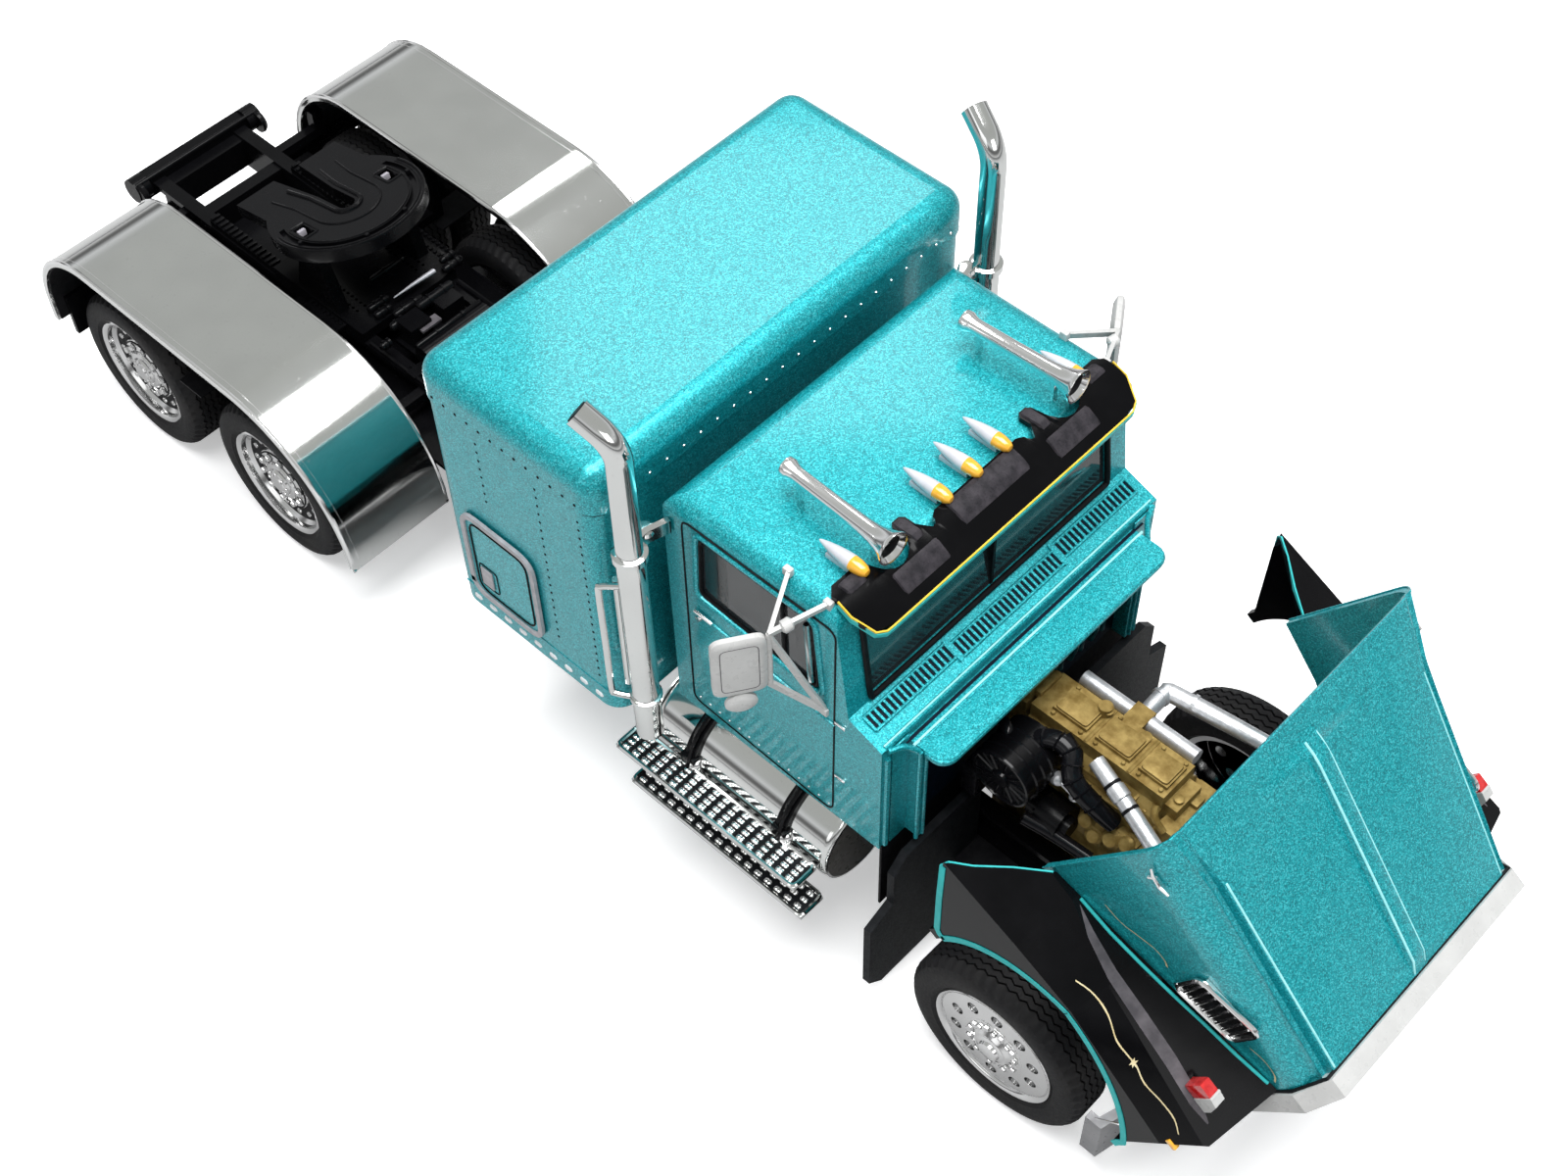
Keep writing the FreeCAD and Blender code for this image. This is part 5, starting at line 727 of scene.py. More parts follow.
class TRACTOR_OT_tyres(bpy.types.Operator):
    """Tyres with zigzag tread"""
    bl_idname = "tractor.tyres"
    bl_label = "Tyres"

    def execute(self, context):
        for tag, x, places in (("front", 0.0, (FRONT_TRACK,)),
                               ("mid", MID_X, (DUAL_OUTER, DUAL_INNER)),
                               ("rear", REAR_X, (DUAL_OUTER, DUAL_INNER))):
            form = Form()
            for side in HANDS:
                for place in places:
                    tyre_form(form, x, side * place)
            form.piece(tag + "_tyre_treads", "tyre_rubber", tag + "_axle",
                       replaces=(tag + "_tyres",), smooth=28)
        return {"FINISHED"}


def ring_of(count, radius, start=0.0):
    """Offsets in x and z of a ring of places."""
    for i in range(count):
        angle = math.tau * i / count + start
        yield math.cos(angle) * radius, math.sin(angle) * radius


class TRACTOR_OT_wheels(bpy.types.Operator):
    """Rims, hubs and lug nuts"""
    bl_idname = "tractor.wheels"
    bl_label = "Wheel details"

    def execute(self, context):
        self.front()
        self.rear()
        return {"FINISHED"}

    def front(self):
        """Rim, plate ring, hub and nuts of the front wheels."""
        bright = Form()
        for side in HANDS:
            face, out = side * (FRONT_TRACK + 1.7), (0, side, 0)
            for steps, profile in (
                    (56, [(-0.5, 5.2), (0.0, 5.25), (0.25, 5.45), (0.3, 5.65), (0.15, RIM),
                          (-0.4, RIM), (-0.5, 5.2)]),
                    (40, [(0.02, 2.85), (0.16, 2.8), (0.2, 2.65), (0.2, 1.9), (0.05, 1.8),
                          (0.0, 2.85)]),
                    (32, [(0.0, 1.55), (0.45, 1.5), (0.62, 1.3), (0.66, 1.0), (0.9, 0.9),
                          (1.0, 0.7), (1.0, 0.0)])):
                bright.lathe(profile, (0, face, TYRE_RADIUS), out, steps)
            for dx, dz in ring_of(10, 2.28, 0.3):
                bright.nut((dx, face + side * 0.18, TYRE_RADIUS + dz), out, 0.27, 0.36)
        bright.piece("front_wheel_trim", "wheel_chrome", "front_axle", smooth=40)

    def rear(self):
        """Deep drum, rim, a dark ring of painted shade in the dish between the lugs, and the hub of
        each dual.
        """
        for tag, x in (("mid", MID_X), ("rear", REAR_X)):
            bright, dark = forms(2)
            for side in HANDS:
                out = (0, side, 0)

                def at(dx=0.0, away=0.0, dz=0.0):
                    return (x + dx, side * (DUAL_OUTER + away), TYRE_RADIUS + dz)
                bright.lathe([(-7.3, 0.0), (-7.3, RIM), (1.4, RIM), (1.4, 5.3), (1.0, 4.95),
                              (0.8, 4.8), (0.8, 0.0)], at(), out, 56)
                bright.lathe([(1.2, 5.15), (1.72, 5.2), (1.9, 5.4), (1.95, 5.62), (1.8, 5.78),
                              (1.3, 5.78), (1.2, 5.15)], at(), out, 56, False)
                # painted shade: a dark band on the dish's inner wall
                dark.lathe([(0.78, 4.85), (0.9, 4.8), (0.86, 3.4), (0.78, 3.3)], at(), out, 48,
                           False)
                for dx, dz in ring_of(14, 4.1):
                    bright.lathe([(0.8, 0.32), (1.0, 0.28), (1.0, 0.0)], at(dx, 0.0, dz), out, 10)
                bright.lathe([(0.78, 3.35), (1.1, 3.25), (1.2, 3.0), (1.2, 2.1), (1.45, 1.95),
                              (1.5, 1.5), (1.7, 1.4), (1.75, 1.0), (1.88, 0.9), (1.9, 0.0)],
                             at(), out, 40)
                for radius in (1.45, 2.08, 3.1):
                    dark.lathe([(1.18, radius - 0.1), (1.24, radius), (1.18, radius + 0.1)],
                               at(), out, 36, False)
                for dx, dz in ring_of(10, 2.6, 0.15):
                    bright.nut(at(dx, 1.15, dz), out, 0.34, 0.5)
                    dark.lathe([(0, 0.44), (0.05, 0.42), (0.05, 0.3)], at(dx, 1.18, dz), out, 10,
                               False)
                for dx, dz in ring_of(8, 1.2):
                    bright.nut(at(dx, 1.65, dz), out, 0.16, 0.2)
            bright.piece(tag + "_wheel_trim", "wheel_chrome", tag + "_axle",
                         replaces=(tag + "_wheels",), smooth=40)
            dark.piece(tag + "_wheel_ring", "panel_black", tag + "_axle")


# Rear fenders

FENDER_FRONT, FENDER_TAIL, FENDER_TOP = MID_X + 13.7, REAR_X - 9.9, 22.7
FRONT_BEND, REAR_BEND = 13.7, 9.6


def fender_path(grow, low_front=9.2, low_rear=10.8):
    """Side view of the long rear fender, grown outward by some millimetres."""
    path = [(FENDER_FRONT + grow, low_front)]
    for x, bend, start in ((MID_X, FRONT_BEND, 0), (FENDER_TAIL + REAR_BEND, REAR_BEND, 90)):
        for i in range(13):
            angle = math.radians(start + 7.5 * i)
            path.append((x + (bend + grow) * math.cos(angle),
                         FENDER_TOP - bend + (bend + grow) * math.sin(angle)))
    return path + [(FENDER_TAIL - grow, low_rear)]


class TRACTOR_OT_rear_fenders(bpy.types.Operator):
    """Rolled lips of the long chromed fenders, and black linings under them as painted shade"""
    bl_idname = "tractor.rear_fenders"
    bl_label = "Rear fenders"

    def execute(self, context):
        lips, inner_shade = Form(), Form()
        for side in HANDS:
            for y in (20.95, 10.0):
                lips.tube([(x, side * y, z) for x, z in fender_path(-0.08)], 0.2, 8)
            lips.tube([(x, side * 20.3, z) for x, z in fender_path(-0.02)], 0.07, 6)
            # painted shade: a black sheet under each fender's top
            path = [(x, side * 15.5, z) for x, z in fender_path(-0.66)]
            inner_shade.ribbon(path, ACROSS, 10.6, 0.06)
        lips.piece("rear_fender_lips", "bright_chrome")
        inner_shade.piece("rear_fender_painted_shade", "panel_black")
        return {"FINISHED"}


# Sleeper

SLEEPER_BACK, SLEEPER_FRONT, SLEEPER_HALF = -55.8, -37.0, 20.2
CAP_SEAM = 43.9


class TRACTOR_OT_sleeper(bpy.types.Operator):
    """Rivets, seam, luggage doors, vents and marker lights of the sleeper"""
    bl_idname = "tractor.sleeper"
    bl_label = "Sleeper details"

    def execute(self, context):
        self.seam()
        self.doors()
        return {"FINISHED"}

    def seam(self):
        """Seam below the cap, bright rivets at its ends, dark ones down the sides."""
        rivets, marks, line = forms(3)
        for i in range(22):
            y = -18.1 + 36.2 * i / 21
            for x, way in ((SLEEPER_FRONT, 1), (SLEEPER_BACK, -1)):
                rivets.dome((x + way * 0.12, y, CAP_SEAM + 0.75), (way, 0, 0), 0.13, 0.09, 8)
        for side in HANDS:
            out = (0, side, 0)
            for i in range(13):
                x = SLEEPER_BACK + 1.8 + 15.2 * i / 12
                marks.dome((x, side * (SLEEPER_HALF + 0.11), CAP_SEAM + 0.6), out, 0.15, 0.08, 8)
            pitch = 0.95
            for x, top, low in ((-49.8, 42.4, 34.6), (-43.4, 42.4, 22.6), (-38.9, 42.4, 22.0)):
                for k in range(int((top - low) / pitch)):
                    marks.dome((x, side * SLEEPER_HALF, top - pitch * k), out, 0.12, 0.06, 8)
        proud = 0.015
        half = SLEEPER_HALF + proud
        outline = round_box((SLEEPER_BACK - proud, -half), (SLEEPER_FRONT + proud, half), 1.9, 6)
        line.tube(at_height(outline, CAP_SEAM - 0.04, 1), 0.07, 6)
        rivets.piece("sleeper_rivets", "bright_chrome")
        marks.piece("sleeper_rivet_marks", "panel_black")
        line.piece("sleeper_seam", "panel_black")

    def doors(self):
        """Luggage doors' trim and gaps, the row of marker lights, the lower crease."""
        trim, gap, dots, ledge = forms(4)
        for side in HANDS:
            y = side * (SLEEPER_HALF + 0.32)
            path = upright(round_box((-53.0, 22.6), (-45.1, 32.4), 1.6), y)
            trim.ribbon(path, [(x + 49.0, 0, z - 27.5) for x, _, z in path], 0.5, 0.3)
            gap.tube(upright(round_box((-52.3, 23.3), (-45.8, 31.7), 1.2), y), 0.09, 6)
            trim.block(*corners((-51.7, y, 24.4), (-50.4, y + side * 0.14, 26.5)), 0.06)
            gap.tube(upright(round_box((-51.95, 24.1), (-49.9, 26.8), 0.4), y), 0.06, 6)
            for i in range(9):
                for shift in (0.0, 0.3):
                    dots.lathe([(0, 0.3), (0.08, 0.24), (0.1, 0.0)],
                               (-53.6 + 1.78 * i + shift, side * SLEEPER_HALF, 20.6),
                               (0, side, 0), 12)
            ledge.block((SLEEPER_BACK + 1.2, side * SLEEPER_HALF - 0.05, 21.9),
                        (SLEEPER_FRONT - 1.0, side * SLEEPER_HALF + 0.05, 22.02))
        trim.piece("luggage_door_trim", "pink_trim")
        gap.piece("luggage_door_gap", "panel_black")
        dots.piece("sleeper_marker_lights", "white_dot")
        ledge.piece("sleeper_lower_crease", "teal_paint")


# Roof gear: visor, bullet lamps and air horns

ROOF = 45.3


class TRACTOR_OT_visor(bpy.types.Operator):
    """Sun visor with notches, stamped pads and a two-colour lip"""
    bl_idname = "tractor.visor"
    bl_label = "Visor"

    def execute(self, context):
        self.blade()
        self.pads()
        self.lips()
        return {"FINISHED"}

    def rear_edge(self):
        """Rear edge of the visor from its middle outward, as y and x."""
        points = [(0.0, -19.1), (4.4, -19.1), (4.9, -18.8)]
        points += [(5.5 + 0.55 * math.cos(a), -18.75 + 0.55 * math.sin(a))
                   for a in (math.radians(180 - 30 * k) for k in range(0, 4))]
        points += [(6.2, -19.2), (6.2, -20.2), (6.5, -20.55), (7.2, -20.55), (7.5, -20.2)]
        points += [(9.3 + 1.75 * math.cos(a), -19.4 + 1.75 * math.sin(a))
                   for a in (math.radians(180 - 22.5 * k) for k in range(1, 8))]
        return points + [(11.2, -19.6), (12.1, -19.9), (14.1, -19.9), (14.75, -19.3)]

    def front_edge(self, y):
        """x of the front edge, which rounds off towards the corners."""
        corner = max(0.0, abs(y) - 13.1)
        return -15.35 - (2.0 - math.sqrt(max(4.0 - corner ** 2 * 1.3, 0.0)))

    def height(self, x):
        """Top of the visor from its rear edge to the lip."""
        return ease(x, ((-20.6, ROOF + 0.5), (-18.6, ROOF + 0.62), (-17.6, ROOF + 0.35),
                        (-15.4, ROOF - 1.05)))

    def blade(self):
        """The visor itself, from its notched rear edge to the front one."""
        rear = self.rear_edge()
        rows = []
        for y, x_rear in [(-y, x) for y, x in reversed(rear[1:])] + rear:
            x_front = max(self.front_edge(y), x_rear + 0.4)
            top = [(x_rear + (x_front - x_rear) * k / 6) for k in range(7)]
            rows.append([(x, y, self.height(x)) for x in top]
                        + [(x, y, self.height(x) - 0.42) for x in reversed(top)])
        form = Form().grid(rows, closed=True, capped=True)
        form.piece("visor_blade", "black_paint", replaces=("sun_visor",), smooth=32)

    def pads(self):
        """Raised stamped pads following the blade."""
        form = Form()
        spans = [(-3.6, 3.6, -18.9, -16.9)]
        for side in HANDS:
            for near, far, back, front in ((6.35, 7.4, -20.4, -18.2), (5.9, 10.6, -17.55, -16.1),
                                           (12.0, 13.9, -19.6, -18.4)):
                spans.append((*sorted((side * near, side * far)), back, front))
        for low, high, back, front in spans:
            rows = []
            for k in range(6):
                x = back + (front - back) * k / 5
                edge = 0.12 if k in (0, 5) else 0.0
                z = self.height(x)
                rows.append([(x, low, z - 0.1), (x, low + 0.12 + edge, z + 0.16 - edge),
                             (x, high - 0.12 - edge, z + 0.16 - edge), (x, high, z - 0.1)])
            form.grid(rows, closed=True, capped=True)
        form.piece("visor_pads", "pad_black", smooth=30)

    def lips(self):
        """Painted lines along the front edge and round the corners."""
        for drop, wide, name, look in ((0.0, 0.17, "visor_yellow_line", "yellow_line"),
                                       (-0.36, 0.5, "visor_teal_line", "teal_stripe")):
            path = []
            for i in range(41):
                y = -14.9 + 29.8 * i / 40
                x = self.front_edge(y) + 0.03
                path.append((x, y, self.height(x) + drop - 0.08))
            for place, y in ((0, -14.85), (len(path) + 1, 14.85)):
                path.insert(place, (-18.6, y, self.height(-18.6) + drop))
            Form().ribbon(path, (0.2, 0, 1), wide, 0.12).piece(name, look)


class TRACTOR_OT_roof_gear(bpy.types.Operator):
    """Bullet lamps and air horns"""
    bl_idname = "tractor.roof_gear"
    bl_label = "Roof gear"

    def execute(self, context):
        silver, amber, horns, dark = forms(4)
        for y in (-11.9, -3.2, 0.0, 3.2, 11.9):
            centre = (-18.5, y, ROOF + 0.95)
            body = [(-4.5, 0.04), (-4.3, 0.14), (-3.7, 0.3), (-2.9, 0.46), (-2.1, 0.56),
                    (-1.45, 0.6), (-1.42, 0.0)]
            silver.lathe(body, centre, AHEAD, 22)
            nose = [(-1.46, 0.0), (-1.45, 0.6), (-0.9, 0.58), (-0.35, 0.46), (-0.08, 0.28),
                    (0.0, 0.0)]
            amber.lathe(nose, centre, AHEAD, 22)
            silver.block((-22.2, y - 0.32, ROOF - 0.05), (-19.6, y + 0.32, ROOF + 0.4), 0.08)
        silver.piece("bullet_lamps", "lamp_silver", replaces=("roof_lamps",))
        amber.piece("bullet_lenses", "amber")
        for side in HANDS:
            y0, y1, z = side * 9.5, side * 9.95, ROOF + 2.35
            axis = Vector((10.4, y1 - y0, 0.0)).normalized()
            start = (-28.4, y0, z)
            tube = [(0.0, 0.5), (0.05, 0.8), (0.55, 0.82), (0.75, 0.7), (1.1, 0.6), (5.0, 0.62),
                    (7.8, 0.68), (8.8, 0.8), (9.6, 1.02), (10.1, 1.24), (10.35, 1.36),
                    (10.45, 1.36), (10.42, 1.22), (9.9, 0.9), (9.0, 0.55), (8.4, 0.0)]
            horns.lathe(tube, start, axis, 28)
            # painted shade inside each bell
            dark.lathe([(9.3, 0.0), (9.55, 0.58), (10.1, 0.86), (10.05, 0.5), (9.6, 0.0)],
                       start, axis, 20)
            dark.lathe([(-0.02, 0.0), (-0.02, 0.42), (0.2, 0.42)], start, axis, 16)
            for x in (-26.9, -19.9):
                horns.block((x - 0.2, side * 9.65 - 0.25, ROOF - 0.1),
                            (x + 0.2, side * 9.65 + 0.25, z - 0.4), 0.06)
        horns.piece("air_horn_trumpets", "bright_chrome", replaces=("air_horns",))
        dark.piece("air_horn_mouths", "panel_black")
        return {"FINISHED"}


# Stacks and mirrors

STACK = (-34.3, 19.5)


class TRACTOR_OT_stacks(bpy.types.Operator):
    """Exhaust stacks with swept tips, clamps and grab handles"""
    bl_idname = "tractor.stacks"
    bl_label = "Stacks"

    def execute(self, context):
        for side, hand in HANDS.items():
            form, dark = forms(2)
            x, y = STACK[0], side * STACK[1]
            splay, bend, foot = math.radians(16), 3.2, Vector((x, y, 52.0))
            aim = Vector((-math.cos(splay), side * math.sin(splay), 0))
            path = [Vector((x, y, z)) for z in (19.7, 40.8, 41.0)] + [foot]
            radii = [1.1, 1.1, 1.02, 1.02]
            for k in range(1, 9):
                turn = math.radians(60) * k / 8
                path.append(foot + aim * bend * (1 - math.cos(turn))
                            + Vector((0, 0, bend * math.sin(turn))))
                radii.append(1.02 + 0.03 * k / 8)
            heading = (path[-1] - path[-2]).normalized()
            path.append(path[-1] + heading * 1.6)
            radii.append(1.06)
            form.tube(path, radii, 28)
            # painted shade: a dark disc inside the stack's mouth
            dark.lathe([(0.0, 0.0), (0.0, 0.86), (0.05, 0.86)], path[-1] + heading * 0.01, heading,
                       24)
            for z, wide, tall in ((41.6, 1.36, 0.7), (24.2, 1.3, 0.5)):
                form.lathe([(0, 1.1), (0.08, wide), (tall, wide), (tall + 0.08, 1.1)], (x, y, z),
                           UP, 28)
            root = side * 15.9
            arm = [(x - 0.1, y, 42.0), (x - 0.1, y - side * 1.8, 42.4), (x + 0.4, root, 42.4)]
            form.ribbon(arm, UP, 1.3, 0.5)
            form.lathe([(0, 0.75), (0.35, 0.7), (0.4, 0)], (x - 0.4, y - side * 1.9, 42.5),
                       UP, 18)
            hx, hy = x - 2.1, side * 21.1
            grip = smooth_path([(x - 0.7, y + side * 0.7, 38.3), (hx + 0.2, hy - side * 0.1, 38.0),
                                (hx, hy, 37.2), (hx, hy, 31.0), (hx, hy, 25.2),
                                (hx + 0.2, hy - side * 0.1, 24.5), (x - 0.7, y + side * 0.7, 24.3)],
                               4)
            form.tube(grip, 0.27, 10)
            form.tube([(x - 1.35, y + side * 0.5, 25.4), (x - 1.35, y + side * 0.5, 38.4)], 0.28,
                      10)
            form.piece("stack_tube_" + hand, "chrome", replaces=("stack_" + hand,))
            dark.piece("stack_mouth_" + hand, "dark_recess")
        return {"FINISHED"}


class TRACTOR_OT_mirrors(bpy.types.Operator):
    """Mirror heads on their brackets"""
    bl_idname = "tractor.mirrors"
    bl_label = "Mirrors"

    def execute(self, context):
        for side, hand in HANDS.items():
            form, line = forms(2)
            near, far = Vector((-21.1, side * 19.25, 0)), Vector((-23.3, side * 22.55, 0))
            across = (far - near).normalized()
            facing = Vector((side * -across.y, side * across.x, 0))
            facing = facing if facing.x > 0 else -facing
            wide = (far - near).length

            def lay(u, z, out):
                return near + across * u + facing * out + Vector((0, 0, z))
            shell = []
            for grow, out in ((0.55, -0.75), (0.0, -0.45), (0.0, -0.05), (0.22, 0.1),
                              (0.55, 0.16)):
                shell.append([lay(wide / 2 + (u - wide / 2) * (1 - grow * 0.45),
                                  41.05 + (z - 41.05) * (1 - grow * 0.27), out)
                              for u, z in round_box((0, 37.9), (wide, 44.2), 0.9)])
            form.grid(shell, closed=True, capped=True)
            inner = round_box((0.62, 38.6), (wide - 0.62, 43.5), 0.5, 4)
            line.tube([lay(u, z, 0.13) for u, z in loop(inner, 1)], 0.05, 6)
            convex = [lay(wide * 0.5 + 1.2 * math.cos(a), 36.9 + 1.05 * math.sin(a), 0)
                      for a in (math.tau * k / 20 for k in range(20))]
            rows = []
            for out, scale in ((-0.35, 0.6), (-0.2, 1.0), (0.05, 1.0), (0.2, 0.8), (0.3, 0.4)):
                middle = lay(wide * 0.5, 36.9, 0)
                rows.append([middle + (p - middle) * scale + facing * out for p in convex])
            form.grid(rows, closed=True, capped=True)
            roots = [Vector((x, side * y, z)) for x, y, z in
                     ((-23.1, 14.95, 45.5), (-19.3, 15.0, 45.2), (-18.9, 15.85, 33.7))]
            bar = near + Vector((-0.1, -side * 0.3, 0))
            top, low = bar + Vector((0, 0, 44.0)), bar + Vector((0, 0, 38.2))
            form.tube([low, top], 0.22, 8)
            pad = Vector((0.35, 0.25, 0.35))
            for start, end, size in ((top, roots[0], 0.34), (top, roots[1], 0.34),
                                     (top - Vector((0, 0, 0.3)), roots[2], 0.27),
                                     (low, roots[2], 0.3)):
                form.ribbon([start, start.lerp(end, 0.5), end], (0.3, 0, 1), size * 2, size * 0.9)
                form.block(end - pad, end + pad, 0.1)
            form.lathe([(-0.45, 0.3), (-0.3, 0.5), (0.3, 0.5), (0.45, 0.3)],
                       top.lerp(roots[1], 0.3), (0.3, 0.9, 0.2), 14)
            form.piece("mirror_parts_" + hand, "pearl_chrome",
                       replaces=("mirror_" + hand,))
            line.piece("mirror_line_" + hand, "band_grey")
        return {"FINISHED"}


# Cowl, firewall, windscreen and doors

CAB_HALF, COWL_TOP, COWL_FRONT = 15.8, 33.5, -13.5
SCREEN_FOOT, SCREEN_HEAD = (-16.7, 34.7), (-18.0, 45.3)


class TRACTOR_OT_cab(bpy.types.Operator):
    """Cowl louvres, windscreen gasket, firewall and door lines"""
    bl_idname = "tractor.cab"
    bl_label = "Cab details"

    def execute(self, context):
        self.cowl()
        self.firewall()
        self.screen()
        self.doors()
        return {"FINISHED"}

    def cowl(self):
        """Louvre channel in three groups between bright ridges, dark sheets of painted shade under
        the louvres, and painted highlights along the ledge.
        """
        teal, dark, fins, ledge = forms(4)

        def on(x, y, lift):
            share = (COWL_FRONT - x) / (COWL_FRONT - SCREEN_FOOT[0])
            return (x, y, COWL_TOP + (SCREEN_FOOT[1] - COWL_TOP) * share + lift)
        for near, far, shift in ((-14.9, -6.2, 0.0), (-5.8, 5.8, 0.3), (6.2, 14.9, 0.0)):
            back, front = -16.1 + shift, -14.85 + shift
            # painted shade: a navy sheet under each group of louvres
            dark.grid([[on(x, near, 0.05), on(x, far, 0.05)] for x in (back, front)])
            count = int((far - near) / 0.5)
            for i in range(count + 1):
                y = near + (far - near) * i / count
                fins.ribbon([on(back, y, 0.14), on(front, y, 0.14)], ACROSS, 0.2, 0.2)
            for edge in (back, front):
                teal.tube([on(edge, near, 0.12), on(edge, far, 0.12)], 0.14, 8)
        for side in HANDS:
            teal.ribbon([on(x, side * 6.0, 0.12) for x in (-16.3, -14.4)], ACROSS, 0.4, 0.3)
        teal.cross(-13.75, 15.3, COWL_TOP - 0.1, 0.3, 10)
        teal.cross(-16.75, 15.2, COWL_TOP + 0.9, 0.22)
        # painted shade: a dark strip along the foot of the cowl's front
        dark.block((-13.4, -13.9, COWL_TOP - 0.98), (-13.15, 13.9, COWL_TOP - 0.92))
        # painted highlights: thin bright teal bars along the ledge and the cowl's front ridge
        ledge.cross(-12.75, 13.2, 32.5, 0.12)
        ledge.cross(-13.75, 15.3, COWL_TOP + 0.14, 0.09)
        ledge.piece("cowl_painted_highlights", "teal_bright")
        teal.cross(-12.6, 12.6, 32.45, 0.16)
        teal.tube(at_height(round_box((-12.6, -12.9), (-10.0, 12.9), 1.3), 32.2), 0.26, 8)
        teal.piece("cowl_ridges", "teal_paint")
        dark.piece("cowl_painted_shade", "navy_black")
        fins.piece("cowl_louvres", "teal_paint")

    def firewall(self):
        """Navy panel as painted shade under the ledge, a double flange, and moulded pipes in a
        darker copy of the teal as painted shade.
        """
        panel, flange, pipes = forms(3)
        outline = [(-14.9, 20.6), (14.9, 20.6), (14.9, 31.5), (-14.9, 31.5)]
        # painted shade: a navy sheet over the firewall, which sits in shade under the ledge
        panel.plate(outline, COWL_FRONT + 0.02, COWL_FRONT + 0.1, "x")
        for side in HANDS:
            for y, x, radius in ((13.2, -12.1, 0.2), (12.6, -12.0, 0.14), (15.2, -13.45, 0.26)):
                flange.tube([(x, side * y, 32.3), (x, side * y, 26.0), (x, side * y, 20.6)],
                            radius, 8)
            flange.block((-13.45, side * 13.9 - 0.9, 20.5), (-13.3, side * 13.9 + 0.9, 33.2), 0.05)
            flange.tube(smooth_path([(-13.4, side * 15.2, 33.3), (-12.9, side * 14.0, 33.1),
                                     (-12.2, side * 13.2, 32.3)]), 0.24, 8)
        for y, sway in ((3.9, 0.4), (5.2, -0.5), (6.4, 0.6), (7.7, -0.3), (9.0, 0.5),
                        (10.4, -0.4)):
            path = smooth_path([(-13.2, y, 31.4), (-12.9, y + sway, 29.0), (-12.9, y - sway, 26.6),
                                (-13.1, y + sway * 0.6, 24.0), (-13.3, y, 22.4)], 4)
            pipes.tube(path, 0.3, 8)
            pipes.lathe([(-0.3, 0.4), (0.3, 0.4)], path[8], (0, 0.1, 1), 10)
        panel.piece("firewall_painted_shade", "navy_black")
        flange.piece("firewall_flange", "teal_paint")
        # the firewall's pipes in the shaded teal: painted shade
        pipes.piece("firewall_pipes", "teal_deep")

    def screen(self):
        """Black gasket and dark pane of the windscreen."""
        gasket = Form()

        def lay(y, share, out):
            x = SCREEN_FOOT[0] + (SCREEN_HEAD[0] - SCREEN_FOOT[0]) * share
            return (x + out, y, SCREEN_FOOT[1] + (SCREEN_HEAD[1] - SCREEN_FOOT[1]) * share)
        outline = round_box((-13.5, 0.03), (13.5, 0.83), 0.16)
        gasket.tube([lay(y, share, 0.08) for y, share in loop(outline)], 0.26, 8)
        gasket.block(lay(-0.12, 0.02, -0.1), lay(0.12, 0.82, 0.26), 0.03)
        gasket.piece("screen_gasket", "panel_black")

    def doors(self):
        """Door gaps, window frames, rivets, hinges and handles."""
        gaps, frames, bright, divider = forms(4)
        for side in HANDS:
            y = side * (CAB_HALF + 0.01)
            for form, places, bend, inset, size, steps in (
                    (gaps, [(-32.9, 21.6), (-18.2, 20.8), (-17.9, 43.9), (-32.7, 43.9)], 0.9, 0.0,
                     0.085, 6),
                    (frames, [(-31.7, 36.1), (-19.1, 35.2), (-19.8, 43.5), (-31.4, 43.5)], 0.9,
                     0.0, 0.24, 8),
                    (divider, [(-31.3, 36.5), (-19.6, 35.7), (-20.1, 43.1), (-31.0, 43.1)], 0.7,
                     0.06, 0.14, 6)):
                form.tube(upright(round_outline(places, bend), y - side * inset), size, steps)
            for form, (x0, z0), (x1, z1), out, size, steps in (
                    (divider, (-22.9, 36.0), (-23.0, 43.2), -0.05, 0.16, 6),
                    (bright, (-20.2, 36.2), (-20.6, 42.6), 0.05, 0.24, 8),
                    (frames, (-31.9, 33.9), (-18.0, 32.6), 0.0, 0.16, 8)):
                form.tube([(x0, y + side * out, z0), (x1, y + side * out, z1)], size, steps)
            for i in range(14):
                share = i / 13
                bright.dome((-32.2 + 13.6 * share, side * CAB_HALF, 22.3 - 0.9 * share),
                            (0, side, 0), 0.11, 0.06, 8)
            for z in (33.1, 26.1):
                bright.block(*corners((-17.9, y, z), (-16.9, y + side * 0.16, z + 0.32)), 0.05)
            bright.tube([(-31.8, y + side * 0.22, 34.2), (-30.0, y + side * 0.22, 34.1)], 0.17, 8)
            bright.lathe([(0, 0.3), (0.2, 0.24), (0.24, 0)], (-31.6, y, 33.2), (0, side, 0), 12)
        gaps.piece("door_gaps", "dark_recess")
        frames.piece("door_frames", "teal_paint")
        bright.piece("door_brightwork", "bright_chrome")
        divider.piece("door_window_seals", "panel_black")


# Hood, modelled closed and turned open with its matrix

OPENED = turn_about((HINGE_X, 0, HINGE_Z), HOOD_OPEN)
HOOD_STATIONS = (-10.1, -5.0, 11.9)
# At those stations: half width, low edge, top, drop of the shoulder, crease
HOOD_ROWS = ((14.4, 14.0, 12.4), (18.8, 18.0, 11.2), (33.7, 32.15, 26.9), (1.2, 2.2, 2.8),
             (12.6, 11.5, 10.4))
FENDER_STATIONS, FENDER_OUT = (-15.6, -7.5, -1.5, 11.7), 19.5
SPINE, GROOVE, TYRE_GAP = 0.45, 0.46, 9.2


def hood_at(x):
    """Half width, low edge, top, shoulder drop and crease of the closed hood."""
    return [ease(x, list(zip(HOOD_STATIONS, row))) for row in HOOD_ROWS]


def hood_side(x, z, side, lift=0.0):
    """A place on the hood's upright side."""
    return Vector((x, side * (hood_at(x)[0] + lift), z))


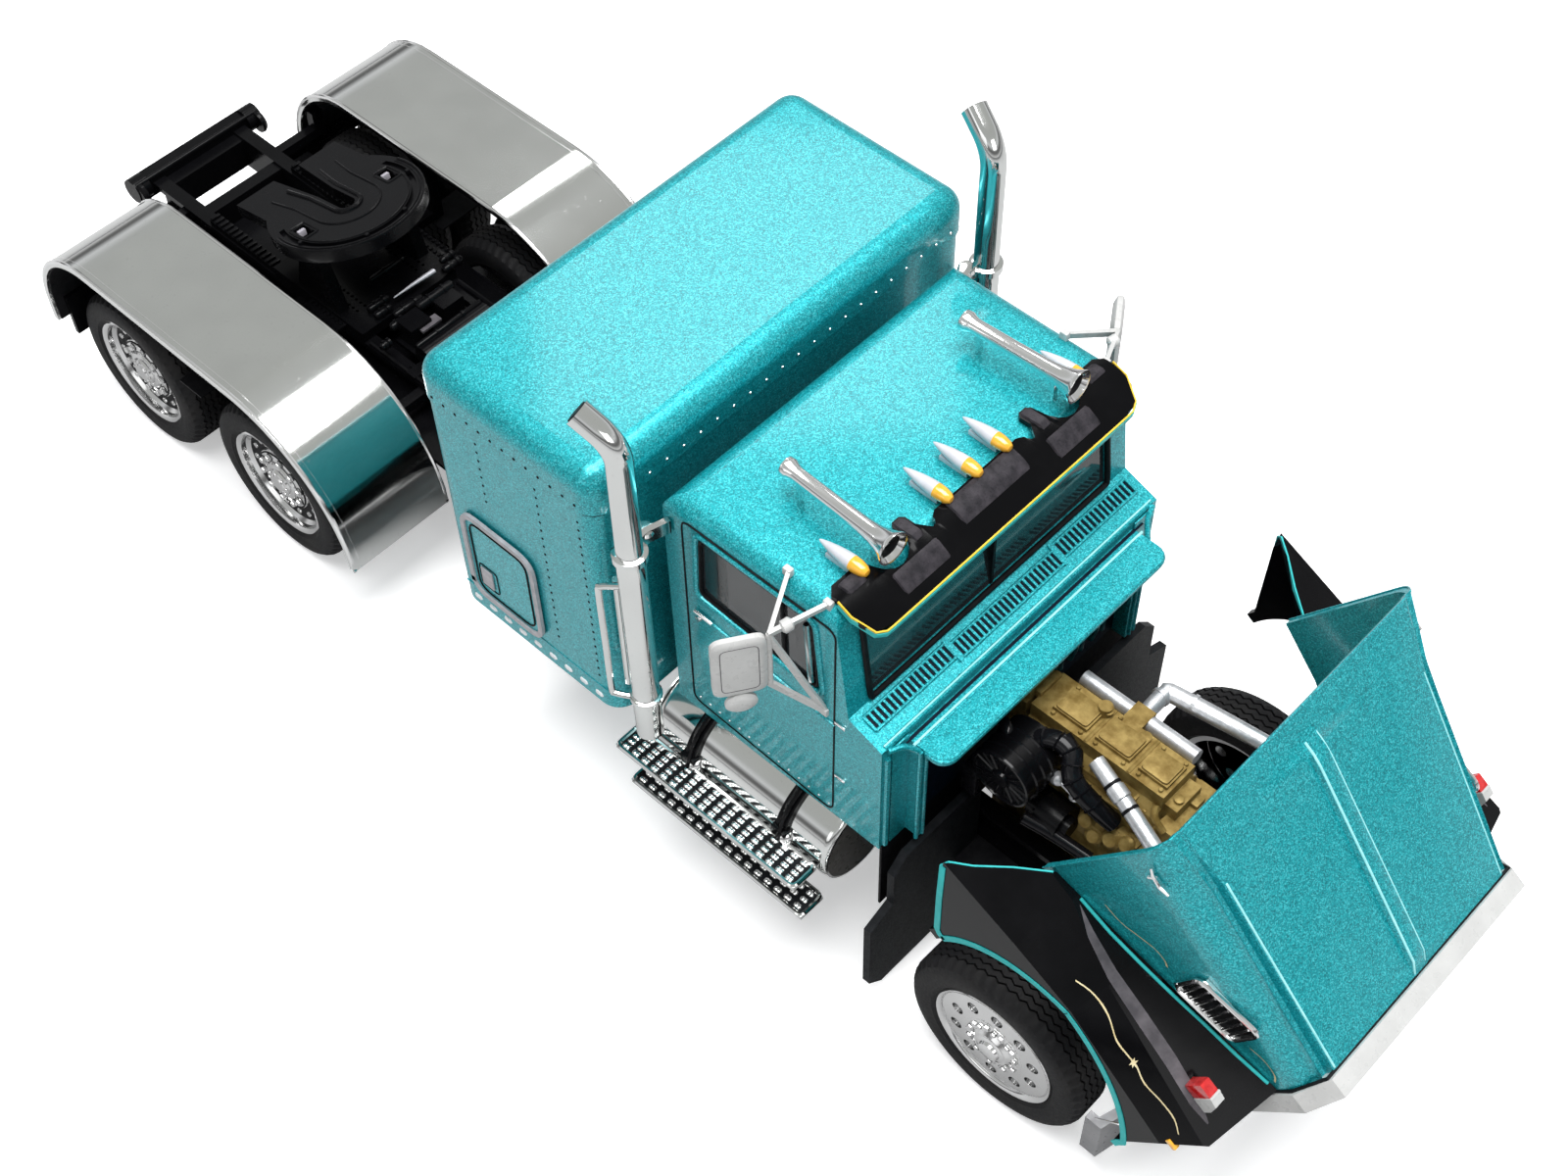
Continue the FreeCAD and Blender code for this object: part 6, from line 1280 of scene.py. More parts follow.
def fender_at(x, share, side, lift=0.0):
    """A place on a front fender: share 0 at the hood, 1 at the crease, 2 at the edge, 3 low."""
    def at(*row):
        return ease(x, list(zip(FENDER_STATIONS, row)))
    bends = [(12.42, at(19.4, 20.4, 21.2, 22.7)),
             (at(14.4, 14.9, 16.8, 18.5), at(19.3, 20.3, 20.5, 20.4)),
             (FENDER_OUT, at(17.3, 18.4, 18.9, 17.0)), (FENDER_OUT, 9.0)]
    k = min(int(share), 2)
    (y0, z0), (y1, z1) = bends[k], bends[k + 1]
    away = Vector((z0 - z1, y1 - y0)).normalized() * lift
    part = share - k
    return Vector((x, side * (y0 + (y1 - y0) * part + away.x), z0 + (z1 - z0) * part + away.y))


def painted(form, line, wide, side, place, lift=0.035, steps=4):
    """Painted line through (x, share) places of a surface; wide is in shares."""
    path = smooth_path([(x, share, 0) for x, share in line], steps)
    rows = []
    for i, point in enumerate(path):
        along = path[min(i + 1, len(path) - 1)] - path[max(i - 1, 0)]
        across = Vector((-along.y * 4, along.x / 4, 0)).normalized() * wide / 2
        rows.append([place(point.x + across.x * 2, point.y + across.y, side, lift),
                     place(point.x - across.x * 2, point.y - across.y, side, lift)])
    form.grid(rows)


class TRACTOR_OT_hood(bpy.types.Operator):
    """Creased hood skin, its vents, latches and painted lines"""
    bl_idname = "tractor.hood"
    bl_label = "Hood"

    def execute(self, context):
        self.skin()
        self.vents()
        self.lines()
        self.arches()
        self.nose()
        return {"FINISHED"}

    def rise(self, x):
        """Share of the raised spine's height along the hood."""
        return ease(x, ((-8.2, 0.0), (-6.6, 1.0), (10.6, 1.0), (11.6, 0.0)))

    def section(self, x, inset):
        """Half of the hood's section, from its low edge to its middle."""
        half, low, top, drop, crease = hood_at(x)
        low = max(low, TYRE_RADIUS + math.sqrt(max(TYRE_GAP ** 2 - x * x, 0.0)))
        half, top = half - inset, top - inset
        fade = ease(x, ((-8.0, 0.0), (-4.6, 1.0)))
        depth = GROOVE * fade
        shoulder = Vector((half, top - drop))
        ridge = Vector((crease + 0.7, top - 0.17 * drop))
        slope = (ridge - shoulder).normalized()
        inward = Vector((-slope.y, slope.x))
        points = [Vector((half, low)), Vector((half, low + (top - drop - low) * 0.5))]
        reach = 1.1
        start, end = shoulder - Vector((0, reach)), shoulder + slope * reach
        for t in (k / 5 for k in range(6)):
            points.append(start * (1 - t) ** 2 + shoulder * 2 * t * (1 - t) + end * t * t)
        for share in (0.3, 0.5, 0.7, 0.9):
            hollow = math.sin(math.pi * share) * 0.22 * fade
            points.append(end.lerp(ridge, share) + inward * hollow)
        rise = SPINE * self.rise(x)
        return points + [
            ridge + Vector((0.05, -0.05 * fade)), ridge + Vector((-0.28, -depth)),
            Vector((crease + 0.1, top - 0.17 * drop - depth * 0.8)),
            Vector((crease - 0.02, top - 0.05)), Vector((crease - 0.2, top)),
            Vector((crease * 0.5, top)), Vector((0.85, top)), Vector((0.68, top + rise * 0.85)),
            Vector((0.58, top + rise)), Vector((0.0, top + rise))]

    def skin(self):
        """The hood's shell, its rear edge and painted highlights along its spine and creases."""
        outer, inner = [], []
        for i in range(41):
            x = HOOD_STATIONS[0] + (HOOD_STATIONS[2] - HOOD_STATIONS[0]) * i / 40
            for rows, inset in ((outer, 0.0), (inner, 0.5)):
                half = self.section(x, inset)
                rows.append([(x, -p.x, p.y) for p in half]
                            + [(x, p.x, p.y) for p in reversed(half[:-1])])
        form = Form().grid(outer).grid(inner)
        for pair in ((outer[0], inner[0]), (outer[-1], inner[-1])):
            form.grid(pair)
        for end in (0, -1):
            form.grid([[row[end] for row in outer], [row[end] for row in inner]])
        form.piece("hood_skin", "teal_paint", "hood", OPENED, ("hood_shell",), 42)
        edge, painted_highlights = forms(2)
        edge.tube([(x - 0.02, y, z) for x, y, z in outer[0]], 0.08, 8)
        edge.piece("hood_rear_edge", "teal_paint", "hood", OPENED)
        for side in HANDS:
            spine, crest = [], []
            for i in range(20):
                x = -8.0 + 19.6 * i / 19
                _, _, top, _, crease = hood_at(x)
                spine.append((x, side * 0.64, top + SPINE * self.rise(x) - 0.02))
                if x > -5.0:
                    crest.append((x, side * (crease - 0.2), top - 0.01))
            # painted highlights: bright teal lines along the spine and the crease
            painted_highlights.tube(spine, 0.1 if side == RIGHT else 0.05, 6)
            painted_highlights.tube(crest, 0.09 if side == RIGHT else 0.05, 6)
        painted_highlights.piece("hood_painted_highlights", "teal_bright", "hood", OPENED)

    def vents(self):
        """Rounded frame with slanted slats on black."""
        bright, black = forms(2)
        outline = round_outline([(1.2, 22.3), (6.6, 23.2), (6.2, 26.9), (0.8, 25.9)], 0.8)
        inner = round_outline([(1.5, 22.7), (6.2, 23.5), (5.85, 26.5), (1.15, 25.6)], 0.6)
        for side in HANDS:
            bright.tube([hood_side(x, z, side, 0.3) for x, z in loop(outline)], 0.2, 8)
            black.add([hood_side(x, z, side, 0.27) for x, z in inner],
                      [tuple(range(len(inner)))])
            for i in range(8):
                x = 1.55 + 0.6 * i
                low = 22.75 + 0.15 * (x - 1.2)
                bright.tube([hood_side(x + 0.3, low, side, 0.3),
                             hood_side(x - 0.25, low + 2.95, side, 0.38)], 0.14, 6)
        bright.piece("hood_vent_slats", "bright_chrome", "hood", OPENED)
        black.piece("hood_vent_backs", "dark_recess", "hood", OPENED)

    def lines(self):
        """Pinstripes, teal borders and grey bands of painted sheen along the fenders' crease."""
        gold, teal, painted_sheen, amber = forms(4)
        stripe = [(-3.1, 1.55), (-1.5, 1.36), (0.2, 1.34), (2.0, 1.48), (3.4, 1.44), (4.3, 1.40),
                  (5.7, 1.46), (7.4, 1.34), (8.9, 1.29), (10.1, 1.41)]
        for side in HANDS:
            painted(gold, stripe, 0.045, side, fender_at)
            for x, dx, du in ((4.0, 0.5, 0.0), (4.0, 0.0, 0.13), (4.0, 0.3, 0.09)):
                gold.add([fender_at(x - dx, 1.42 - du, side, 0.05),
                          fender_at(x + 0.12, 1.42 - 0.03, side, 0.05),
                          fender_at(x + dx, 1.42 + du, side, 0.05),
                          fender_at(x - 0.12, 1.42 + 0.03, side, 0.05)], [(0, 1, 2, 3)])
            painted(gold, [(-6.3, 22.3), (-4.6, 22.3), (-3.2, 22.9), (-2.0, 23.4), (-0.9, 23.3),
                           (-0.3, 22.9)], 0.1, side, hood_side)
            painted(gold, [(7.6, 23.9), (8.8, 24.2), (10.2, 23.9), (10.9, 23.2)], 0.1, side,
                    hood_side)
            edge = ((-7.2, 0.75), (-5.6, 0.62), (-3.1, 0.46), (-0.7, 0.35), (1.9, 0.27),
                    (4.8, 0.18), (8.0, 0.11), (10.9, 0.04))
            teal.tube([fender_at(x, ease(x, edge), side, 0.02)
                       for x in (-7.2, -4.0, -1.0, 2.0, 5.0, 8.0, 10.9)], 0.13, 8)
            # painted sheen: a grey band on each fender's top next to the crease
            bounds = ((-6.9, 0.86, 0.84), (-4.9, 1.0, 0.82), (-1.9, 0.96, 0.76), (1.7, 0.92, 0.72),
                      (5.3, 0.89, 0.71), (8.6, 0.89, 0.74), (10.4, 0.84, 0.82))
            painted_sheen.grid([[fender_at(row[0], row[k], side, 0.03) for row in bounds] for k in (1, 2)])
            place, reach = fender_at(10.7, 1.72, side, -0.1), Vector((0.45, 0.25, 0.2))
            amber.block(place - reach, place + reach, 0.08)
        gold.piece("hood_pinstripes", "gold_line", "hood", OPENED)
        teal.piece("fender_border", "teal_stripe", "hood", OPENED)
        painted_sheen.piece("fender_painted_sheen", "band_grey", "hood", OPENED)
        amber.piece("fender_markers", "amber", "hood", OPENED)

    def arches(self):
        """Teal line along the trailing edge and the arch."""
        teal = Form()
        peak, foot = (-1.5, 18.3), (10.5, 12.4)
        for side in HANDS:
            y = side * FENDER_OUT
            path = [(-9.7, side * 14.6, 19.9), (-11.6, side * 16.3, 18.9),
                    (-13.4, side * 18.2, 17.9), (-14.6, side * 19.2, 17.35), (-14.6, y, 16.9),
                    (-12.2, y, 13.3), (-9.6, y, 9.6), (-9.1, y, 9.35), (-8.6, y, 9.4)]
            path += self.arc((-8.7, 9.3), peak, 9.7, y) + self.arc(peak, foot, 16.5, y)
            path += [(10.5, y, 11.6), (10.6, y, 10.95)]
            teal.ribbon([Vector(p) + Vector((0, side * 0.02, 0)) for p in path],
                        [self.spread(path, i) for i in range(len(path))], 0.5, 0.12)
        teal.piece("fender_arch_lines", "teal_stripe", "hood", OPENED)

    def spread(self, path, i):
        """Direction of a line's width: in the side wall, square to its run."""
        a, b = Vector(path[max(i - 1, 0)]), Vector(path[min(i + 1, len(path) - 1)])
        run = b - a
        return (-run.z, 0, run.x) if abs(run.x) + abs(run.z) > 1e-6 else UP

    def arc(self, start, end, radius, y, steps=14):
        """Points of an arc in the side wall, bulging up and outward."""
        a, b = Vector(start), Vector(end)
        chord = b - a
        normal = Vector((-chord.y, chord.x)).normalized()
        middle = (a + b) / 2 - normal * math.sqrt(radius ** 2 - (chord.length / 2) ** 2)
        angle = 2 * math.asin(chord.length / 2 / radius)
        points = []
        for k in range(steps + 1):
            spoke = a - middle
            turn = -angle * k / steps
            points.append((middle.x + spoke.x * math.cos(turn) - spoke.y * math.sin(turn), y,
                           middle.y + spoke.x * math.sin(turn) + spoke.y * math.cos(turn)))
        return points

    def nose(self):
        """Seam behind the surround, upright bright bars at the nose, latches, lamps' lids."""
        dark, bright, red, white = forms(4)
        half, low, top, drop, crease = hood_at(11.9)
        line = [(-half, low), (-half, top - drop), (-crease - 0.7, top - 0.1),
                (crease + 0.7, top - 0.1), (half, top - drop), (half, low)]
        dark.tube([(11.86, y, z + 0.05) for y, z in line], 0.17, 8)
        for side in HANDS:
            latch = [(-9.0, 31.3), (-8.4, 30.8), (-7.4, 30.5), (-6.6, 30.6)]
            bright.tube([hood_side(x, z, side, 0.25) for x, z in latch], [0.1, 0.14, 0.18, 0.12], 8)
            bright.tube([hood_side(-8.2, 30.0, side, 0.1), hood_side(-8.1, 30.7, side, 0.2)], 0.16,
                        8)
            y = side * 16.6
            red.block((7.2, y - 0.48, 20.9), (8.4, y + 0.48, 22.85), 0.14)
            white.block((8.35, y - 0.52, 20.9), (8.55, y + 0.52, 22.92), 0.05)
            white.grid([[(x, y + t * 0.5, z) for x, z in ((8.5, 20.9), (9.6, 20.9), (9.6, 21.7),
                                                          (9.2, 22.7), (8.5, 22.88))]
                        for t in (-1, 1)], closed=True, capped=True)
            centre = (12.1, side * 15.4, 15.0)
            bright.lathe([(-0.1, 1.95), (0.35, 1.95), (0.4, 1.7), (0.2, 1.6)], centre, AHEAD, 32)
            white.lathe([(0.0, 1.62), (0.3, 1.3), (0.39, 0.7), (0.42, 0.0)], centre, AHEAD, 24)
        for i in range(9):
            y = (i - 4) * 2.3
            bright.block((13.0, y - 0.24, low + 1.4), (13.25, y + 0.24, top - 1.2), 0.06)
        dark.piece("surround_seam", "dark_recess", "hood", OPENED)
        bright.piece("hood_brightwork", "bright_chrome", "hood", OPENED)
        red.piece("marker_lids", "red_lens", "hood", OPENED)
        white.piece("marker_bodies", "pearl_chrome", "hood", OPENED,
                    ("marker_lamps",))


# Engine bay

class TRACTOR_OT_engine(bpy.types.Operator):
    """Bolts, ribs and clips of the engine, air cleaner, hoses and pipes"""
    bl_idname = "tractor.engine"
    bl_label = "Engine bay"

    def execute(self, context):
        self.block()
        self.air()
        self.pipes()
        self.radiator()
        return {"FINISHED"}

    def block(self):
        """Covers with their seams and nuts, ribs, small castings at the front and side."""
        gold, dark = forms(2)
        for near, far in ((-1.3, 1.35), (-5.3, -2.1), (-9.3, -6.1)):
            outline = round_box((near + 0.15, -1.1), (far - 0.15, 1.1), 0.3, 3)
            gold.plate(outline, 27.9, 28.12, "z", 0.06)
            dark.tube(at_height(outline, 27.93), 0.05, 5)
            for x in (near + 0.3, far - 0.3):
                for y in (-1.5, 1.5):
                    gold.nut((x, y, 27.55), UP, 0.2, 0.28)
        for x in (-5.7, -1.7):
            gold.cross(x, 1.85, 27.5, 0.22)
        gold.lathe([(0, 0.5), (0.25, 0.5), (0.3, 0.34), (0.12, 0.3)], (-6.0, 1.2, 27.9), UP,
                   18)
        gold.lathe([(0, 0.5), (0.2, 0.5), (0.26, 0.3)], (-2.6, 1.4, 27.6), UP, 18)
        gold.block((-12.6, -1.5, 27.0), (-11.2, 1.5, 27.9), 0.3)
        gold.block((-11.2, -1.0, 27.1), (-10.6, 1.6, 28.0), 0.2)
        for side in HANDS:
            for i in range(6):
                x = -10.4 + 2.0 * i
                gold.block((x - 0.12, side * 2.0 - 0.5, 24.6), (x + 0.12, side * 2.0 + 0.5, 26.1),
                           0.05)
                gold.nut((x + 1.0, side * 2.3, 25.4), (0, side, 0.2), 0.2, 0.3)
        for x, y, z, r in ((-3.0, -4.1, 22.2, 0.75), (-2.0, -4.4, 21.4, 0.7),
                           (-0.6, -4.2, 22.3, 0.8), (0.6, -4.0, 22.6, 0.7),
                           (1.6, -3.6, 22.0, 0.65), (-2.5, -4.2, 20.9, 0.5)):
            gold.lathe([(-0.6 * r, 0.5 * r), (-0.3 * r, 0.9 * r), (0.3 * r, r), (0.7 * r, 0.7 * r),
                        (0.8 * r, 0)], (x, y, z), (0, -0.8, 0.6), 14)
        for x, y, z, dx, dy, dz in (
                (1.7, -1.2, 26.3, 0.9, 1.3, 0.7), (2.3, 0.3, 25.6, 1.0, 1.1, 0.7),
                (2.7, -1.9, 24.9, 0.6, 1.6, 0.5), (2.6, 1.2, 24.9, 0.7, 0.9, 0.5)):
            gold.block((x, y, z - dz), (x + dx, y + dy, z), 0.12)
        gold.lathe([(0, 0.4), (0.5, 0.4), (0.55, 0.25)], (2.2, -0.6, 26.2), UP, 12)
        gold.tube(smooth_path([(1.2, -2.0, 26.4), (1.6, -2.6, 25.8), (2.6, -2.7, 25.0)], 3), 0.3, 8)
        gold.piece("engine_details", "engine_gold", smooth=30)
        dark.piece("engine_seams", "gold_shade")

    def air(self):
        """Finned air cleaner face, black elbows and silver couplings."""
        black, silver = forms(2)
        centre = Vector((-9.0, -7.3, 25.4))
        for dx, dz in ring_of(18, 1.0):
            spoke = Vector((dx, 0, dz))
            black.tube([centre + spoke * 0.9, centre + spoke * 2.55], 0.14, 6)
        black.lathe([(0, 2.7), (0.18, 2.68), (0.22, 2.5), (0.05, 2.45)], centre, (0, -1, 0), 36)
        black.lathe([(0, 0.8), (0.3, 0.7), (0.34, 0)], centre, (0, -1, 0), 18)
        for back in (0.9, 1.8, 2.7):
            black.lathe([(-0.14, 2.68), (0, 2.82), (0.14, 2.68)], centre + Vector((0, back, 0)),
                        ACROSS, 36)
        elbow = smooth_path([(-9.0, -4.6, 26.0), (-8.2, -3.9, 27.6), (-6.9, -3.4, 28.1),
                             (-5.6, -3.5, 27.7), (-4.8, -4.4, 26.8), (-3.6, -4.6, 26.0),
                             (-2.2, -4.5, 25.2), (-0.9, -4.0, 24.0)], 4)
        black.tube(elbow, 0.8, 14)
        for k in range(2, len(elbow) - 4, 3):
            run = (elbow[k + 1] - elbow[k]).normalized()
            black.lathe([(-0.1, 0.8), (0, 0.92), (0.1, 0.8)], elbow[k], run, 16)
        black.tube(smooth_path([(-11.8, -4.2, 27.2), (-10.6, -4.9, 27.6), (-9.6, -5.6, 26.4)], 4),
                   0.5, 10)
        black.block((-12.4, -7.8, 21.0), (-10.9, -4.2, 24.4), 0.3)
        black.tube(smooth_path([(-7.0, -6.8, 21.4), (-4.5, -6.0, 20.6), (-1.5, -5.4, 19.8)], 4),
                   0.55, 10)
        for x, y, z, r in ((-6.0, -4.3, 25.0, 0.62), (-4.1, -4.6, 24.9, 0.5)):
            silver.lathe([(-r, 0.1 * r), (-0.7 * r, 0.7 * r), (0, r), (0.7 * r, 0.7 * r),
                          (r, 0.1 * r)], (x, y, z), (0.6, -0.5, 0.5), 16)
        silver.tube([(-6.0, -4.3, 25.0), (-4.1, -4.6, 24.9)], 0.24, 8)
        black.piece("air_intake", "gloss_rubber", smooth=40)
        silver.piece("air_couplings", "pipe_silver")

    def pipes(self):
        """Clamps, sleeves and elbows of the silver pipes."""
        silver, black = forms(2)
        right = [Vector(p) for p in ((-4.0, -2.7, 27.7), (-0.35, -3.6, 26.7), (3.8, -4.8, 25.6),
                                     (8.0, -6.0, 23.6))]
        for share, segment in ((0.55, 0), (0.12, 1)):
            a, b = right[segment], right[segment + 1]
            axis = (b - a).normalized()
            place = a.lerp(b, share)
            black.lathe([(-0.13, 0.6), (-0.13, 0.72), (0.13, 0.72), (0.13, 0.6)], place, axis, 16)
        a, b = right[0], right[1]
        silver.lathe([(0.0, 0.74), (1.0, 0.76), (1.1, 0.68)], a.lerp(b, 0.62), (b - a).normalized(),
                     18)
        silver.lathe([(-0.5, 0.74), (0.2, 0.74)], right[3] - (right[3] - right[2]) * 0.25,
                     (right[3] - right[2]).normalized(), 18)
        left = smooth_path([(-4.35, 4.2, 26.4), (-4.35, 6.3, 26.4), (-3.6, 6.8, 26.4),
                            (3.2, 7.9, 26.05), (4.2, 8.0, 25.8), (7.4, 8.2, 24.2)], 4)
        silver.tube(left, 0.68, 14)
        for k in (3, 9, 16):
            run = (left[k + 1] - left[k]).normalized()
            silver.lathe([(-0.15, 0.66), (-0.15, 0.8), (0.15, 0.8), (0.15, 0.66)], left[k], run, 16)
        silver.tube([(2.9, 2.0, 22.5), (6.8, 4.4, 22.2)], 0.45, 10)
        silver.tube([(2.9, 3.1, 22.7), (6.8, 5.4, 22.4)], 0.3, 10)
        silver.piece("pipe_sleeves", "pipe_silver")
        black.piece("pipe_clamps", "panel_black")

    def radiator(self):
        """Tank, fins, shroud and fan."""
        core, hub = Form(), Vector((6.2, 0, 20.6))
        core.block((7.2, -9.3, 25.0), (9.4, 9.3, 25.9), 0.25)
        for i in range(37):
            y = -9.0 + 0.5 * i
            core.block((7.2, y - 0.12, 16.6), (7.38, y + 0.12, 25.0))
        core.lathe([(0, 3.9), (1.1, 3.9), (1.1, 3.6), (0, 3.6)], (5.9, 0.0, hub.z), AHEAD, 40)
        for dy, dz in ring_of(7, 1.0):
            spoke = Vector((0, dy, dz))
            core.ribbon([hub + spoke * 0.6, hub + spoke * 3.4], (0.5, -spoke.z, spoke.y), 1.1, 0.15)
        core.piece("radiator_core", "panel_black")


# Fifth wheel, its slider and the rear bar

PLATE_X, PLATE_PIVOT, PLATE_TOP = -92.6, 23.0, 25.2


class TRACTOR_OT_deck(bpy.types.Operator):
    """Fifth wheel rims, slider teeth, air gear and the rear bar"""
    bl_idname = "tractor.deck"
    bl_label = "Deck"

    def execute(self, context):
        self.plate()
        self.gear()
        self.bar()
        return {"FINISHED"}

    def arc(self, radius, reach, z=PLATE_TOP):
        """Points round the plate's middle, from one angle to the other across its front."""
        return [(PLATE_X + radius * math.cos(a), radius * math.sin(a), z)
                for a in (math.radians(reach * (k - 12) / 12) for k in range(25))]

    def plate(self):
        """Modelled flat, then tipped as the plate rests."""
        tip = turn_about((PLATE_X, 0, PLATE_PIVOT), -12.5)
        rims, inserts = forms(2)
        for radius, size in ((7.34, 0.15), (6.98, 0.1), (5.95, 0.1)):
            rims.tube(self.arc(radius, 100), size, 8)
        for reach, size in ((1.4, 0.24), (3.3, 0.12)):
            path = [(-99.2, -reach - 0.5, PLATE_TOP), (-96.2, -reach - 0.05, PLATE_TOP)]
            path += self.arc(reach, 90) + [(x, -y, z) for x, y, z in reversed(path)]
            rims.tube(path, size, 8)
        for side in HANDS:
            middle = side * 5.0
            rims.tube(at_height(round_box((-93.8, middle - 0.85), (-91.4, middle + 0.85), 0.25, 3),
                                PLATE_TOP), 0.11, 6)
            inserts.block((-93.3, middle - 0.4, PLATE_TOP - 0.7),
                          (-92.9, middle + 0.4, PLATE_TOP - 0.1), 0.08)
            for x in (-101.6, -99.4):
                rims.tube([(x, side * 2.0, 24.6), (x, side * 5.6, 24.6)], 0.1, 6)
            for angle in (20, 78):
                a = math.radians(angle)
                rims.nut((PLATE_X + 6.5 * math.cos(a), side * 6.5 * math.sin(a), PLATE_TOP - 0.3),
                         UP, 0.26, 0.5)
        rims.piece("plate_rims", "chassis_black", "fifth_wheel", tip, smooth=40)
        inserts.piece("plate_inserts", "link_grey", "fifth_wheel", tip)

    def gear(self):
        """Toothed slider rails, cylinders across the deck, deck fittings."""
        black, bright = forms(2)
        for side in HANDS:
            for i in range(14):
                x = -109.0 + 0.7 * i
                black.block((x, side * 5.0 - 0.5, 16.6), (x + 0.32, side * 5.0 + 0.5, 16.95), 0.05)
            for middle, wide in ((6.5, 0.8), (3.6, 0.9)):
                black.block((-93.4, side * middle - wide, 16.5),
                            (-88.4, side * middle + wide, 16.9), 0.1)
                for i in range(8):
                    for off in (-0.45, 0.45):
                        black.nut((-93.0 + 0.6 * i, side * middle + off, 16.85), UP, 0.2,
                                  0.25, 8)
            for i in range(9):
                x = -80.5 + 2.6 * i
                black.nut((x, side * 4.72, 15.95), UP, 0.28, 0.35)
            black.tube([(-85.5, side * 5.35, 16.1), (-70.5, side * 5.35, 16.1)], 0.3, 8)
        for x, near, far, z, size in (
                (-83.9, -0.7, 3.6, 18.3, 0.5), (-87.8, -3.5, -1.1, 17.4, 0.42),
                (-86.7, -3.6, -1.7, 17.4, 0.42), (-84.2, -3.8, -2.0, 17.8, 0.42),
                (-86.2, 4.4, 6.7, 17.8, 0.42), (-87.3, 5.0, 6.7, 17.8, 0.36),
                (-91.0, -0.6, 4.7, 17.0, 0.3), (-82.9, -6.1, -4.9, 17.9, 0.4),
                (-85.4, -2.4, 1.0, 17.5, 0.4), (-80.4, -3.9, 3.9, 18.1, 0.3)):
            black.lathe([(0, size * 0.6), (0.2, size), (far - near - 0.2, size),
                         (far - near, size * 0.6)], (x, near, z), ACROSS, 14)
            for place in (0.3, 0.7):
                black.lathe([(0, size + 0.1), (0.25, size + 0.1)],
                            (x, near + (far - near) * place, z), ACROSS, 14)
        bright.tube([(-86.7, -1.2, 18.1), (-86.6, 1.0, 18.2), (-86.4, 3.5, 18.3)],
                    [0.12, 0.34, 0.52], 10, 0.5)
        plate = Form().block((-82.5, -2.2, 17.7), (-81.5, 0.1, 18.0), 0.06)
        plate.piece("deck_plate", "band_grey")
        black.piece("deck_gear", "chassis_black", smooth=40)
        bright.piece("deck_fittings", "lamp_silver")

    def bar(self):
        """Two tubes and the round pods of the rear bar."""
        bar = Form()
        for x, z in ((-118.3, 16.6), (-119.85, 16.2), (-119.85, 15.0)):
            bar.cross(x, 7.5, z, 0.26, 10)
        for y in (-6.6, -4.9, -3.3, 3.3, 4.9, 6.6):
            bar.lathe([(0, 0.62), (0.7, 0.62), (0.85, 0.45), (0.85, 0)], (-119.2, y, 15.3),
                      (-1, 0, 0), 18)
        for side in HANDS:
            bar.lathe([(0, 1.15), (0.3, 1.2), (0.6, 1.0), (0.6, 0)], (-117.9, side * 7.0, 15.6),
                      (0, side, 0), 24)
        bar.piece("rear_bar_tubes", "chassis_black", smooth=40)
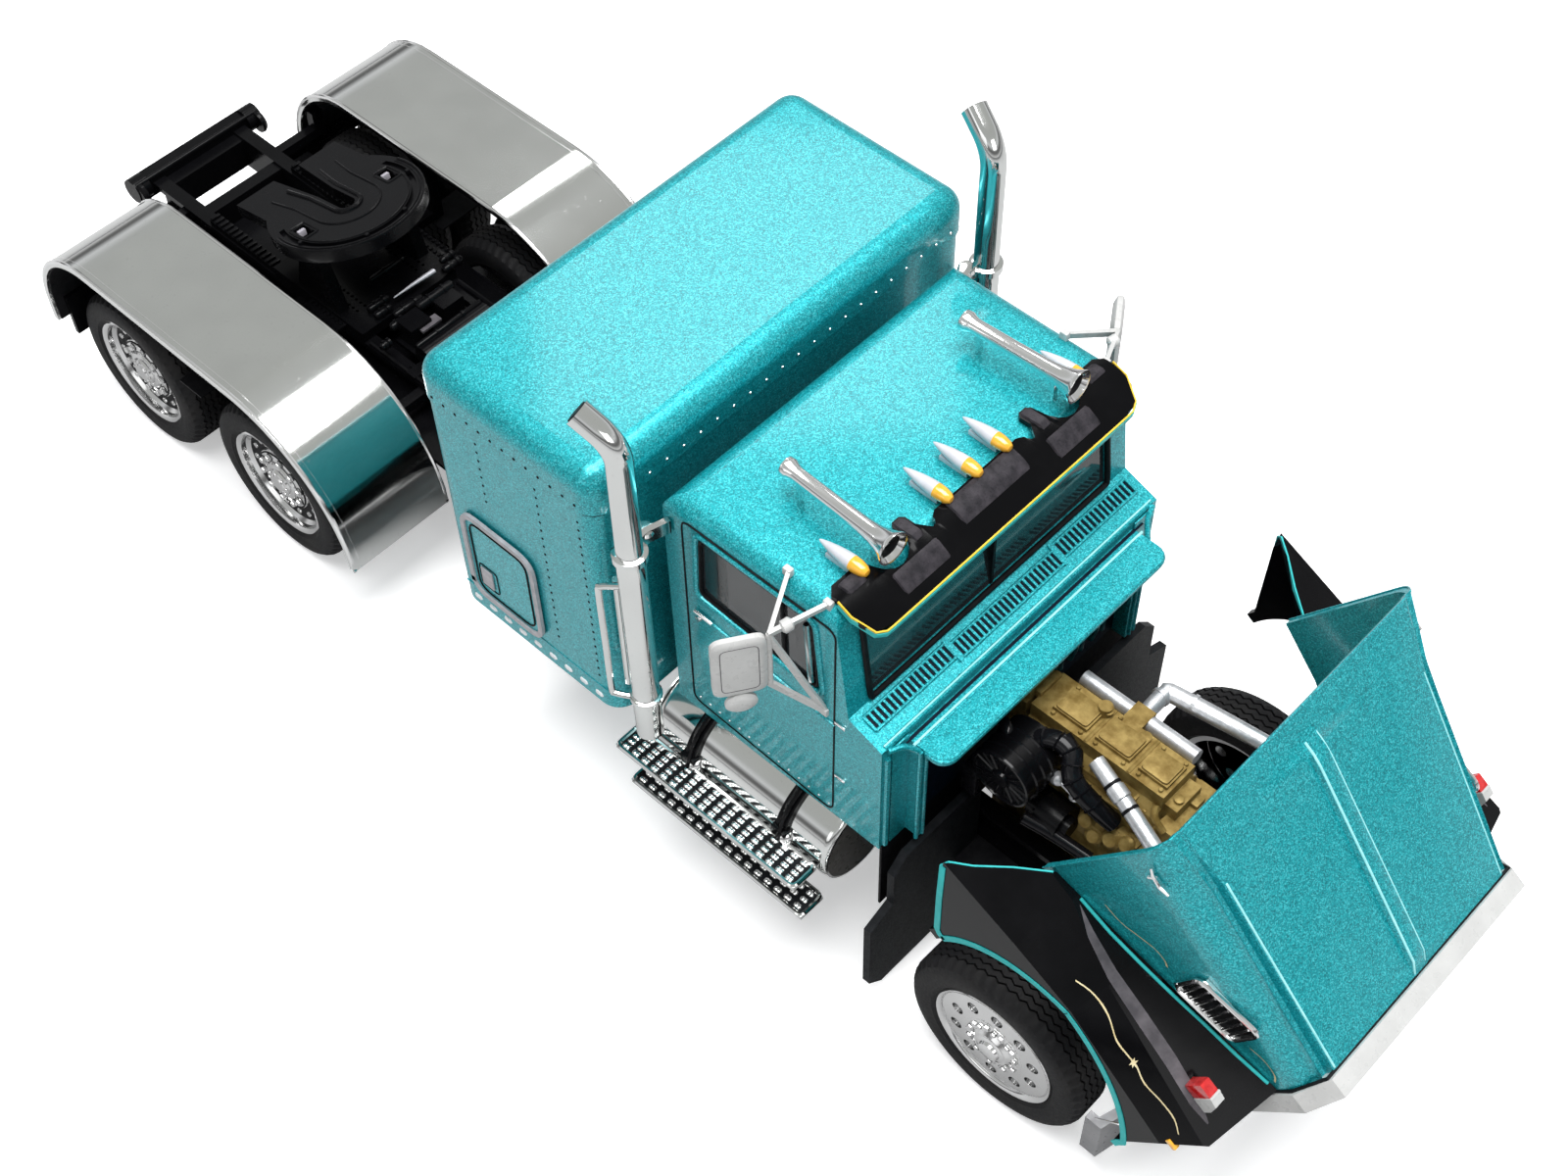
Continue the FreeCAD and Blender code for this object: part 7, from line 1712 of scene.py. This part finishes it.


# Tanks, steps, bumper and the dark plates of painted shade under the body

class TRACTOR_OT_sides(bpy.types.Operator):
    """Studded steps, strap brackets, tank ends and black plates of painted shade in the chassis's
    gaps
    """
    bl_idname = "tractor.sides"
    bl_label = "Tanks and steps"
    tank_y, tank_z = 13.6, 15.6

    def execute(self, context):
        self.steps()
        self.tanks()
        self.plates()
        return {"FINISHED"}

    def steps(self):
        """Raised studs in rows on black treads with bright rims."""
        studs, treads, rims = forms(3)
        for side in HANDS:
            for back, front, top, rows, count in ((-37.3, -17.9, 15.7, 4, 18),
                                                  (-35.9, -17.2, 12.0, 3, 17)):
                inner, outer = 18.2, 20.65
                outline = round_box((back, side * inner), (front, side * outer), 0.5, 4)
                treads.plate(outline, top + 0.01, top + 0.05, "z")
                rims.tube(at_height(outline, top - 0.03), 0.22, 8)
                for r in range(rows):
                    y = side * (inner + (outer - inner) * (r + 0.7) / (rows + 0.4))
                    for c in range(count):
                        x = back + (front - back) * (c + 0.7) / (count + 0.4)
                        for shift in (-0.12, 0.14):
                            studs.dome((x + shift, y, top + 0.03), UP, 0.27, 0.18, 8)
        studs.piece("step_studs", "bright_chrome")
        treads.piece("step_treads", "dark_recess")
        rims.piece("step_rims", "chrome")

    def tanks(self):
        """Dark end caps, strap brackets and their clamps."""
        ends, black, bright = forms(3)
        for side in HANDS:
            middle = side * self.tank_y
            for x, way in ((-17.25, 1), (-36.15, -1)):
                ends.lathe([(0, 3.95), (0.06, 3.9), (0.1, 3.2), (0.12, 0)],
                           (x, middle, self.tank_z), (way, 0, 0), 36)
                bright.lathe([(0, 4.1), (0.1, 4.12), (0.12, 3.92), (0, 3.9)],
                             (x - way * 0.02, middle, self.tank_z), (way, 0, 0), 36)
            for x in (-31.7, -21.8):
                y = side * 17.9
                black.block(*corners((x - 0.75, y - side * 1.1, 15.5),
                                     (x + 0.75, y + side * 0.4, 16.9)), 0.2)
                black.tube(smooth_path([(x, side * 15.6, 19.8), (x, side * 16.9, 18.8),
                                        (x, side * 17.7, 17.2), (x, side * 18.1, 15.9)], 4),
                           [0.5] * 9 + [0.62] * 4, 8, 0.5)
                bright.lathe([(0, 0.55), (0.4, 0.5), (0.5, 0.3), (0.5, 0)],
                             (x + 0.5, y, 16.0), (0.7, side * 0.5, 0.5), 14)
        ends.piece("tank_ends", "tank_grey")
        black.piece("strap_brackets", "chassis_black")
        bright.piece("tank_brightwork", "bright_chrome")

    def plates(self):
        """Black plates as painted shade between the rails and the wheels, and below the firewall.
        """
        dark, flange = forms(2)
        for side in HANDS:
            # painted shade: black sheets where the floor would show through gaps in shade
            for x0, x1, y0, y1, z0, z1 in ((-20.0, -13.0, 5.6, 11.0, 11.9, 12.1),
                                           (-12.9, -7.0, 5.6, 8.6, 11.9, 12.1),
                                           (-13.6, -13.4, 5.6, 15.6, 12.0, 20.6),
                                           (-96.8, -93.6, 10.2, 19.4, 14.0, 14.2),
                                           (-116.0, -111.5, 6.0, 9.8, 11.9, 12.1)):
                dark.block(*corners((x0, side * y0, z0), (x1, side * y1, z1)))
        path = [(9.3, -16.6), (11.2, -15.6), (13.0, -8.0), (13.15, 0), (13.0, 8.0), (11.2, 15.6),
                (9.3, 16.6)]
        flange.tube([(x, y, 7.92) for x, y in path], 0.1, 6)
        dark.piece("painted_shade_plates", "panel_black")
        flange.piece("bumper_edge", "bright_chrome")


OPERATORS = [TRACTOR_OT_stage, TRACTOR_OT_finishes, TRACTOR_OT_tyres, TRACTOR_OT_wheels,
             TRACTOR_OT_rear_fenders, TRACTOR_OT_sleeper, TRACTOR_OT_visor, TRACTOR_OT_roof_gear,
             TRACTOR_OT_stacks, TRACTOR_OT_mirrors, TRACTOR_OT_cab, TRACTOR_OT_hood,
             TRACTOR_OT_engine, TRACTOR_OT_deck, TRACTOR_OT_sides]


class TRACTOR_PT_panel(bpy.types.Panel):
    """Lists the steps that dress the model"""
    bl_idname = "TRACTOR_PT_panel"
    bl_label = "Tractor"
    bl_space_type = "VIEW_3D"
    bl_region_type = "UI"
    bl_category = "Tractor"

    def draw(self, context):
        look = context.scene.tractor_look
        for word in ("paint_deep", "paint_bright", "flake", "lamp_strength"):
            self.layout.prop(look, word)
        for operator in OPERATORS:
            self.layout.operator(operator.bl_idname)


CLASSES = [TractorLook, *OPERATORS, TRACTOR_PT_panel]


def register():
    for item in CLASSES:
        bpy.utils.register_class(item)
    bpy.types.Scene.tractor_look = PointerProperty(type=TractorLook)


def unregister():
    del bpy.types.Scene.tractor_look
    for item in reversed(CLASSES):
        bpy.utils.unregister_class(item)


def main():
    register()
    for operator in OPERATORS:
        group, word = operator.bl_idname.split(".")
        getattr(getattr(bpy.ops, group), word)()


if __name__ == "__main__":
    main()
